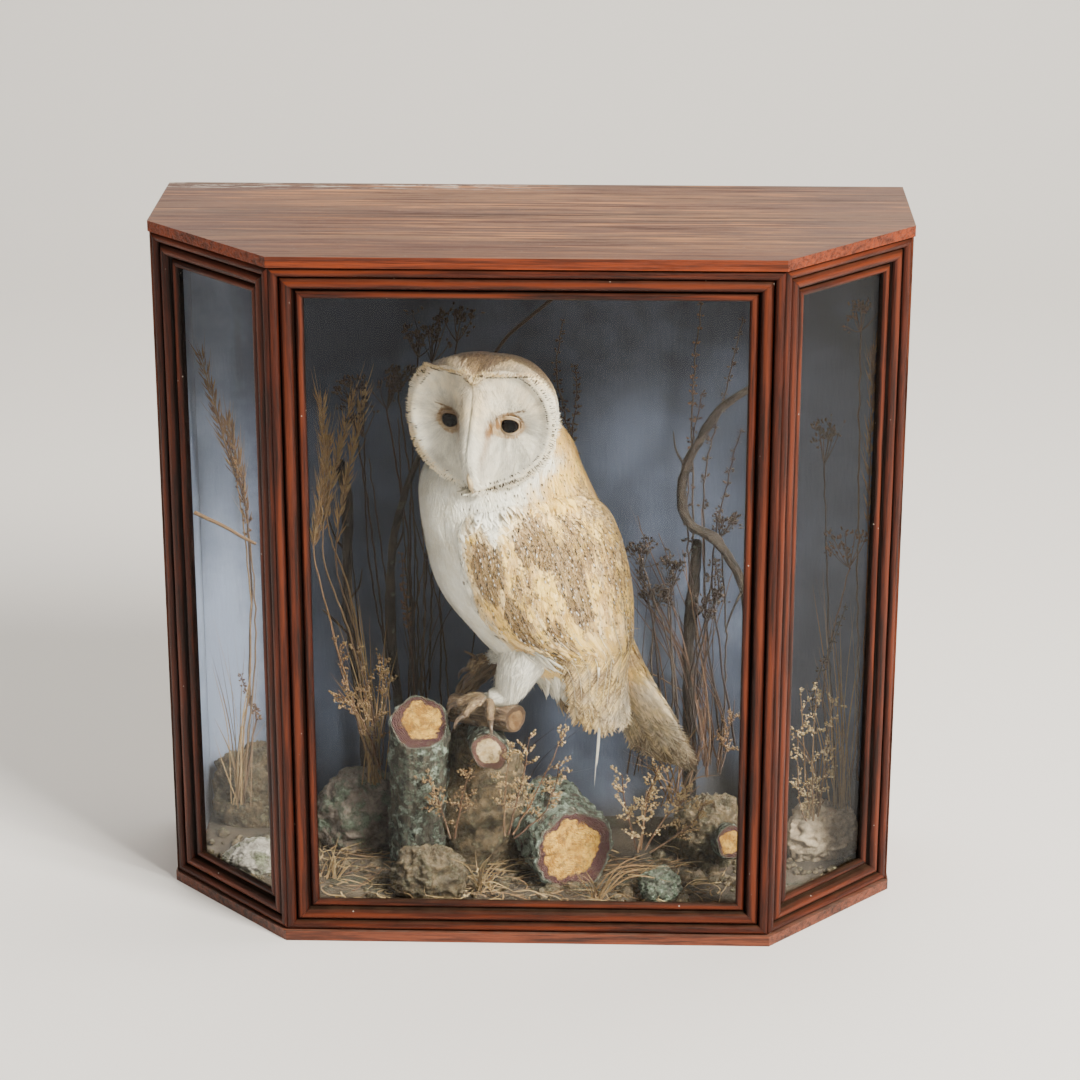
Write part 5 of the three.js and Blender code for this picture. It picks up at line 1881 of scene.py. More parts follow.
# %% A surface with its frame
class Region:
    """A surface of the bird, which way is out, its ranges, and its patch of the unwrapped skin."""

    def __init__(self, at, out, a, b, patch):
        self.at, self.out, self.a, self.b, self.patch = at, out, a, b, patch
        self.step = ((a[1] - a[0]) * 1e-3, (b[1] - b[0]) * 1e-3)

    def frame(self, a, b):
        da, db = self.step
        along_a = (self.at(a + da, b) - self.at(a - da, b)) / (2 * da)
        along_b = (self.at(a, b + db) - self.at(a, b - db)) / (2 * db)
        point = self.at(a, b)
        normal = np.cross(along_a, along_b)
        normal *= np.where(np.sum(normal * self.out(point, a, b), -1, keepdims=True) < 0, -1, 1)
        return point, unit(normal), along_a, along_b

    def unwrapped(self, a, b):
        x0, y0, x1, y1 = self.patch
        return np.stack([
            blend(x0, x1, (a - self.a[0]) / (self.a[1] - self.a[0])),
            blend(y0, y1, (b - self.b[0]) / (self.b[1] - self.b[0])),
        ], -1)

    def scatter(self, per_mm2, seed, keep=None):
        """Roots spread evenly over the surface, about per_mm2 of them on each square millimetre."""
        rng = np.random.default_rng(seed)
        probe = rng.random((4000, 2))
        probe_a, probe_b = blend(*self.a, probe[:, 0]), blend(*self.b, probe[:, 1])
        _, _, ja, jb = self.frame(probe_a, probe_b)
        cell = abs((self.a[1] - self.a[0]) * (self.b[1] - self.b[0]))
        most = np.quantile(np.linalg.norm(np.cross(ja, jb), axis=-1) * cell, 0.995)
        count = int(most * per_mm2)
        steps = np.arange(1, count + 1)
        golden = np.stack([steps * 0.7548776662466927 % 1, steps * 0.5698402909980532 % 1], -1)
        golden = (golden + rng.normal(0, 0.25, golden.shape) / math.sqrt(count)) % 1
        a, b = blend(*self.a, golden[:, 0]), blend(*self.b, golden[:, 1])
        _, _, ja, jb = self.frame(a, b)
        chance = np.linalg.norm(np.cross(ja, jb), axis=-1) * cell / most
        chosen = rng.random(count) < chance
        if keep is not None:
            chosen &= keep(a, b)
        return a[chosen], b[chosen]


# %% Lay tufts
PATCH = 0.003
WIDE_SHAPES = {
    "barb": lambda t: 1.0 - 0.75 * t**2.5,
    "point": lambda t: (1 - t) ** 0.55 * np.minimum(0.55 + 1.6 * t, 1),
    "scale": lambda t: np.minimum(0.45 + 1.5 * t, 1) * np.sqrt(np.maximum(1 - t**4, 0.02)),
    "plume": lambda t: np.minimum(0.4 + 1.8 * t, 1) * (1 - t**2) ** 0.6 + 0.05,
}


class Coat(Heap):
    """A heap of tufts that keeps each one's place on the unwrapped skin."""

    def __init__(self, seed):
        super().__init__()
        self.rng = np.random.default_rng(seed)
        self.places, self.normals = [], []

    def lay(
        self, region, a, b, heading, length, width, shape="point", rows=3, across=2, start=-3.0,
        end=0.0, cup=0.0, curl=0.0, spot=0.0, tone=None, grey_add=0.0, settle=1.6, free=False,
        droop=0.0, shade=None, mark_at=0.45
    ):
        """heading is where the tufts point; start and end are their roots' and tips' heights. A free
        tuft leaves the surface and droops by a share of its length."""
        n = len(a)
        point, normal, ja, jb = region.frame(a, b)
        wanted = np.broadcast_to(heading, point.shape)
        wanted = wanted - np.sum(wanted * normal, -1, keepdims=True) * normal
        wanted = unit(wanted)
        aa, bb, ab = np.sum(ja * ja, -1), np.sum(jb * jb, -1), np.sum(ja * jb, -1)
        wa, wb = np.sum(wanted * ja, -1), np.sum(wanted * jb, -1)
        det = np.maximum(aa * bb - ab * ab, 1e-9)
        step_a, step_b = (wa * bb - wb * ab) / det, (wb * aa - wa * ab) / det
        length = np.broadcast_to(np.asarray(length, float), n)
        width = np.broadcast_to(np.asarray(width, float), n)
        start, end = np.broadcast_to(start, n), np.broadcast_to(end, n)
        chance = self.rng.random(n)
        if shade is not None:
            chance = np.clip(0.35 * chance + 0.65 * shade, 0, 1)
        sides = np.linspace(-1, 1, across)
        grid = np.empty((n, rows + 1, across, 3))
        outs = np.empty((n, rows + 1, across, 3))
        for i, t in enumerate(np.linspace(0, 1, rows + 1)):
            ta = np.clip(a + step_a * length * t, min(region.a), max(region.a))
            tb = b + step_b * length * t
            here, out, _, _ = region.frame(ta, tb)
            short = point + wanted * column(length * t)
            here = np.where(
                np.linalg.norm(here - short, axis=-1, keepdims=True) > column(length * 0.6), short,
                here
            )
            if free:
                here, out = short - column(droop * length * t * t) * UP, normal
            aside = unit(np.cross(out, wanted))
            height = start + (end - start) * math.sin(min(settle * t, 1) * math.pi / 2)
            bend = curl * length * t * t
            wide = WIDE_SHAPES[shape](np.array(t)) * width / 2
            for j, s in enumerate(sides):
                grid[:, i, j] = here + column(
                    height - cup * abs(s) * wide
                ) * out + column(wide * s + bend) * aside
                outs[:, i, j] = out + 0.35 * s * aside
        rows_faces = grid_faces(rows + 1, across)
        faces = (
            rows_faces[:, ::-1][None] + (np.arange(n) * (rows + 1) * across)[:, None, None]
        ).reshape(-1, 4)
        along, over = np.meshgrid(np.linspace(0, 1, rows + 1), sides, indexing="ij")
        vane = np.empty((n, rows + 1, across, 3))
        vane[..., 0], vane[..., 1], vane[..., 2] = along, over, chance[:, None, None]
        marks = markings(
            point + wanted * column(length * mark_at)
        ) if tone is None else np.broadcast_to(tone, (n, 3)).copy()
        marks = np.clip(marks + np.array([0, 1, 0]) * column(np.broadcast_to(grey_add, n)), 0, 1)
        each = (rows + 1) * across
        self.add(
            grid, faces, vane=vane.reshape(-1, 3), tone=np.repeat(marks, each, 0),
            spot=np.repeat(np.broadcast_to(spot, n), each),
        )
        root = region.unwrapped(a, b)
        local = np.stack([over, along - 0.5], -1) * [0.5, 1.0] * PATCH
        self.places.append((root[:, None, None] + local).reshape(-1, 2))
        self.normals.append(unit(outs).reshape(-1, 3))

    def coat_piece(self, name, finish, slot):
        made = self.piece(name, finish, slot)
        places = np.concatenate(self.places).astype(np.float32)
        corners = np.empty(len(made.data.loops), np.int32)
        made.data.loops.foreach_get("vertex_index", corners)
        layer = made.data.uv_layers.new(name="OFBake")
        layer.data.foreach_set("uv", places[corners].ravel())
        made.data.normals_split_custom_set_from_vertices(
            np.concatenate(self.normals).astype(np.float32)
        )
        print(name, len(made.data.polygons) * 2, "triangles")
        return made


# %% Regions of the bird
def from_head(point, a, b):
    return point - HEAD_MIDDLE


def from_body(point, a, b):
    return point - body_axis(point[..., 2])


face_region = Region(
    face, lambda p, a, b: FACE_OUT + 0 * p, (-50, 50), (-45, 33), (0.005, 0.655, 0.295, 0.995)
)
skull_region = Region(
    skull, from_head, (0.0, 0.97), (-math.pi, math.pi), (0.305, 0.655, 0.605, 0.995)
)
torso_region = Region(
    torso, from_body, (341, 133), (-math.pi, math.pi), (0.005, 0.005, 0.395, 0.645)
)
wing_regions = {
    1: Region(
        wing_surface(1), from_body, (292, 106), (-0.995, 0.995), (0.405, 0.005, 0.695, 0.595)
    ),
    -1: Region(
        wing_surface(-1), from_body, (292, 106), (-0.995, 0.995), (0.705, 0.005, 0.995, 0.595)
    ),
}
tail_regions = {
    1: Region(
        tail_surface(1), lambda p, a, b: TAIL_THICK + 0 * p, (0.02, 0.98), (-0.98, 0.98), (
            0.615, 0.655, 0.735, 0.995
        )
    ),
    -1: Region(
        tail_surface(-1), lambda p, a, b: -TAIL_THICK + 0 * p, (0.02, 0.98), (-0.98, 0.98), (
            0.745, 0.655, 0.865, 0.995
        )
    ),
}


def rod_region(stations, patch):
    at, axis = rod(stations)
    return Region(at, lambda p, a, b: p - axis(a), (0.05, 0.97), (0, 2 * math.pi), patch)


thigh_regions = [
    rod_region(LEFT_THIGH, (0.875, 0.830, 0.930, 0.995)),
    rod_region(RIGHT_THIGH, (0.875, 0.655, 0.930, 0.820))
]
shank_regions = [
    rod_region(LEFT_SHANK, (0.940, 0.830, 0.995, 0.995)),
    rod_region(RIGHT_SHANK, (0.940, 0.655, 0.995, 0.820))
]
print("regions ready")

# %% [markdown]
# ## Face
# Short, stiff, open-barbed feathers radiate from each eye to the ruff. Down the middle, two sheets of
# bristles fold over the ridge and part to let the bill's tip through.

# %% Lay the face
face_coat = Coat(11)


def clear_of_eyes(u, v, gap=0.0):
    eye_u = np.abs(u) - EYE_SPREAD / 2
    return (eye_u / (7.3 + gap)) ** 2 + ((v + EYE_DROP) / (6.5 + gap)) ** 2 > 1


def from_eye(u, v):
    """Which side each place is on, and how far it lies across and above that side's eye."""
    side = np.where(u >= 0, 1.0, -1.0)
    return side, u - side * EYE_SPREAD / 2, v + EYE_DROP


def face_heading(u, v):
    """Out from the nearer eye, turning to run down and off the ridge near the middle."""
    side, out_u, out_v = from_eye(u, v)
    size = np.maximum(np.hypot(out_u, out_v), 1e-6)
    out_u, out_v = out_u / size, out_v / size
    ridge = np.exp(-((u / 8.0) ** 2)) * ease(-v, -40, -8) + 0.8 * np.exp(-((u / 7.0) ** 2))
    ridge = np.clip(ridge, 0, 1)
    du = blend(out_u, 0.45 * side, ridge)
    dv = blend(out_v, -1.0, ridge)
    return column(du) * FACE_SIDE + column(dv) * UP


def on_face(u, v):
    on_bill = (np.abs(u) < 1.9) & (v < -39)
    return (face_reach(u, v) < 0.97) & clear_of_eyes(u, v) & ~on_bill


def locks(u, v):
    """How far each spot stands in a lock of feathers that radiates from the eye, -1 to 1."""
    side, out_u, out_v = from_eye(u, v)
    round_eye = np.arctan2(out_v, out_u * side)
    return rough(
        np.stack([round_eye * 15, np.hypot(out_u, out_v) * 0.22, 40 * side], -1), 2.6, 2, 15
    )


for density, seed, thin, low, high in [(2.6, 12, 1.0, -0.9, 0.15), (1.9, 14, 0.62, -0.2, 0.9)]:
    u, v = face_region.scatter(density, seed, on_face)
    near = ease(np.hypot(np.abs(u) - EYE_SPREAD / 2, v + EYE_DROP), 6, 26)
    on_ridge = np.exp(-((u / 9) ** 2))
    length = blend(2.8, 6.8, near) * (0.8 + 0.4 * face_coat.rng.random(len(u))) + 1.4 * on_ridge
    length = np.minimum(length, 1.6 + np.maximum(0.92 - face_reach(u, v), 0) * 46)
    lock = locks(u, v)
    turned = face_heading(u, v) + 0.16 * face_coat.rng.normal(size=(len(u), 3))
    face_coat.lay(
        face_region, u, v, turned, length, thin * blend(0.55, 0.85, near), "point", rows=2,
        start=-2.0, end=face_coat.rng.uniform(low, high, len(u)) + 0.45 * lock + 0.3 * on_ridge,
        curl=face_coat.rng.normal(0, 0.06, len(u)), shade=0.6 + 0.75 * lock, mark_at=0.1,
    )
u, v = face_region.scatter(
    6.0, 13, lambda u, v: clear_of_eyes(u, v, -0.6) & ~clear_of_eyes(u, v, 1.2)
)
lashes = face_heading(u, v) + 0.2 * face_coat.rng.normal(size=(len(u), 3))
dark = np.clip(ease(v, -1.0, 3.0) * 0.9 + 0.25, 0, 1)
face_coat.lay(
    face_region, u, v, lashes, 2.3, 0.36, "point", rows=2, start=-1.4, end=0.6,
    tone=np.stack([0.5 + 0 * u, dark, 0.75 * (face_coat.rng.random(len(u)) < 0.8)], -1), shade=0.2,
)
# long bristles fall from the ridge to both sides
BRISTLES, BROW_BRISTLES = 2600, 90
ridge_u, ridge_v = face_coat.rng.normal(0, 4.6, BRISTLES), face_coat.rng.uniform(-34, 27, BRISTLES)
ridge_side = np.where(ridge_u >= 0, 1.0, -1.0)
shown = clear_of_eyes(ridge_u, ridge_v, 1.5) & (np.abs(ridge_u) < 1.15 * ridge_width(ridge_v) + 1)
ridge_u, ridge_v, ridge_side = ridge_u[shown], ridge_v[shown], ridge_side[shown]
fall = -UP + column(0.32 * ridge_side) * FACE_SIDE + 0.16 * face_coat.rng.normal(
    size=(len(ridge_u), 3)
)
face_coat.lay(
    face_region, ridge_u, ridge_v, fall, face_coat.rng.uniform(4.5, 8.0, len(ridge_u)), 0.5,
    "point", rows=3, start=-0.8, end=face_coat.rng.uniform(0.2, 1.5, len(ridge_u)),
    curl=0.05 * ridge_side, mark_at=0.1,
    shade=0.5 + 0.9 * noise(np.stack([ridge_u * 2.2, ridge_v * 0.25, 0 * ridge_u], -1), 2.0, 17),
)
# stray dark bristles stand over the outer half of each eye
brow = face_coat.rng.random(BROW_BRISTLES)
side = np.where(face_coat.rng.random(BROW_BRISTLES) < 0.5, -1.0, 1.0)
u = side * (EYE_SPREAD / 2 - 2 + 11 * brow)
v = 5.9 + 3.0 * brow + face_coat.rng.normal(0, 0.5, BROW_BRISTLES)
face_coat.lay(
    face_region, u, v,
    column(side) * FACE_SIDE + 0.35 * UP + 0.2 * face_coat.rng.normal(size=(BROW_BRISTLES, 3)), 3.6,
    0.34, "point", rows=2, start=-0.8, end=0.9, tone=np.array([0.2, 1.0, 0.35]), shade=0.1,
)
face_coat.coat_piece("coat_face", soft_plumage, "white_feather")

# %% [markdown]
# The ruff is a dense fringe of short, stiff, curved feathers that frames the disc like a string of
# pearls: white with fine dark tips, darker at the top and along the lower edge.

# %% Lay the ruff
ruff_coat = Coat(21)
RUFF_FEATHERS = 560
rim_turns = np.linspace(-math.pi, math.pi, RUFF_FEATHERS, endpoint=False)
for row, (reach, size, stand) in enumerate(
    [(0.905, 3.6, 0.7), (0.94, 3.9, 1.1), (0.97, 4.2, 1.2), (1.0, 4.8, 0.8)]
):
    turn = rim_turns + ruff_coat.rng.normal(0, 0.006, len(rim_turns)) + 0.0075 * row
    rim = ruff_reach(np.degrees(np.abs(np.arctan2(np.sin(turn), np.cos(turn))))) * (reach - 0.02)
    u, v = rim * np.sin(turn), rim * np.cos(turn)
    outward = column(np.sin(turn)) * FACE_SIDE + column(np.cos(turn)) * UP - 0.6 * FACE_OUT
    outward = outward + 0.12 * ruff_coat.rng.normal(size=outward.shape)
    dark_top = ease(np.cos(turn), 0.35, 0.75)
    dark_low = 0.95 * ease(-np.cos(turn), 0.1, 0.6) * ease(np.sin(turn), -0.35, 0.1)
    dark_side = 0.55 * ease(np.sin(turn), 0.3, 0.8)
    brown_left = ease(-np.sin(turn), 0.5, 0.85) * ease(-np.cos(turn), -0.2, 0.4)
    darkness = np.clip(0.12 + dark_top + dark_low + dark_side, 0, 1)
    patchy = rough(np.stack([turn * 45, 0 * turn + 9 * row, 0 * turn], -1), 5, 2, 23)
    fleck = (
        ruff_coat.rng.random(len(u)) < darkness * (0.75 + 0.6 * patchy)
    ) * ruff_coat.rng.uniform(0.6, 1.0, len(u))
    golden = (0.28 + 0.25 * (row > 1)) * ease(np.cos(turn), 0.35, 0.75) + 0.35 * brown_left
    olive = 0.34 * ease(np.cos(turn), 0.5, 0.85) * (1 + patchy) + 0.12 * brown_left
    tone = np.stack(
        [0.14 + golden + 0.15 * ruff_coat.rng.random(len(u)), 0.3 * fleck + olive, 0 * golden], -1
    )
    tone = np.clip(tone, 0, 1)
    ruff_coat.lay(
        face_region, np.clip(u, -49.8, 49.8), np.clip(v, -44.8, 32.9), outward,
        size * ruff_coat.rng.uniform(0.8, 1.15, len(u)), 0.85, "plume", rows=3, across=3,
        start=-1.8, end=stand * ruff_coat.rng.uniform(0.2, 1.15, len(u)), cup=0.35,
        curl=ruff_coat.rng.normal(0, 0.1, len(u)), tone=tone, spot=0.9 * fleck * (row > 0),
        shade=0.85 + 0.4 * patchy,
    )
    dark = (ruff_coat.rng.random(len(u)) < 0.55 * darkness * (0.7 + 0.7 * patchy)) & (row != 1)
    count = int(dark.sum())
    ruff_coat.lay(
        face_region, np.clip(u[dark], -49.8, 49.8), np.clip(v[dark], -44.8, 32.9), outward[dark],
        ruff_coat.rng.uniform(1.3, 2.4, count), ruff_coat.rng.uniform(0.6, 1.0, count), "point",
        rows=2, start=0.2, end=stand + 0.35, spot=2.0, tone=np.array([0.2, 1.0, 0.0]), shade=0.3,
    )
ruff_coat.coat_piece("coat_ruff", vane_plumage, "white_feather")

# %% [markdown]
# ## Crown, nape and cheeks
# Behind the ruff the feathers are small and close, run back over the crown and turn down the nape.

# %% Lay the crown
crown_coat = Coat(31)
CHEEK_TOP = 322


def not_neck(back, turn):
    return back < 0.93


def over_crown(back, turn):
    """Back over the crown and down the nape, and down and outward on the cheeks."""
    point = skull(back, turn)
    over = blend(-FACE_OUT + 0.15 * UP, -UP - 0.35 * FACE_OUT, ease(back, 0.25, 0.8)[:, None])
    return np.where(
        (point[:, 2] < CHEEK_TOP)[:, None], -UP + 0.3 * (point - HEAD_MIDDLE) / 50, over
    )


back, turn = skull_region.scatter(0.55, 32, not_neck)
n = len(back)
crown_coat.lay(
    skull_region, back, turn, over_crown(back, turn) + 0.10 * crown_coat.rng.normal(size=(n, 3)),
    crown_coat.rng.uniform(7, 10.5, n), crown_coat.rng.uniform(1.9, 2.9, n), "scale", rows=3,
    across=3, start=-2.6, end=crown_coat.rng.uniform(-0.5, 0.5, n), cup=0.3,
    spot=(crown_coat.rng.random(n) < 0.10) * 0.9,
)
back, turn = skull_region.scatter(1.0, 33, not_neck)
n = len(back)
crown_coat.lay(
    skull_region, back, turn, over_crown(back, turn) + 0.22 * crown_coat.rng.normal(size=(n, 3)),
    crown_coat.rng.uniform(5, 9, n), 0.7, "point", rows=2, start=-1.6,
    end=crown_coat.rng.uniform(-0.2, 0.75, n),
)
crown_coat.coat_piece("coat_crown", soft_plumage, "buff_feather")

# %% [markdown]
# ## Neck, breast and back
# The body's own feathers are loose and silky: long narrow tufts that run down it, with shorter
# wisps over them that break up the outline.

# %% Lay the neck and body
def under_wing(z, angle, inset=5):
    degrees = np.degrees(np.abs(angle))
    return (z < 288) & (degrees > wing_front(z) + inset) & (degrees < wing_back(z) - inset)


def flecks(coat, region, a, b, heading, rise, pale=False):
    """Tiny dark or pale tips over the coat."""
    n = len(a)
    if n:
        coat.lay(
            region, a, b, heading, coat.rng.uniform(1.4, 2.4, n), coat.rng.uniform(0.75, 1.2, n),
            "point", rows=2, start=rise - 0.5, end=rise, spot=-1.0 if pale else 2.0,
            tone=np.array([0.3, 0.9, 0.0]), shade=0.4,
        )


def body_heading(z, rng, waver):
    down = body_axis(z - 4) - body_axis(z)
    return unit(down) + waver * rng.normal(size=(len(z), 3))


def body_locks(z, angle):
    """How far each place stands in a lock of silky feathers, and how the lock leans."""
    lock = noise(np.stack([angle * 40, z * 0.35, 0 * z], -1), 7, 3)
    return lock, column(0.28 * lock) * np.cross(UP, body_out(z, angle))


for name, low, high, density, seed in [
    ("coat_neck", 288, 336, 1.0, 41),
    ("coat_breast", 214, 288, 1.15, 51),
    ("coat_belly", 134, 214, 1.0, 61),
]:
    body_coat = Coat(seed)

    def in_reach(z, angle):
        return (z >= low) & (z < high) & ~under_wing(z, angle)

    def sprinkled(z, angle):
        on_side = np.abs(np.abs(angle) - 1.75) < 0.95
        return (z >= max(low, 262)) & (z < min(high, 324)) & on_side & ~under_wing(z, angle)

    z, angle = torso_region.scatter(density, seed + 1, in_reach)
    n = len(z)
    pull = body_coat.rng.uniform(0, 1, n)
    lock, lean = body_locks(z, angle)
    body_coat.lay(
        torso_region, z, angle, body_heading(z, body_coat.rng, 0.07) + lean, blend(10, 17, pull),
        blend(1.3, 2.3, pull), "plume", rows=3, start=-3.6,
        end=blend(-1.2, 0.5, body_coat.rng.random(n)) + 0.8 * lock,
        curl=body_coat.rng.normal(0, 0.05, n), shade=0.85 + 0.3 * lock,
        spot=(body_coat.rng.random(n) < 0.10) * (markings(torso(z, angle))[:, 0] > 0.15),
    )
    z, angle = torso_region.scatter(density * 0.75, seed + 2, in_reach)
    n = len(z)
    lock, lean = body_locks(z, angle)
    body_coat.lay(
        torso_region, z, angle, body_heading(z, body_coat.rng, 0.16) + lean,
        body_coat.rng.uniform(7, 13, n), 0.55, "point", rows=2, start=-2.0,
        end=body_coat.rng.uniform(-0.2, 1.1, n) + 0.8 * lock, shade=0.85 + 0.35 * lock,
    )
    z, angle = torso_region.scatter(0.035, seed + 3, sprinkled)
    flecks(body_coat, torso_region, z, angle, body_heading(z, body_coat.rng, 0.1), 1.3)
    body_coat.coat_piece(name, soft_plumage, "white_feather")
# %% [markdown]
# ## Wings
# Small soft feathers cover the shoulder and grow longer down the wing. Below them lie the flight
# feathers: a shaft with hundreds of barbs that hook together into a vane. Each barb is a strip of
# its own here, so the vanes part and fray at their ends as old ones do.

# %% Lay long feathers barb by barb
def lay_feather(
    coat, region, root, tip, width, barbs=60, lift=0.0, bow=0.0, fray=0.12, tone=None, slant=0.5,
    blunt=0.5
):
    """root and tip are (a, b) on the region. lift is how far its roots stand over the surface."""
    run = (np.arange(barbs) + coat.rng.random(barbs)) / barbs
    run = np.repeat(run, 2)
    side = np.tile([-1.0, 1.0], barbs)
    a = blend(root[0], tip[0], run)
    b = blend(root[1], tip[1], run) + bow * run * (1 - run) * 4
    line = region.at(a + 1e-3 * (tip[0] - root[0]), b + 1e-3 * (tip[1] - root[1])) - region.at(a, b)
    line = unit(line)
    _, normal, _, _ = region.frame(a, b)
    aside = np.cross(normal, line)
    spread = blend(1.05, slant, run)[:, None]
    heading = line * np.cos(spread) + aside * np.sin(spread) * side[:, None]
    half = width / 2 * np.minimum(0.5 + 2.5 * run, 1) * (
        1 - np.clip((run - blunt) / (1 - blunt), 0, 1) ** 3 * 0.55
    )
    reach = half / np.sin(spread[:, 0]) * (1 + fray * coat.rng.normal(size=len(run)))
    shade = np.where(coat.rng.random(len(run)) < 0.03, 0.7, 1.0)
    height = lift + 0.25 * coat.rng.normal(size=len(run)) * fray
    marks = markings(region.at(a, b)) if tone is None else np.broadcast_to(tone, (len(run), 3))
    bars = 0.28 * (np.sin(run * 21 + tip[1] * 9) > 0.35) + 0.12 * coat.rng.normal(size=len(run))
    marks = np.clip(marks + np.array([0, 1, 0]) * column(bars), 0, 1)
    coat.lay(
        region, a, b, heading, reach * shade, 1.15, "barb", rows=2, start=height, end=height - 0.25,
        tone=marks, settle=1.0,
    )
    shaft_run = np.linspace(0, 0.96, 9)[:-1]
    sa, sb = blend(
        root[0], tip[0], shaft_run
    ), blend(root[1], tip[1], shaft_run) + bow * shaft_run * (1 - shaft_run) * 4
    straight = unit(
        region.at(sa + 1e-3 * (tip[0] - root[0]), sb + 1e-3 * (tip[1] - root[1]))
        - region.at(sa, sb)
    )
    size = np.linalg.norm(region.at(*np.array(tip)) - region.at(*np.array(root)))
    coat.lay(
        region, sa, sb, straight, size / 8 * 1.15, blend(0.75, 0.35, shaft_run), "barb", rows=2,
        start=lift + 0.22, end=lift + 0.2, tone=np.broadcast_to([0.42, 0.12, 0.0], (len(sa), 3)),
        settle=1.0,
    )


# %% Lay both wings
def down_wing(region, z, across):
    along = unit(region.at(z - 2, across) - region.at(z, across))
    drop = unit(body_axis(z - 4) - body_axis(z))
    return unit(blend(along, drop, ease(z, 245, 275)[:, None]))


for side, name in ((1, "left"), (-1, "right")):
    region = wing_regions[side]
    wing_coat = Coat(71 + side)
    rng = wing_coat.rng
    # primaries show beyond the secondaries, which the coverts then cover from the shoulder down
    for k in range(11):
        across = blend(-0.72, 0.80, k / 10)
        lay_feather(
            wing_coat, region, (198, across * 0.92),
            (108 + rng.uniform(0, 16), across + rng.uniform(-0.05, 0.05)), 13.5, barbs=80,
            lift=-1.6 + 0.14 * k, bow=rng.uniform(-0.05, 0.12), fray=0.24, blunt=0.7
        )
    for k in range(10):
        across = blend(-0.78, 0.86, k / 9)
        lay_feather(
            wing_coat, region, (226, across * 0.9),
            (blend(140, 120, k / 9) + rng.uniform(-6, 10), across), 13.5, barbs=72,
            lift=-0.5 + 0.12 * k, bow=rng.uniform(-0.04, 0.1), fray=0.2, blunt=0.65
        )
    for top, low, long, wide, density, rise in [
        (226, 196, (20, 27), (6.5, 8.5), 0.075, 0.2), (250, 212, (14, 19), (5.0, 6.5), 0.14, 0.35),
        (293, 236, (9, 13.5), (3.8, 5.2), 0.26, 0.45),
    ]:
        z, across = region.scatter(
            density, int(top) + side, lambda z, across: (z < top) & (z >= low)
        )
        n = len(z)
        wing_coat.lay(
            region, z, across, down_wing(region, z, across) + 0.07 * rng.normal(size=(n, 3)),
            rng.uniform(*long, n), rng.uniform(*wide, n), "scale", rows=4, across=3, start=-2.6,
            end=rise + rng.uniform(-0.5, 0.4, n), cup=0.22, curl=rng.normal(0, 0.03, n),
            spot=(rng.random(n) < 0.34) * rng.uniform(0.6, 1.0, n), grey_add=rng.normal(0, 0.12, n),
        )
    z, across = region.scatter(0.85, 90 + side, lambda z, across: z > 204)
    n = len(z)
    wing_coat.lay(
        region, z, across, down_wing(region, z, across) + 0.2 * rng.normal(size=(n, 3)),
        rng.uniform(5, 10, n), 0.75, "point", rows=2, start=-1.4, end=rng.uniform(-0.1, 0.85, n),
        grey_add=rng.normal(0, 0.12, n),
    )
    z, across = region.scatter(0.12, 95 + side, lambda z, across: z > 176)
    across = np.clip(np.round(across / 0.07) * 0.07 + rng.normal(0, 0.007, len(z)), -0.97, 0.97)
    greyness = markings(region.at(z, across))[:, 1]
    chosen = rng.random(len(z)) < 0.10 + 0.75 * ease(greyness, 0.3, 0.75)
    z, across = z[chosen], across[chosen]
    flecks(wing_coat, region, z, across, down_wing(region, z, across), 1.25)
    z, across = z[::5] - 2.3, across[::5]
    flecks(wing_coat, region, z, across, down_wing(region, z, across), 1.2, pale=True)
    if side == 1:
        # one small feather is bent across the edge of the wing, over a rusty gap, and a loose one hangs below
        n = 15
        z, across = 186 - rng.uniform(0, 7, n), rng.uniform(-0.93, -0.72, n)
        bent = 0.75 * FACE_SIDE - 0.85 * UP + 0.12 * rng.normal(size=(n, 3))
        wing_coat.lay(
            region, z, across, bent, rng.uniform(11, 19, n), rng.uniform(1.8, 3.4, n), "plume",
            rows=5, start=0.6, end=rng.uniform(1.5, 4.0, n), curl=rng.uniform(-0.25, 0.1, n),
            tone=np.array([0.12, 0.05, 0.0]), free=True, droop=0.1,
        )
        n = 40
        wing_coat.lay(
            region, rng.uniform(171, 178, n), rng.uniform(-0.96, -0.84, n),
            -UP + 0.3 * rng.normal(size=(n, 3)), 4.0, 1.2, "point", rows=2, start=0.3, end=1.4,
            tone=np.array([0.5, 0.6, 0.9]), shade=0.3,
        )
        wing_coat.lay(
            region, np.array([117.0, 116.0]), np.array([-0.21, -0.19]), -UP, np.array([52.0, 33.0]),
            np.array([1.0, 2.2]), "point", rows=6, start=0.0, end=1.0,
            tone=np.array([0.06, 0.0, 0.0]), free=True, shade=0.9,
        )
    wing_coat.coat_piece("coat_wing_" + name, vane_plumage, "buff_feather")

# %% [markdown]
# ## Tail
# Twelve square-ended feathers lie over each other like a closed fan, with soft coverts over
# their roots above and below.

# %% Lay the tail
tail_coat = Coat(101)
for face_side, region in tail_regions.items():
    for k in range(8):
        across = blend(-0.80, 0.80, k / 7)
        lay_feather(
            tail_coat, region, (0.30, across * 0.8),
            (0.965 - 0.03 * abs(across) - 0.02 * tail_coat.rng.random(), across), 14.0, barbs=66,
            lift=-0.9 + 0.12 * (4 - abs(k - 3.5)), fray=0.10, slant=0.62, blunt=0.8,
        )
    run, across = region.scatter(0.55, 103 + face_side, lambda run, across: run < 0.52)
    n = len(run)
    down = unit(region.at(run + 0.01, across) - region.at(run, across))
    tail_coat.lay(
        region, run, across, down + 0.12 * tail_coat.rng.normal(size=(n, 3)),
        tail_coat.rng.uniform(11, 18, n), tail_coat.rng.uniform(1.6, 3.6, n), "plume", rows=3,
        start=-2.8, end=tail_coat.rng.uniform(-0.6, 0.5, n),
        spot=(tail_coat.rng.random(n) < 0.08) * 0.8,
    )
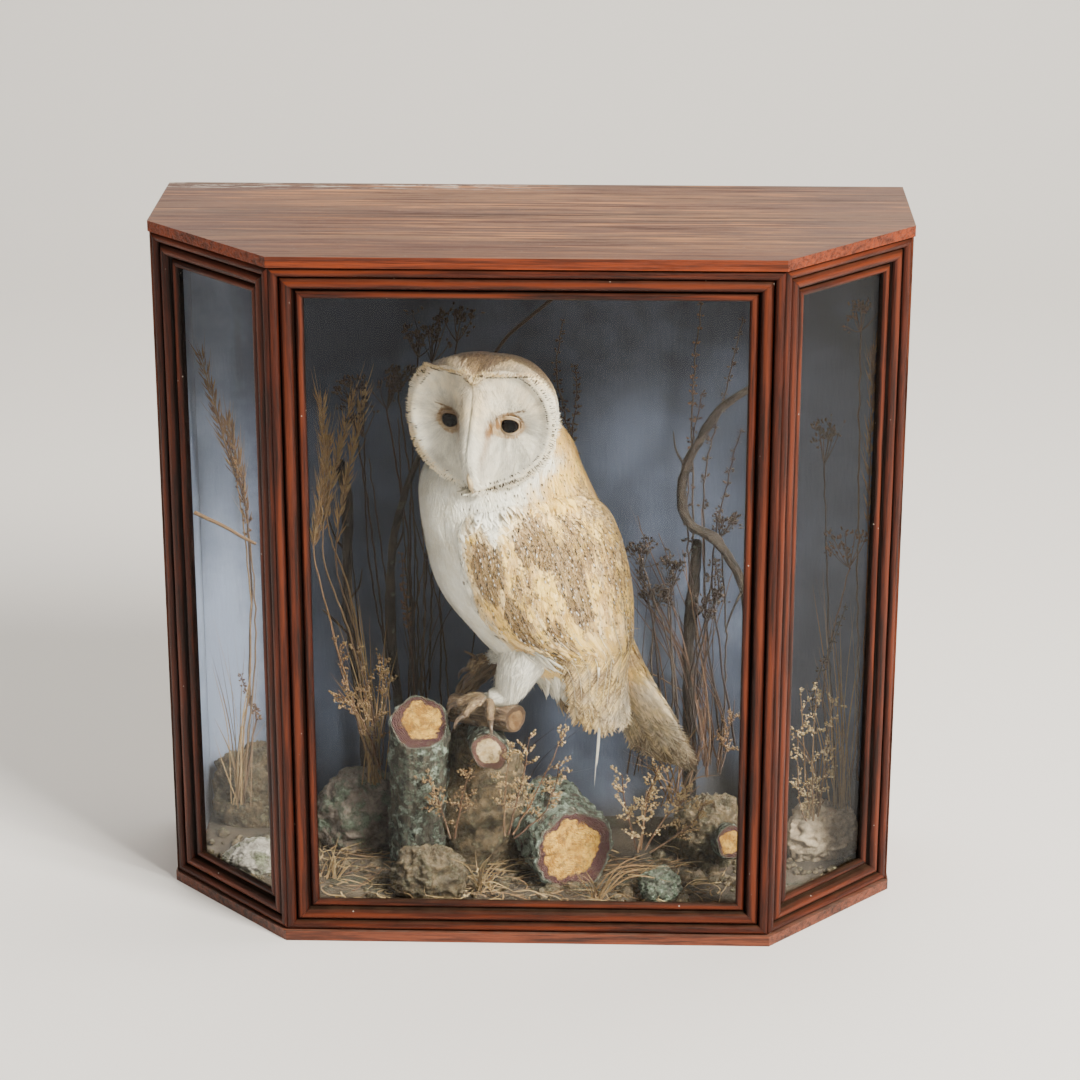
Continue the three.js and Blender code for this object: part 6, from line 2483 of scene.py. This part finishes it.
z, angle = torso_region.scatter(
    0.10, 105, lambda z, angle: (z < 205) & (z > 150) & (np.abs(angle) > 1.9)
)
n = len(z)
tail_coat.lay(
    torso_region, z, angle, TAIL_DOWN + 0.13 * tail_coat.rng.normal(size=(n, 3)),
    tail_coat.rng.uniform(20, 36, n), tail_coat.rng.uniform(2.4, 4.4, n), "plume", rows=5,
    start=-2.0, end=tail_coat.rng.uniform(0, 2.2, n), cup=0.1, tone=np.array([0.18, 0.06, 0.0]),
    free=True, droop=0.12, curl=tail_coat.rng.normal(0, 0.05, n),
)
z, angle = torso_region.scatter(
    0.22, 107, lambda z, angle: (z < 168) & (z > 142) & (np.abs(np.abs(angle) - 1.45) < 0.75)
)
n = len(z)
tail_coat.lay(
    torso_region, z, angle, -UP - 0.15 * FORWARD + 0.12 * tail_coat.rng.normal(size=(n, 3)),
    tail_coat.rng.uniform(16, 34, n), tail_coat.rng.uniform(1.6, 3.2, n), "plume", rows=5,
    start=-1.5, end=tail_coat.rng.uniform(-1.5, 0.5, n), cup=0.1, tone=np.array([0.10, 0.05, 0.0]),
    free=True, droop=0.05, curl=tail_coat.rng.normal(0, 0.05, n),
)
tail_coat.coat_piece("coat_tail", vane_plumage, "tail_feather")

# %% [markdown]
# ## Legs and feet
# The thighs wear loose plumes. The shanks are slim with short white feathers that thin out to
# bristles on the toes, which grip the wood and end in long curved claws.

# %% Lay the legs
leg_coat = Coat(111)
white_legs = np.array([0.05, 0.0, 0.0])
for region, seed in zip(thigh_regions, (112, 113)):
    run, turn = region.scatter(1.25, seed)
    n = len(run)
    down = unit(region.at(run + 0.01, turn) - region.at(run, turn))
    leg_coat.lay(
        region, run, turn, down + 0.16 * leg_coat.rng.normal(size=(n, 3)),
        leg_coat.rng.uniform(8, 14, n), leg_coat.rng.uniform(0.9, 1.7, n), "plume", rows=3,
        start=-2.8, end=leg_coat.rng.uniform(-0.8, 0.8, n), tone=white_legs,
    )
    run, turn = region.scatter(0.5, seed + 10, lambda run, turn: run > 0.35)
    n = len(run)
    down = unit(region.at(run + 0.01, turn) - region.at(run, turn)) - 0.5 * UP
    outward = region.frame(run, turn)[1]
    leg_coat.lay(
        region, run, turn, down + 0.16 * outward + 0.12 * leg_coat.rng.normal(size=(n, 3)),
        leg_coat.rng.uniform(11, 23, n), 1.0, "plume", rows=3, start=-1.5,
        end=leg_coat.rng.uniform(-0.2, 0.8, n), tone=white_legs, free=True, droop=0.08,
    )
for region, seed in zip(shank_regions, (114, 115)):
    run, turn = region.scatter(3.0, seed)
    n = len(run)
    down = unit(region.at(run + 0.01, turn) - region.at(run, turn))
    leg_coat.lay(
        region, run, turn, down + 0.22 * leg_coat.rng.normal(size=(n, 3)),
        leg_coat.rng.uniform(3.5, 6, n), 0.8, "point", rows=2, start=-1.6,
        end=leg_coat.rng.uniform(-0.4, 0.9, n), tone=white_legs,
    )

# %% Toes and claws
toe_skin, surface = material("toe scales", Roughness=0.6, Specular_IOR_Level=0.4)
point = place_of()
scale_cells = put(
    "TexVoronoi", {"Vector": point, "Scale": 900.0, "Randomness": 0.8}
).outputs["Distance"]
toe_tone = mixed(
    span(cloud(point, 0.004, 3, 0.6), 0.3, 0.7), (0.080, 0.05, 0.027), (0.20, 0.13, 0.068)
)
toe_tone = mixed(span(scale_cells, 0.35, 0.62, 0.0, 0.55), toe_tone, (0.11, 0.06, 0.03))
finish_with(surface, toe_tone, span(scale_cells, 0.1, 0.6, 0.5, 0.75), scale_cells, -0.0003)
claw_horn, surface = material("dark horn", Roughness=0.3, Coat_Weight=0.2)
point = place_of()
claw_lines = cloud(stretched(point, (1, 1, 0.25)), 0.0016, 3, 0.6)
finish_with(surface, mixed(span(claw_lines, 0.3, 0.7), (0.035, 0.022, 0.015), (0.14, 0.09, 0.055)))
for name, ankle, toes in (
    ("foot_left", LEFT_ANKLE, LEFT_TOES), ("foot_right", RIGHT_ANKLE, RIGHT_TOES)
):
    toe_heap, claw_heap = Heap(), Heap()
    for toe, (dx, dy, drop) in enumerate(toes):
        stations = toe_stations(ankle, (dx, dy, drop))
        at, axis = rod(stations)

        def knuckled(run, turn):
            core = axis(run)
            pads = 0.86 + 0.12 * np.cos(
                run * 2 * math.pi * 3.2
            ) + 0.05 * np.cos(turn * 9 + run * 30)
            return core + (at(run, turn) - core) * column(pads)

        closed_grid(toe_heap, knuckled, np.linspace(0.01, 0.99, 40), full_turn(24))
        end = np.array(stations[-1][:3])
        out = unit(np.array([dx, dy, 0.0]))
        claw = [(*(end - 1.5 * out + [0, 0, 0.4]), 1.9), (*(end + 3.2 * out - [0, 0, 1.0]), 1.5),
                (*(end + 6.0 * out - [0, 0, 4.6]), 0.9), (*(end + 6.6 * out - [0, 0, 8.2]), 0.25)]
        claw_at, _ = rod(claw, 0.05)
        closed_grid(claw_heap, claw_at, np.linspace(0.01, 0.99, 20), full_turn(14))
        region = Region(
            at, lambda p, a, b, axis=axis: p - axis(a), (0.05, 0.86), (0, 2 * math.pi), (
                0.87, 0.605, 0.995, 0.645
            )
        )
        run, turn = region.scatter(
            1.0, 120 + toe, lambda run, turn: leg_coat.rng.random(len(run)) > run * 0.9
        )
        down = unit(region.at(run + 0.01, turn) - region.at(run, turn))
        leg_coat.lay(
            region, run, turn, down + 0.3 * leg_coat.rng.normal(size=(len(run), 3)),
            leg_coat.rng.uniform(2.5, 4.5, len(run)), 0.4, "point", rows=2, start=-0.6,
            end=leg_coat.rng.uniform(0.1, 1.0, len(run)), tone=np.array([0.55, 0.55, 0.3]),
        )
    toe_piece = toe_heap.piece(name + "_toes", toe_skin, "toe")
    claw_heap.piece(name + "_claws", claw_horn, "horn")
    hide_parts(name)
leg_coat.coat_piece("coat_legs", soft_plumage, "white_feather")
# %% [markdown]
# ## Dried plants
# Grasses, heather, dock and seed heads, brown with age, fill the case behind and beside the bird.
# Each kind is a rule: a stem through a few places, with seeds, buds or side shoots set along it.
# Seeds are small closed grains, all turned to their own direction at once.

# %% Finish of dry plants
dry, surface = material("dry plants", Roughness=0.85, Specular_IOR_Level=0.2)
kind, own, _ = parts_of(put("Attribute", attribute_name="tint").outputs["Vector"])
point = place_of()
fibre = cloud(point, 0.0016, 4, 0.65)
tone = colours(
    plus(kind, span(fibre, 0.25, 0.75, -0.07, 0.07), clamp=True),
    (0.0, (0.014, 0.010, 0.010)), (0.2, (0.038, 0.024, 0.020)), (0.4, (0.125, 0.060, 0.032)),
    (0.6, (0.27, 0.165, 0.070)), (0.8, (0.44, 0.31, 0.14)), (1.0, (0.64, 0.53, 0.32)),
)
tone = mixed(times(own, 0.5), tone, (0.085, 0.064, 0.045))
finish_with(surface, tone, None, fibre, 0.0002)
print("made", dry.name)


# %% Kinds of growth
class Growth(Heap):
    """A heap of stems, seeds and blades with a tint from 0 (dark) over rust and straw to 1 (cream)."""

    def __init__(self, seed):
        super().__init__()
        self.rng = np.random.default_rng(seed)

    def tinted(self, n, tint):
        return np.stack(
            [
                np.clip(tint + self.rng.normal(0, 0.05, n), 0, 1), self.rng.random(n),
                self.rng.random(n)
            ],
            -1
        )

    def stem(self, points, thick, thin, tint, sides=5, waver=0.8):
        points = np.array(points, float)
        length = np.sum(np.linalg.norm(np.diff(points, axis=0), axis=1))
        runs = np.linspace(0, 1, max(int(length / 7), 4))
        line = path(points)(runs)
        line[1:] += waver * self.rng.normal(size=(len(runs) - 1, 3)) * [0.5, 0.5, 0.1]
        heading = unit(np.gradient(line, axis=0))
        run, turn = np.meshgrid(runs, full_turn(sides), indexing="ij")
        tube = tube_round(line, heading, [0.3, 0.9, 0.31], blend(thick, thin, run), turn)
        self.add(
            tube, grid_faces(len(runs), sides, wrap=True)[:, ::-1],
            tint=np.repeat(self.tinted(1, tint), tube.size // 3, 0)
        )
        return line

    def seeds(self, places, headings, long, wide, tint, sides=4):
        """Closed grains from each place along its heading, fattest past the middle."""
        n = len(places)
        headings = unit(headings)
        side = unit(np.cross(headings, [0.37, 0.82, 0.43]))
        over = np.cross(headings, side)
        long, wide = np.broadcast_to(long, n), np.broadcast_to(wide, n)
        rings = [(0.0, 0.12), (0.35, 0.9), (0.7, 0.75), (1.0, 0.08)]
        turns = full_turn(sides)
        points = np.empty((n, len(rings), sides, 3))
        for i, (at, fat) in enumerate(rings):
            for j, turn in enumerate(turns):
                out = math.cos(turn) * side + math.sin(turn) * over
                points[:, i, j] = places + column(at * long) * headings + column(
                    fat * wide / 2
                ) * out
        each = len(rings) * sides
        faces = grid_faces(len(rings), sides, wrap=True)[:, ::-1]
        faces = (faces[None] + (np.arange(n) * each)[:, None, None]).reshape(-1, 4)
        self.add(points, faces, tint=np.repeat(self.tinted(n, tint), each, 0))

    def blade(self, points, width, tint, steps=9, twist=0.6):
        runs = np.linspace(0, 1, steps)
        line = path(points)(runs)
        heading = unit(np.gradient(line, axis=0))
        turn = self.rng.uniform(0, math.pi) + twist * runs * self.rng.normal()
        side = unit(np.cross(heading, [0.25, 0.95, 0.2]))
        over = np.cross(heading, side)
        across = column(np.cos(turn)) * side + column(np.sin(turn)) * over
        half = column(width / 2 * (1 - runs**2) + 0.04)
        edges = np.stack(
            [
                line - across * half, line + 0.25 * half * np.cross(heading, across),
                line + across * half
            ],
            1
        )
        self.add(edges, grid_faces(steps, 3), tint=np.repeat(self.tinted(1, tint), 3 * steps, 0))

    def along(self, line, at):
        """The places at shares (0 to 1) of a line's points."""
        share = np.linspace(0, 1, len(line))
        return np.stack([np.interp(at, share, line[:, i]) for i in range(3)], -1)

    def spread(self, n):
        return self.rng.normal(size=(n, 3))

    def ear(self, points, tint, head=0.55, count=150, long=8.0, wide=1.1, lean=0.42, thick=0.75):
        """A grass ear: long pointed grains packed up the last part of a stem, with fine awns."""
        line = self.stem(points, thick, 0.3, tint)
        at = head + (1 - head) * self.rng.random(count) ** 0.9
        place = self.along(line, at)
        way = unit(line[-1] - line[len(line) // 2])
        out = unit(self.spread(count))
        self.seeds(
            place + out * 1.1, way + lean * out, long * self.rng.uniform(0.7, 1.3, count), wide,
            tint
        )
        for k in range(0, count, 2):
            tip = place[k] + (way + lean * out[k]) * long * self.rng.uniform(1.6, 2.8)
            self.blade([place[k], (place[k] + tip) / 2 + out[k], tip], 0.32, tint + 0.08, steps=4)

    def spike(self, points, tint, head=0.45, count=64, size=3.4, thick=0.9):
        """A dock or mint spike: whorls of small capsules up the stem."""
        line = self.stem(points, thick, 0.35, tint * 0.8)
        whorl = np.linspace(head, 0.99, max(count // 7, 4))
        at = np.repeat(whorl, 7) + self.rng.normal(0, 0.004, 7 * len(whorl))
        place = self.along(line, at)
        out = unit(self.spread(len(at)) * [1, 1, 0.35])
        big = size * self.rng.uniform(0.6, 1.15, len(at)) * (1.15 - 0.6 * at)
        self.seeds(place + out * column(0.6 * big), out + [0, 0, 0.5], big, big * 0.72, tint)
        self.seeds(place, out + [0, 0, 0.2], big * 0.9, 0.3, tint * 0.8, sides=3)

    def cluster(self, centre, reach, foot, tint, count=70):
        """A branching flat head of small dark buds on wiry stalks."""
        centre, foot = np.array(centre, float), np.array(foot, float)
        knee = centre - [0, 0, 1.5 * reach]
        side = self.rng.normal(0, 6, 3) * [1, 0.4, 0]
        self.stem([foot, (foot + knee) / 2 + side, knee], 0.85, 0.55, tint * 0.9)
        arms = centre + self.spread(9) * reach * [0.62, 0.35, 0.42]
        for arm in arms:
            self.stem(
                [knee, (knee + arm) / 2 + [0, 0, -1.5], arm], 0.45, 0.25, tint * 0.9, sides=4,
                waver=0.3
            )
        home = arms[self.rng.integers(0, len(arms), count)]
        place = home + self.spread(count) * reach * 0.19
        out = unit(place - knee) + 0.5 * self.spread(count)
        self.seeds(
            place, out, self.rng.uniform(2.2, 4.2, count), self.rng.uniform(1.4, 2.6, count), tint
        )
        self.seeds(
            home, place - home + 0.01, np.linalg.norm(place - home, axis=-1), 0.35, tint * 0.9,
            sides=3
        )

    def heather(self, points, tint, shoots=13, grains=13, reach=15):
        """A wiry sprig with side shoots that carry tiny bells."""
        line = self.stem(points, 0.75, 0.3, tint * 0.55)
        way = unit(line[-1] - line[0])
        for k in range(shoots):
            at = self.rng.uniform(0.25, 1.0)
            start = self.along(line, at)
            out = unit(self.spread(1)[0] * [1, 0.8, 0.3] + 0.9 * way)
            tip = start + out * reach * self.rng.uniform(0.5, 1.1) * (1.15 - 0.5 * at)
            self.stem(
                [start, (start + tip) / 2 - [0, 0, 0.8], tip], 0.3, 0.16, tint * 0.6, sides=4,
                waver=0.25
            )
            place = start + (tip - start) * np.sort(self.rng.random(grains))[:, None] ** 0.7
            place = place + 0.75 * self.spread(grains)
            size = self.rng.uniform(1.2, 2.3, grains)
            self.seeds(place, out + 0.7 * self.spread(grains), size, size * 0.8, tint)


print(
    "kinds of growth:",
    [kind for kind in vars(Growth) if kind in ("ear", "spike", "cluster", "heather", "blade")]
)

# %% [markdown]
# The places below are where each stem stands, bends and ends, in millimetres from the middle of the
# case's foot.

# %% Where the plants grow
EARS = [
    [(-109, 30, 68), (-125, 45, 159), (-144, 50, 221), (-135, 55, 279), (-122, 60, 330)],
    [(-107, 30, 68), (-119, 45, 151), (-135, 50, 215), (-127, 55, 272), (-114, 60, 333)],
    [(-112, 30, 67), (-133, 45, 144), (-149, 48, 216), (-147, 52, 244), (-138, 56, 300)],
    [(-106, 35, 65), (-125, 50, 186), (-140, 55, 235), (-141, 58, 278), (-144, 62, 326)],
    [(-207, 40, 39), (-194, 45, 158), (-199, 50, 258), (-210, 52, 308), (-222, 55, 359)],
    [(-203, 40, 39), (-191, 45, 158), (-193, 50, 229), (-199, 52, 279), (-206, 55, 314)],
    [(219, 40, 44), (226, 45, 125), (227, 50, 219), (226, 50, 319), (226, 50, 372)],
]
RUST_SPIKES = [
    [(-83, 55, 110), (-85, 55, 148), (-87, 55, 170), (-89, 55, 192), (-90, 55, 220)],
    [(-202, 45, 44), (-195, 45, 83), (-192, 45, 102), (-197, 45, 113), (-202, 45, 132)],
    [(-197, 50, 111), (-194, 50, 185), (-194, 50, 244), (-199, 50, 273), (-206, 50, 301)],
    [(116, 60, 76), (110, 66, 212), (107, 70, 312), (108, 72, 349), (112, 75, 395)],
]
DARK_SPIKES = [
    [(131, 50, 81), (119, 50, 174), (116, 48, 277), (128, 48, 337), (139, 48, 391)],
    [(125, 52, 80), (112, 52, 173), (105, 50, 233), (106, 50, 294), (113, 50, 338)],
    [(140, 40, 85), (127, 42, 163), (122, 44, 220), (131, 46, 277), (139, 46, 313)],
    [(54, 70, 180), (38, 70, 254), (26, 72, 296), (29, 72, 325), (28, 74, 349)],
    [(46, 74, 179), (33, 74, 267), (22, 75, 309), (15, 76, 344), (19, 78, 379)],
    [(102, 45, 82), (95, 45, 161), (92, 45, 191), (95, 45, 205), (92, 45, 228)],
    [(91, 45, 82), (84, 45, 161), (77, 45, 198), (73, 45, 212), (75, 45, 237)],
    [(109, 38, 86), (113, 38, 149), (122, 38, 186), (126, 38, 205), (124, 38, 223)],
    [(200, 30, 26), (195, 32, 93), (192, 34, 122), (202, 36, 159), (213, 38, 190)],
]
CLUSTERS = [
    ((-69, 70, 376), 17, (-79, 60, 115), 0.06), ((-52, 72, 383), 12, (-73, 62, 115), 0.05),
    ((-78, 70, 368), 9, (-83, 60, 108), 0.08), ((-99, 60, 339), 12, (-86, 55, 117), 0.1),
    ((-115, 58, 318), 11, (-97, 55, 117), 0.1), ((-122, 60, 336), 9, (-100, 55, 110), 0.12),
    ((-91, 62, 346), 8, (-81, 60, 115), 0.08), ((75, 45, 228), 9, (94, 45, 82), 0.12),
    ((94, 45, 213), 9, (103, 45, 82), 0.1), ((195, 45, 309), 13, (211, 42, 43), 0.22),
    ((214, 40, 237), 13, (214, 40, 36), 0.3), ((216, 45, 396), 9, (226, 45, 57), 0.36),
    ((118, 40, 193), 9, (116, 42, 84), 0.16), ((83, 46, 193), 6, (94, 46, 82), 0.1),
    ((127, 48, 248), 8, (131, 48, 81), 0.12),
]
HEATHER = [
    ([(-14, -48, 57), (-6, -48, 90), (1, -46, 129)], 0.7),
    ([(-11, -48, 57), (4, -48, 86), (24, -46, 133)], 0.72),
    ([(-16, -50, 57), (-16, -50, 91), (-11, -48, 123)], 0.68),
    ([(-10, -45, 53), (11, -45, 74), (21, -44, 107)], 0.66),
    ([(75, -40, 43), (79, -38, 79), (87, -36, 104)], 0.75),
    ([(78, -40, 43), (93, -38, 68), (114, -36, 89)], 0.72),
    ([(72, -40, 43), (65, -38, 71), (62, -36, 96)], 0.75),
    ([(81, -38, 40), (108, -36, 60), (118, -34, 78)], 0.7),
    ([(73, -42, 42), (77, -42, 62), (78, -42, 88)], 0.78),
    ([(-106, 20, 76), (-110, 24, 115), (-123, 28, 166)], 0.6),
    ([(-104, 20, 76), (-100, 24, 123), (-104, 28, 155)], 0.64),
    ([(-109, 20, 76), (-125, 24, 123), (-138, 30, 176)], 0.55),
    ([(-105, 18, 75), (-117, 20, 110), (-133, 22, 131)], 0.6),
    ([(196, 20, 30), (189, 22, 60), (183, 24, 134)], 0.86),
    ([(197, 20, 30), (200, 22, 68), (205, 24, 127)], 0.84),
    ([(195, 18, 30), (192, 20, 76), (193, 22, 139)], 0.86),
    ([(194, 20, 29), (184, 22, 52), (181, 22, 105)], 0.8),
    ([(130, 30, 71), (135, 34, 92), (139, 36, 121)], 0.5),
    ([(-54, -30, 45), (-61, -30, 70), (-69, -30, 88)], 0.62),
    ([(-51, -30, 45), (-46, -30, 74), (-40, -30, 96)], 0.6),
]
# (root, range of tip x, range of tip z, blades, tip y, tint)
TUFTS = [
    ((-109, 28, 60), (-141, -91), (113, 218), 30, 45, 0.62),
    ((116, 46, 70), (43, 141), (158, 276), 16, 50, 0.3),
    ((214, 35, 31), (184, 227), (120, 223), 26, 40, 0.66),
    ((-206, 40, 35), (-226, -186), (82, 187), 18, 45, 0.62),
    ((-80, 60, 100), (-107, -23), (153, 213), 12, 60, 0.16),
    ((-138, -20, 7), (-146, -102), (14, 48), 18, -25, 0.66),
    ((-34, -40, 12), (-67, 7), (12, 46), 22, -48, 0.72),
    ((48, -50, 10), (21, 101), (13, 50), 18, -55, 0.6),
    ((74, 50, 60), (46, 113), (127, 245), 9, 55, 0.22),
    ((100, 40, 40), (60, 140), (60, 120), 30, 20, 0.5),
    ((-20, 50, 8), (-60, 60), (40, 110), 30, 30, 0.18),
    ((196, 30, 40), (170, 226), (50, 120), 16, 20, 0.5),
]

print(
    "plants to grow:",
    sum(len(kind) for kind in (EARS, RUST_SPIKES, DARK_SPIKES, CLUSTERS, HEATHER, TUFTS))
)

# %% Grow them
growth = Growth(301)
for line in EARS:
    growth.ear(line, 0.56 if abs(line[0][0]) < 150 else 0.48, count=130)
for line in RUST_SPIKES:
    growth.spike(line, 0.36, count=84, size=3.2)
for line in DARK_SPIKES:
    growth.spike(line, 0.13, count=84, size=3.8)
for centre, reach, foot, tint in CLUSTERS:
    growth.cluster(centre, reach, foot, tint)
for line, tint in HEATHER:
    growth.heather(line, tint)
growth.piece("dried_plants", dry, "dry_plant")
print("plants:", growth.triangles(), "triangles")

# %% Grow the grasses
plant_rng = growth.rng
growth = Growth(302)
growth.rng = plant_rng
for root, x_range, z_range, blades, y, tint in TUFTS:
    for k in range(blades):
        foot = np.array(root) + growth.rng.normal(0, 3.5, 3) * [1, 1, 0]
        tip = np.array(
            [
                growth.rng.uniform(*x_range), y + growth.rng.normal(0, 5),
                growth.rng.uniform(*z_range)
            ]
        )
        middle = (foot + tip) / 2 + [
            0.12 * (foot[0] - tip[0]) + growth.rng.normal(0, 2), 0, 0.16 * abs(tip[0] - foot[0]) + 2
        ]
        growth.blade([foot, middle, tip], growth.rng.uniform(0.6, 1.3), tint, steps=12)
growth.stem([(14, 62, 400), (-5, 64, 383), (-23, 66, 364), (-36, 66, 330)], 1.5, 1.2, 0.08)
growth.stem([(-229, 40, 253), (-209, 42, 242), (-189, 44, 229)], 1.5, 1.1, 0.4)
# fine dark stems fan out behind the tail, and wiry shoots rise behind the bird
for k in range(20):
    root = np.array([growth.rng.uniform(92, 132), growth.rng.uniform(40, 66), 60])
    tip = np.array(
        [growth.rng.uniform(48, 142), growth.rng.uniform(48, 74), growth.rng.uniform(150, 262)]
    )
    growth.stem([root, root + [0, 0, 50], tip], 0.7, 0.3, growth.rng.uniform(0.1, 0.4), waver=0.6)
for k in range(11):
    root = np.array([growth.rng.uniform(-110, -50), growth.rng.uniform(56, 76), 80])
    tip = root + [growth.rng.uniform(-30, 25), 0, growth.rng.uniform(90, 230)]
    growth.stem(
        [root, (root + tip) / 2 + [growth.rng.normal(0, 5), 0, 0], tip], 0.9, 0.35,
        growth.rng.uniform(0.03, 0.15)
    )
# curled dry grass lies about on the floor and the stones
FLOOR_BLADES = 400
for k in range(FLOOR_BLADES):
    x, y = growth.rng.normal([-110, -40, 30, 90][k % 4], 28), growth.rng.uniform(-72, 20)
    start = np.array([x, y, growth.rng.uniform(9.5, 13)])
    way = growth.rng.uniform(0, 2 * math.pi)
    curl = growth.rng.normal(0, 1.0)
    reach = growth.rng.uniform(12, 36)
    points = [start]
    for step in range(4):
        bent = way + curl * step
        onward = [math.cos(bent), 0.6 * math.sin(bent), growth.rng.uniform(-0.12, 0.35)]
        points.append(points[-1] + reach / 3 * np.array(onward))
    points = np.clip(points, [-150, -76, 9.2], [150, 80, 60])
    growth.blade(points, growth.rng.uniform(0.5, 1.0), growth.rng.uniform(0.45, 0.8), steps=9)
growth.piece("dried_grasses", dry, "dry_plant")
print("grasses:", growth.triangles(), "triangles")
# %% [markdown]
# ## Studio
# A plain pale sweep, a large soft lamp high at the right and in front, and a weak fill at the left.

# %% Floor and backdrop
sweep_material, surface = material("pale sweep", Roughness=0.75, Specular_IOR_Level=0.2)
paper = cloud(place_of(), 0.4, 3, 0.5)
join(mixed(paper, (0.84, 0.812, 0.768), (0.86, 0.832, 0.788)), surface.inputs["Base Color"])
BEND, BACK_AT, FAR_SIDE = 0.9, 1.5, 4.0
profile = [(-3.0, 0.0), (BACK_AT, 0.0)]
profile += [
    (BACK_AT + BEND * math.sin(a), BEND * (1 - math.cos(a)))
    for a in np.linspace(0.15, math.pi / 2, 12)
]
profile += [(BACK_AT + BEND, 4.0)]
sweep_points = np.array([(side * FAR_SIDE, y, z) for y, z in profile for side in (-1, 1)]) / MM
sweep = piece_from("sweep", sweep_points, [grid_faces(len(profile), 2)], sweep_material, "rock")
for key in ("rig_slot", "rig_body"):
    if key in sweep:
        del sweep[key]
sweep.parent = None
sweep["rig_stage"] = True
print("sweep laid:", len(profile), "steps")

# %% Lamps


def lamp(name, place, aim, size, power, colour):
    light = bpy.data.lights.new(name, "AREA")
    light.shape = "DISK"
    light.size = size
    light.energy = power
    light.color = colour
    made = bpy.data.objects.new(name, light)
    made.location = place
    made.rotation_euler = (Vector(aim) - Vector(place)).to_track_quat("-Z", "Y").to_euler()
    bpy.context.scene.collection.objects.link(made)


lamp("key", (1.65, -1.6, 2.0), (0, 0, 0.2), 1.0, 225, (1.0, 0.955, 0.89))
lamp("fill", (-1.9, -1.6, 1.3), (0, 0, 0.2), 1.4, 6, (0.97, 0.98, 1.0))
lamp("over", (0.1, 0.5, 2.6), (0, 0.1, 0.3), 1.6, 40, (1.0, 0.97, 0.93))
world = bpy.data.worlds.new("studio")
world.use_nodes = True
world.node_tree.nodes["Background"].inputs[0].default_value = (0.82, 0.80, 0.77, 1)
world.node_tree.nodes["Background"].inputs[1].default_value = 0.25
bpy.context.scene.world = world
print("lamps lit")
# %% [markdown]
# ## The size
# The coat and plants may stand a little proud of the solids. The box round everything but the
# sweep is printed.

# %% Sizes and the end
low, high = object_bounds()
print("visual box", [round(v, 4) for v in (*low, *high)])
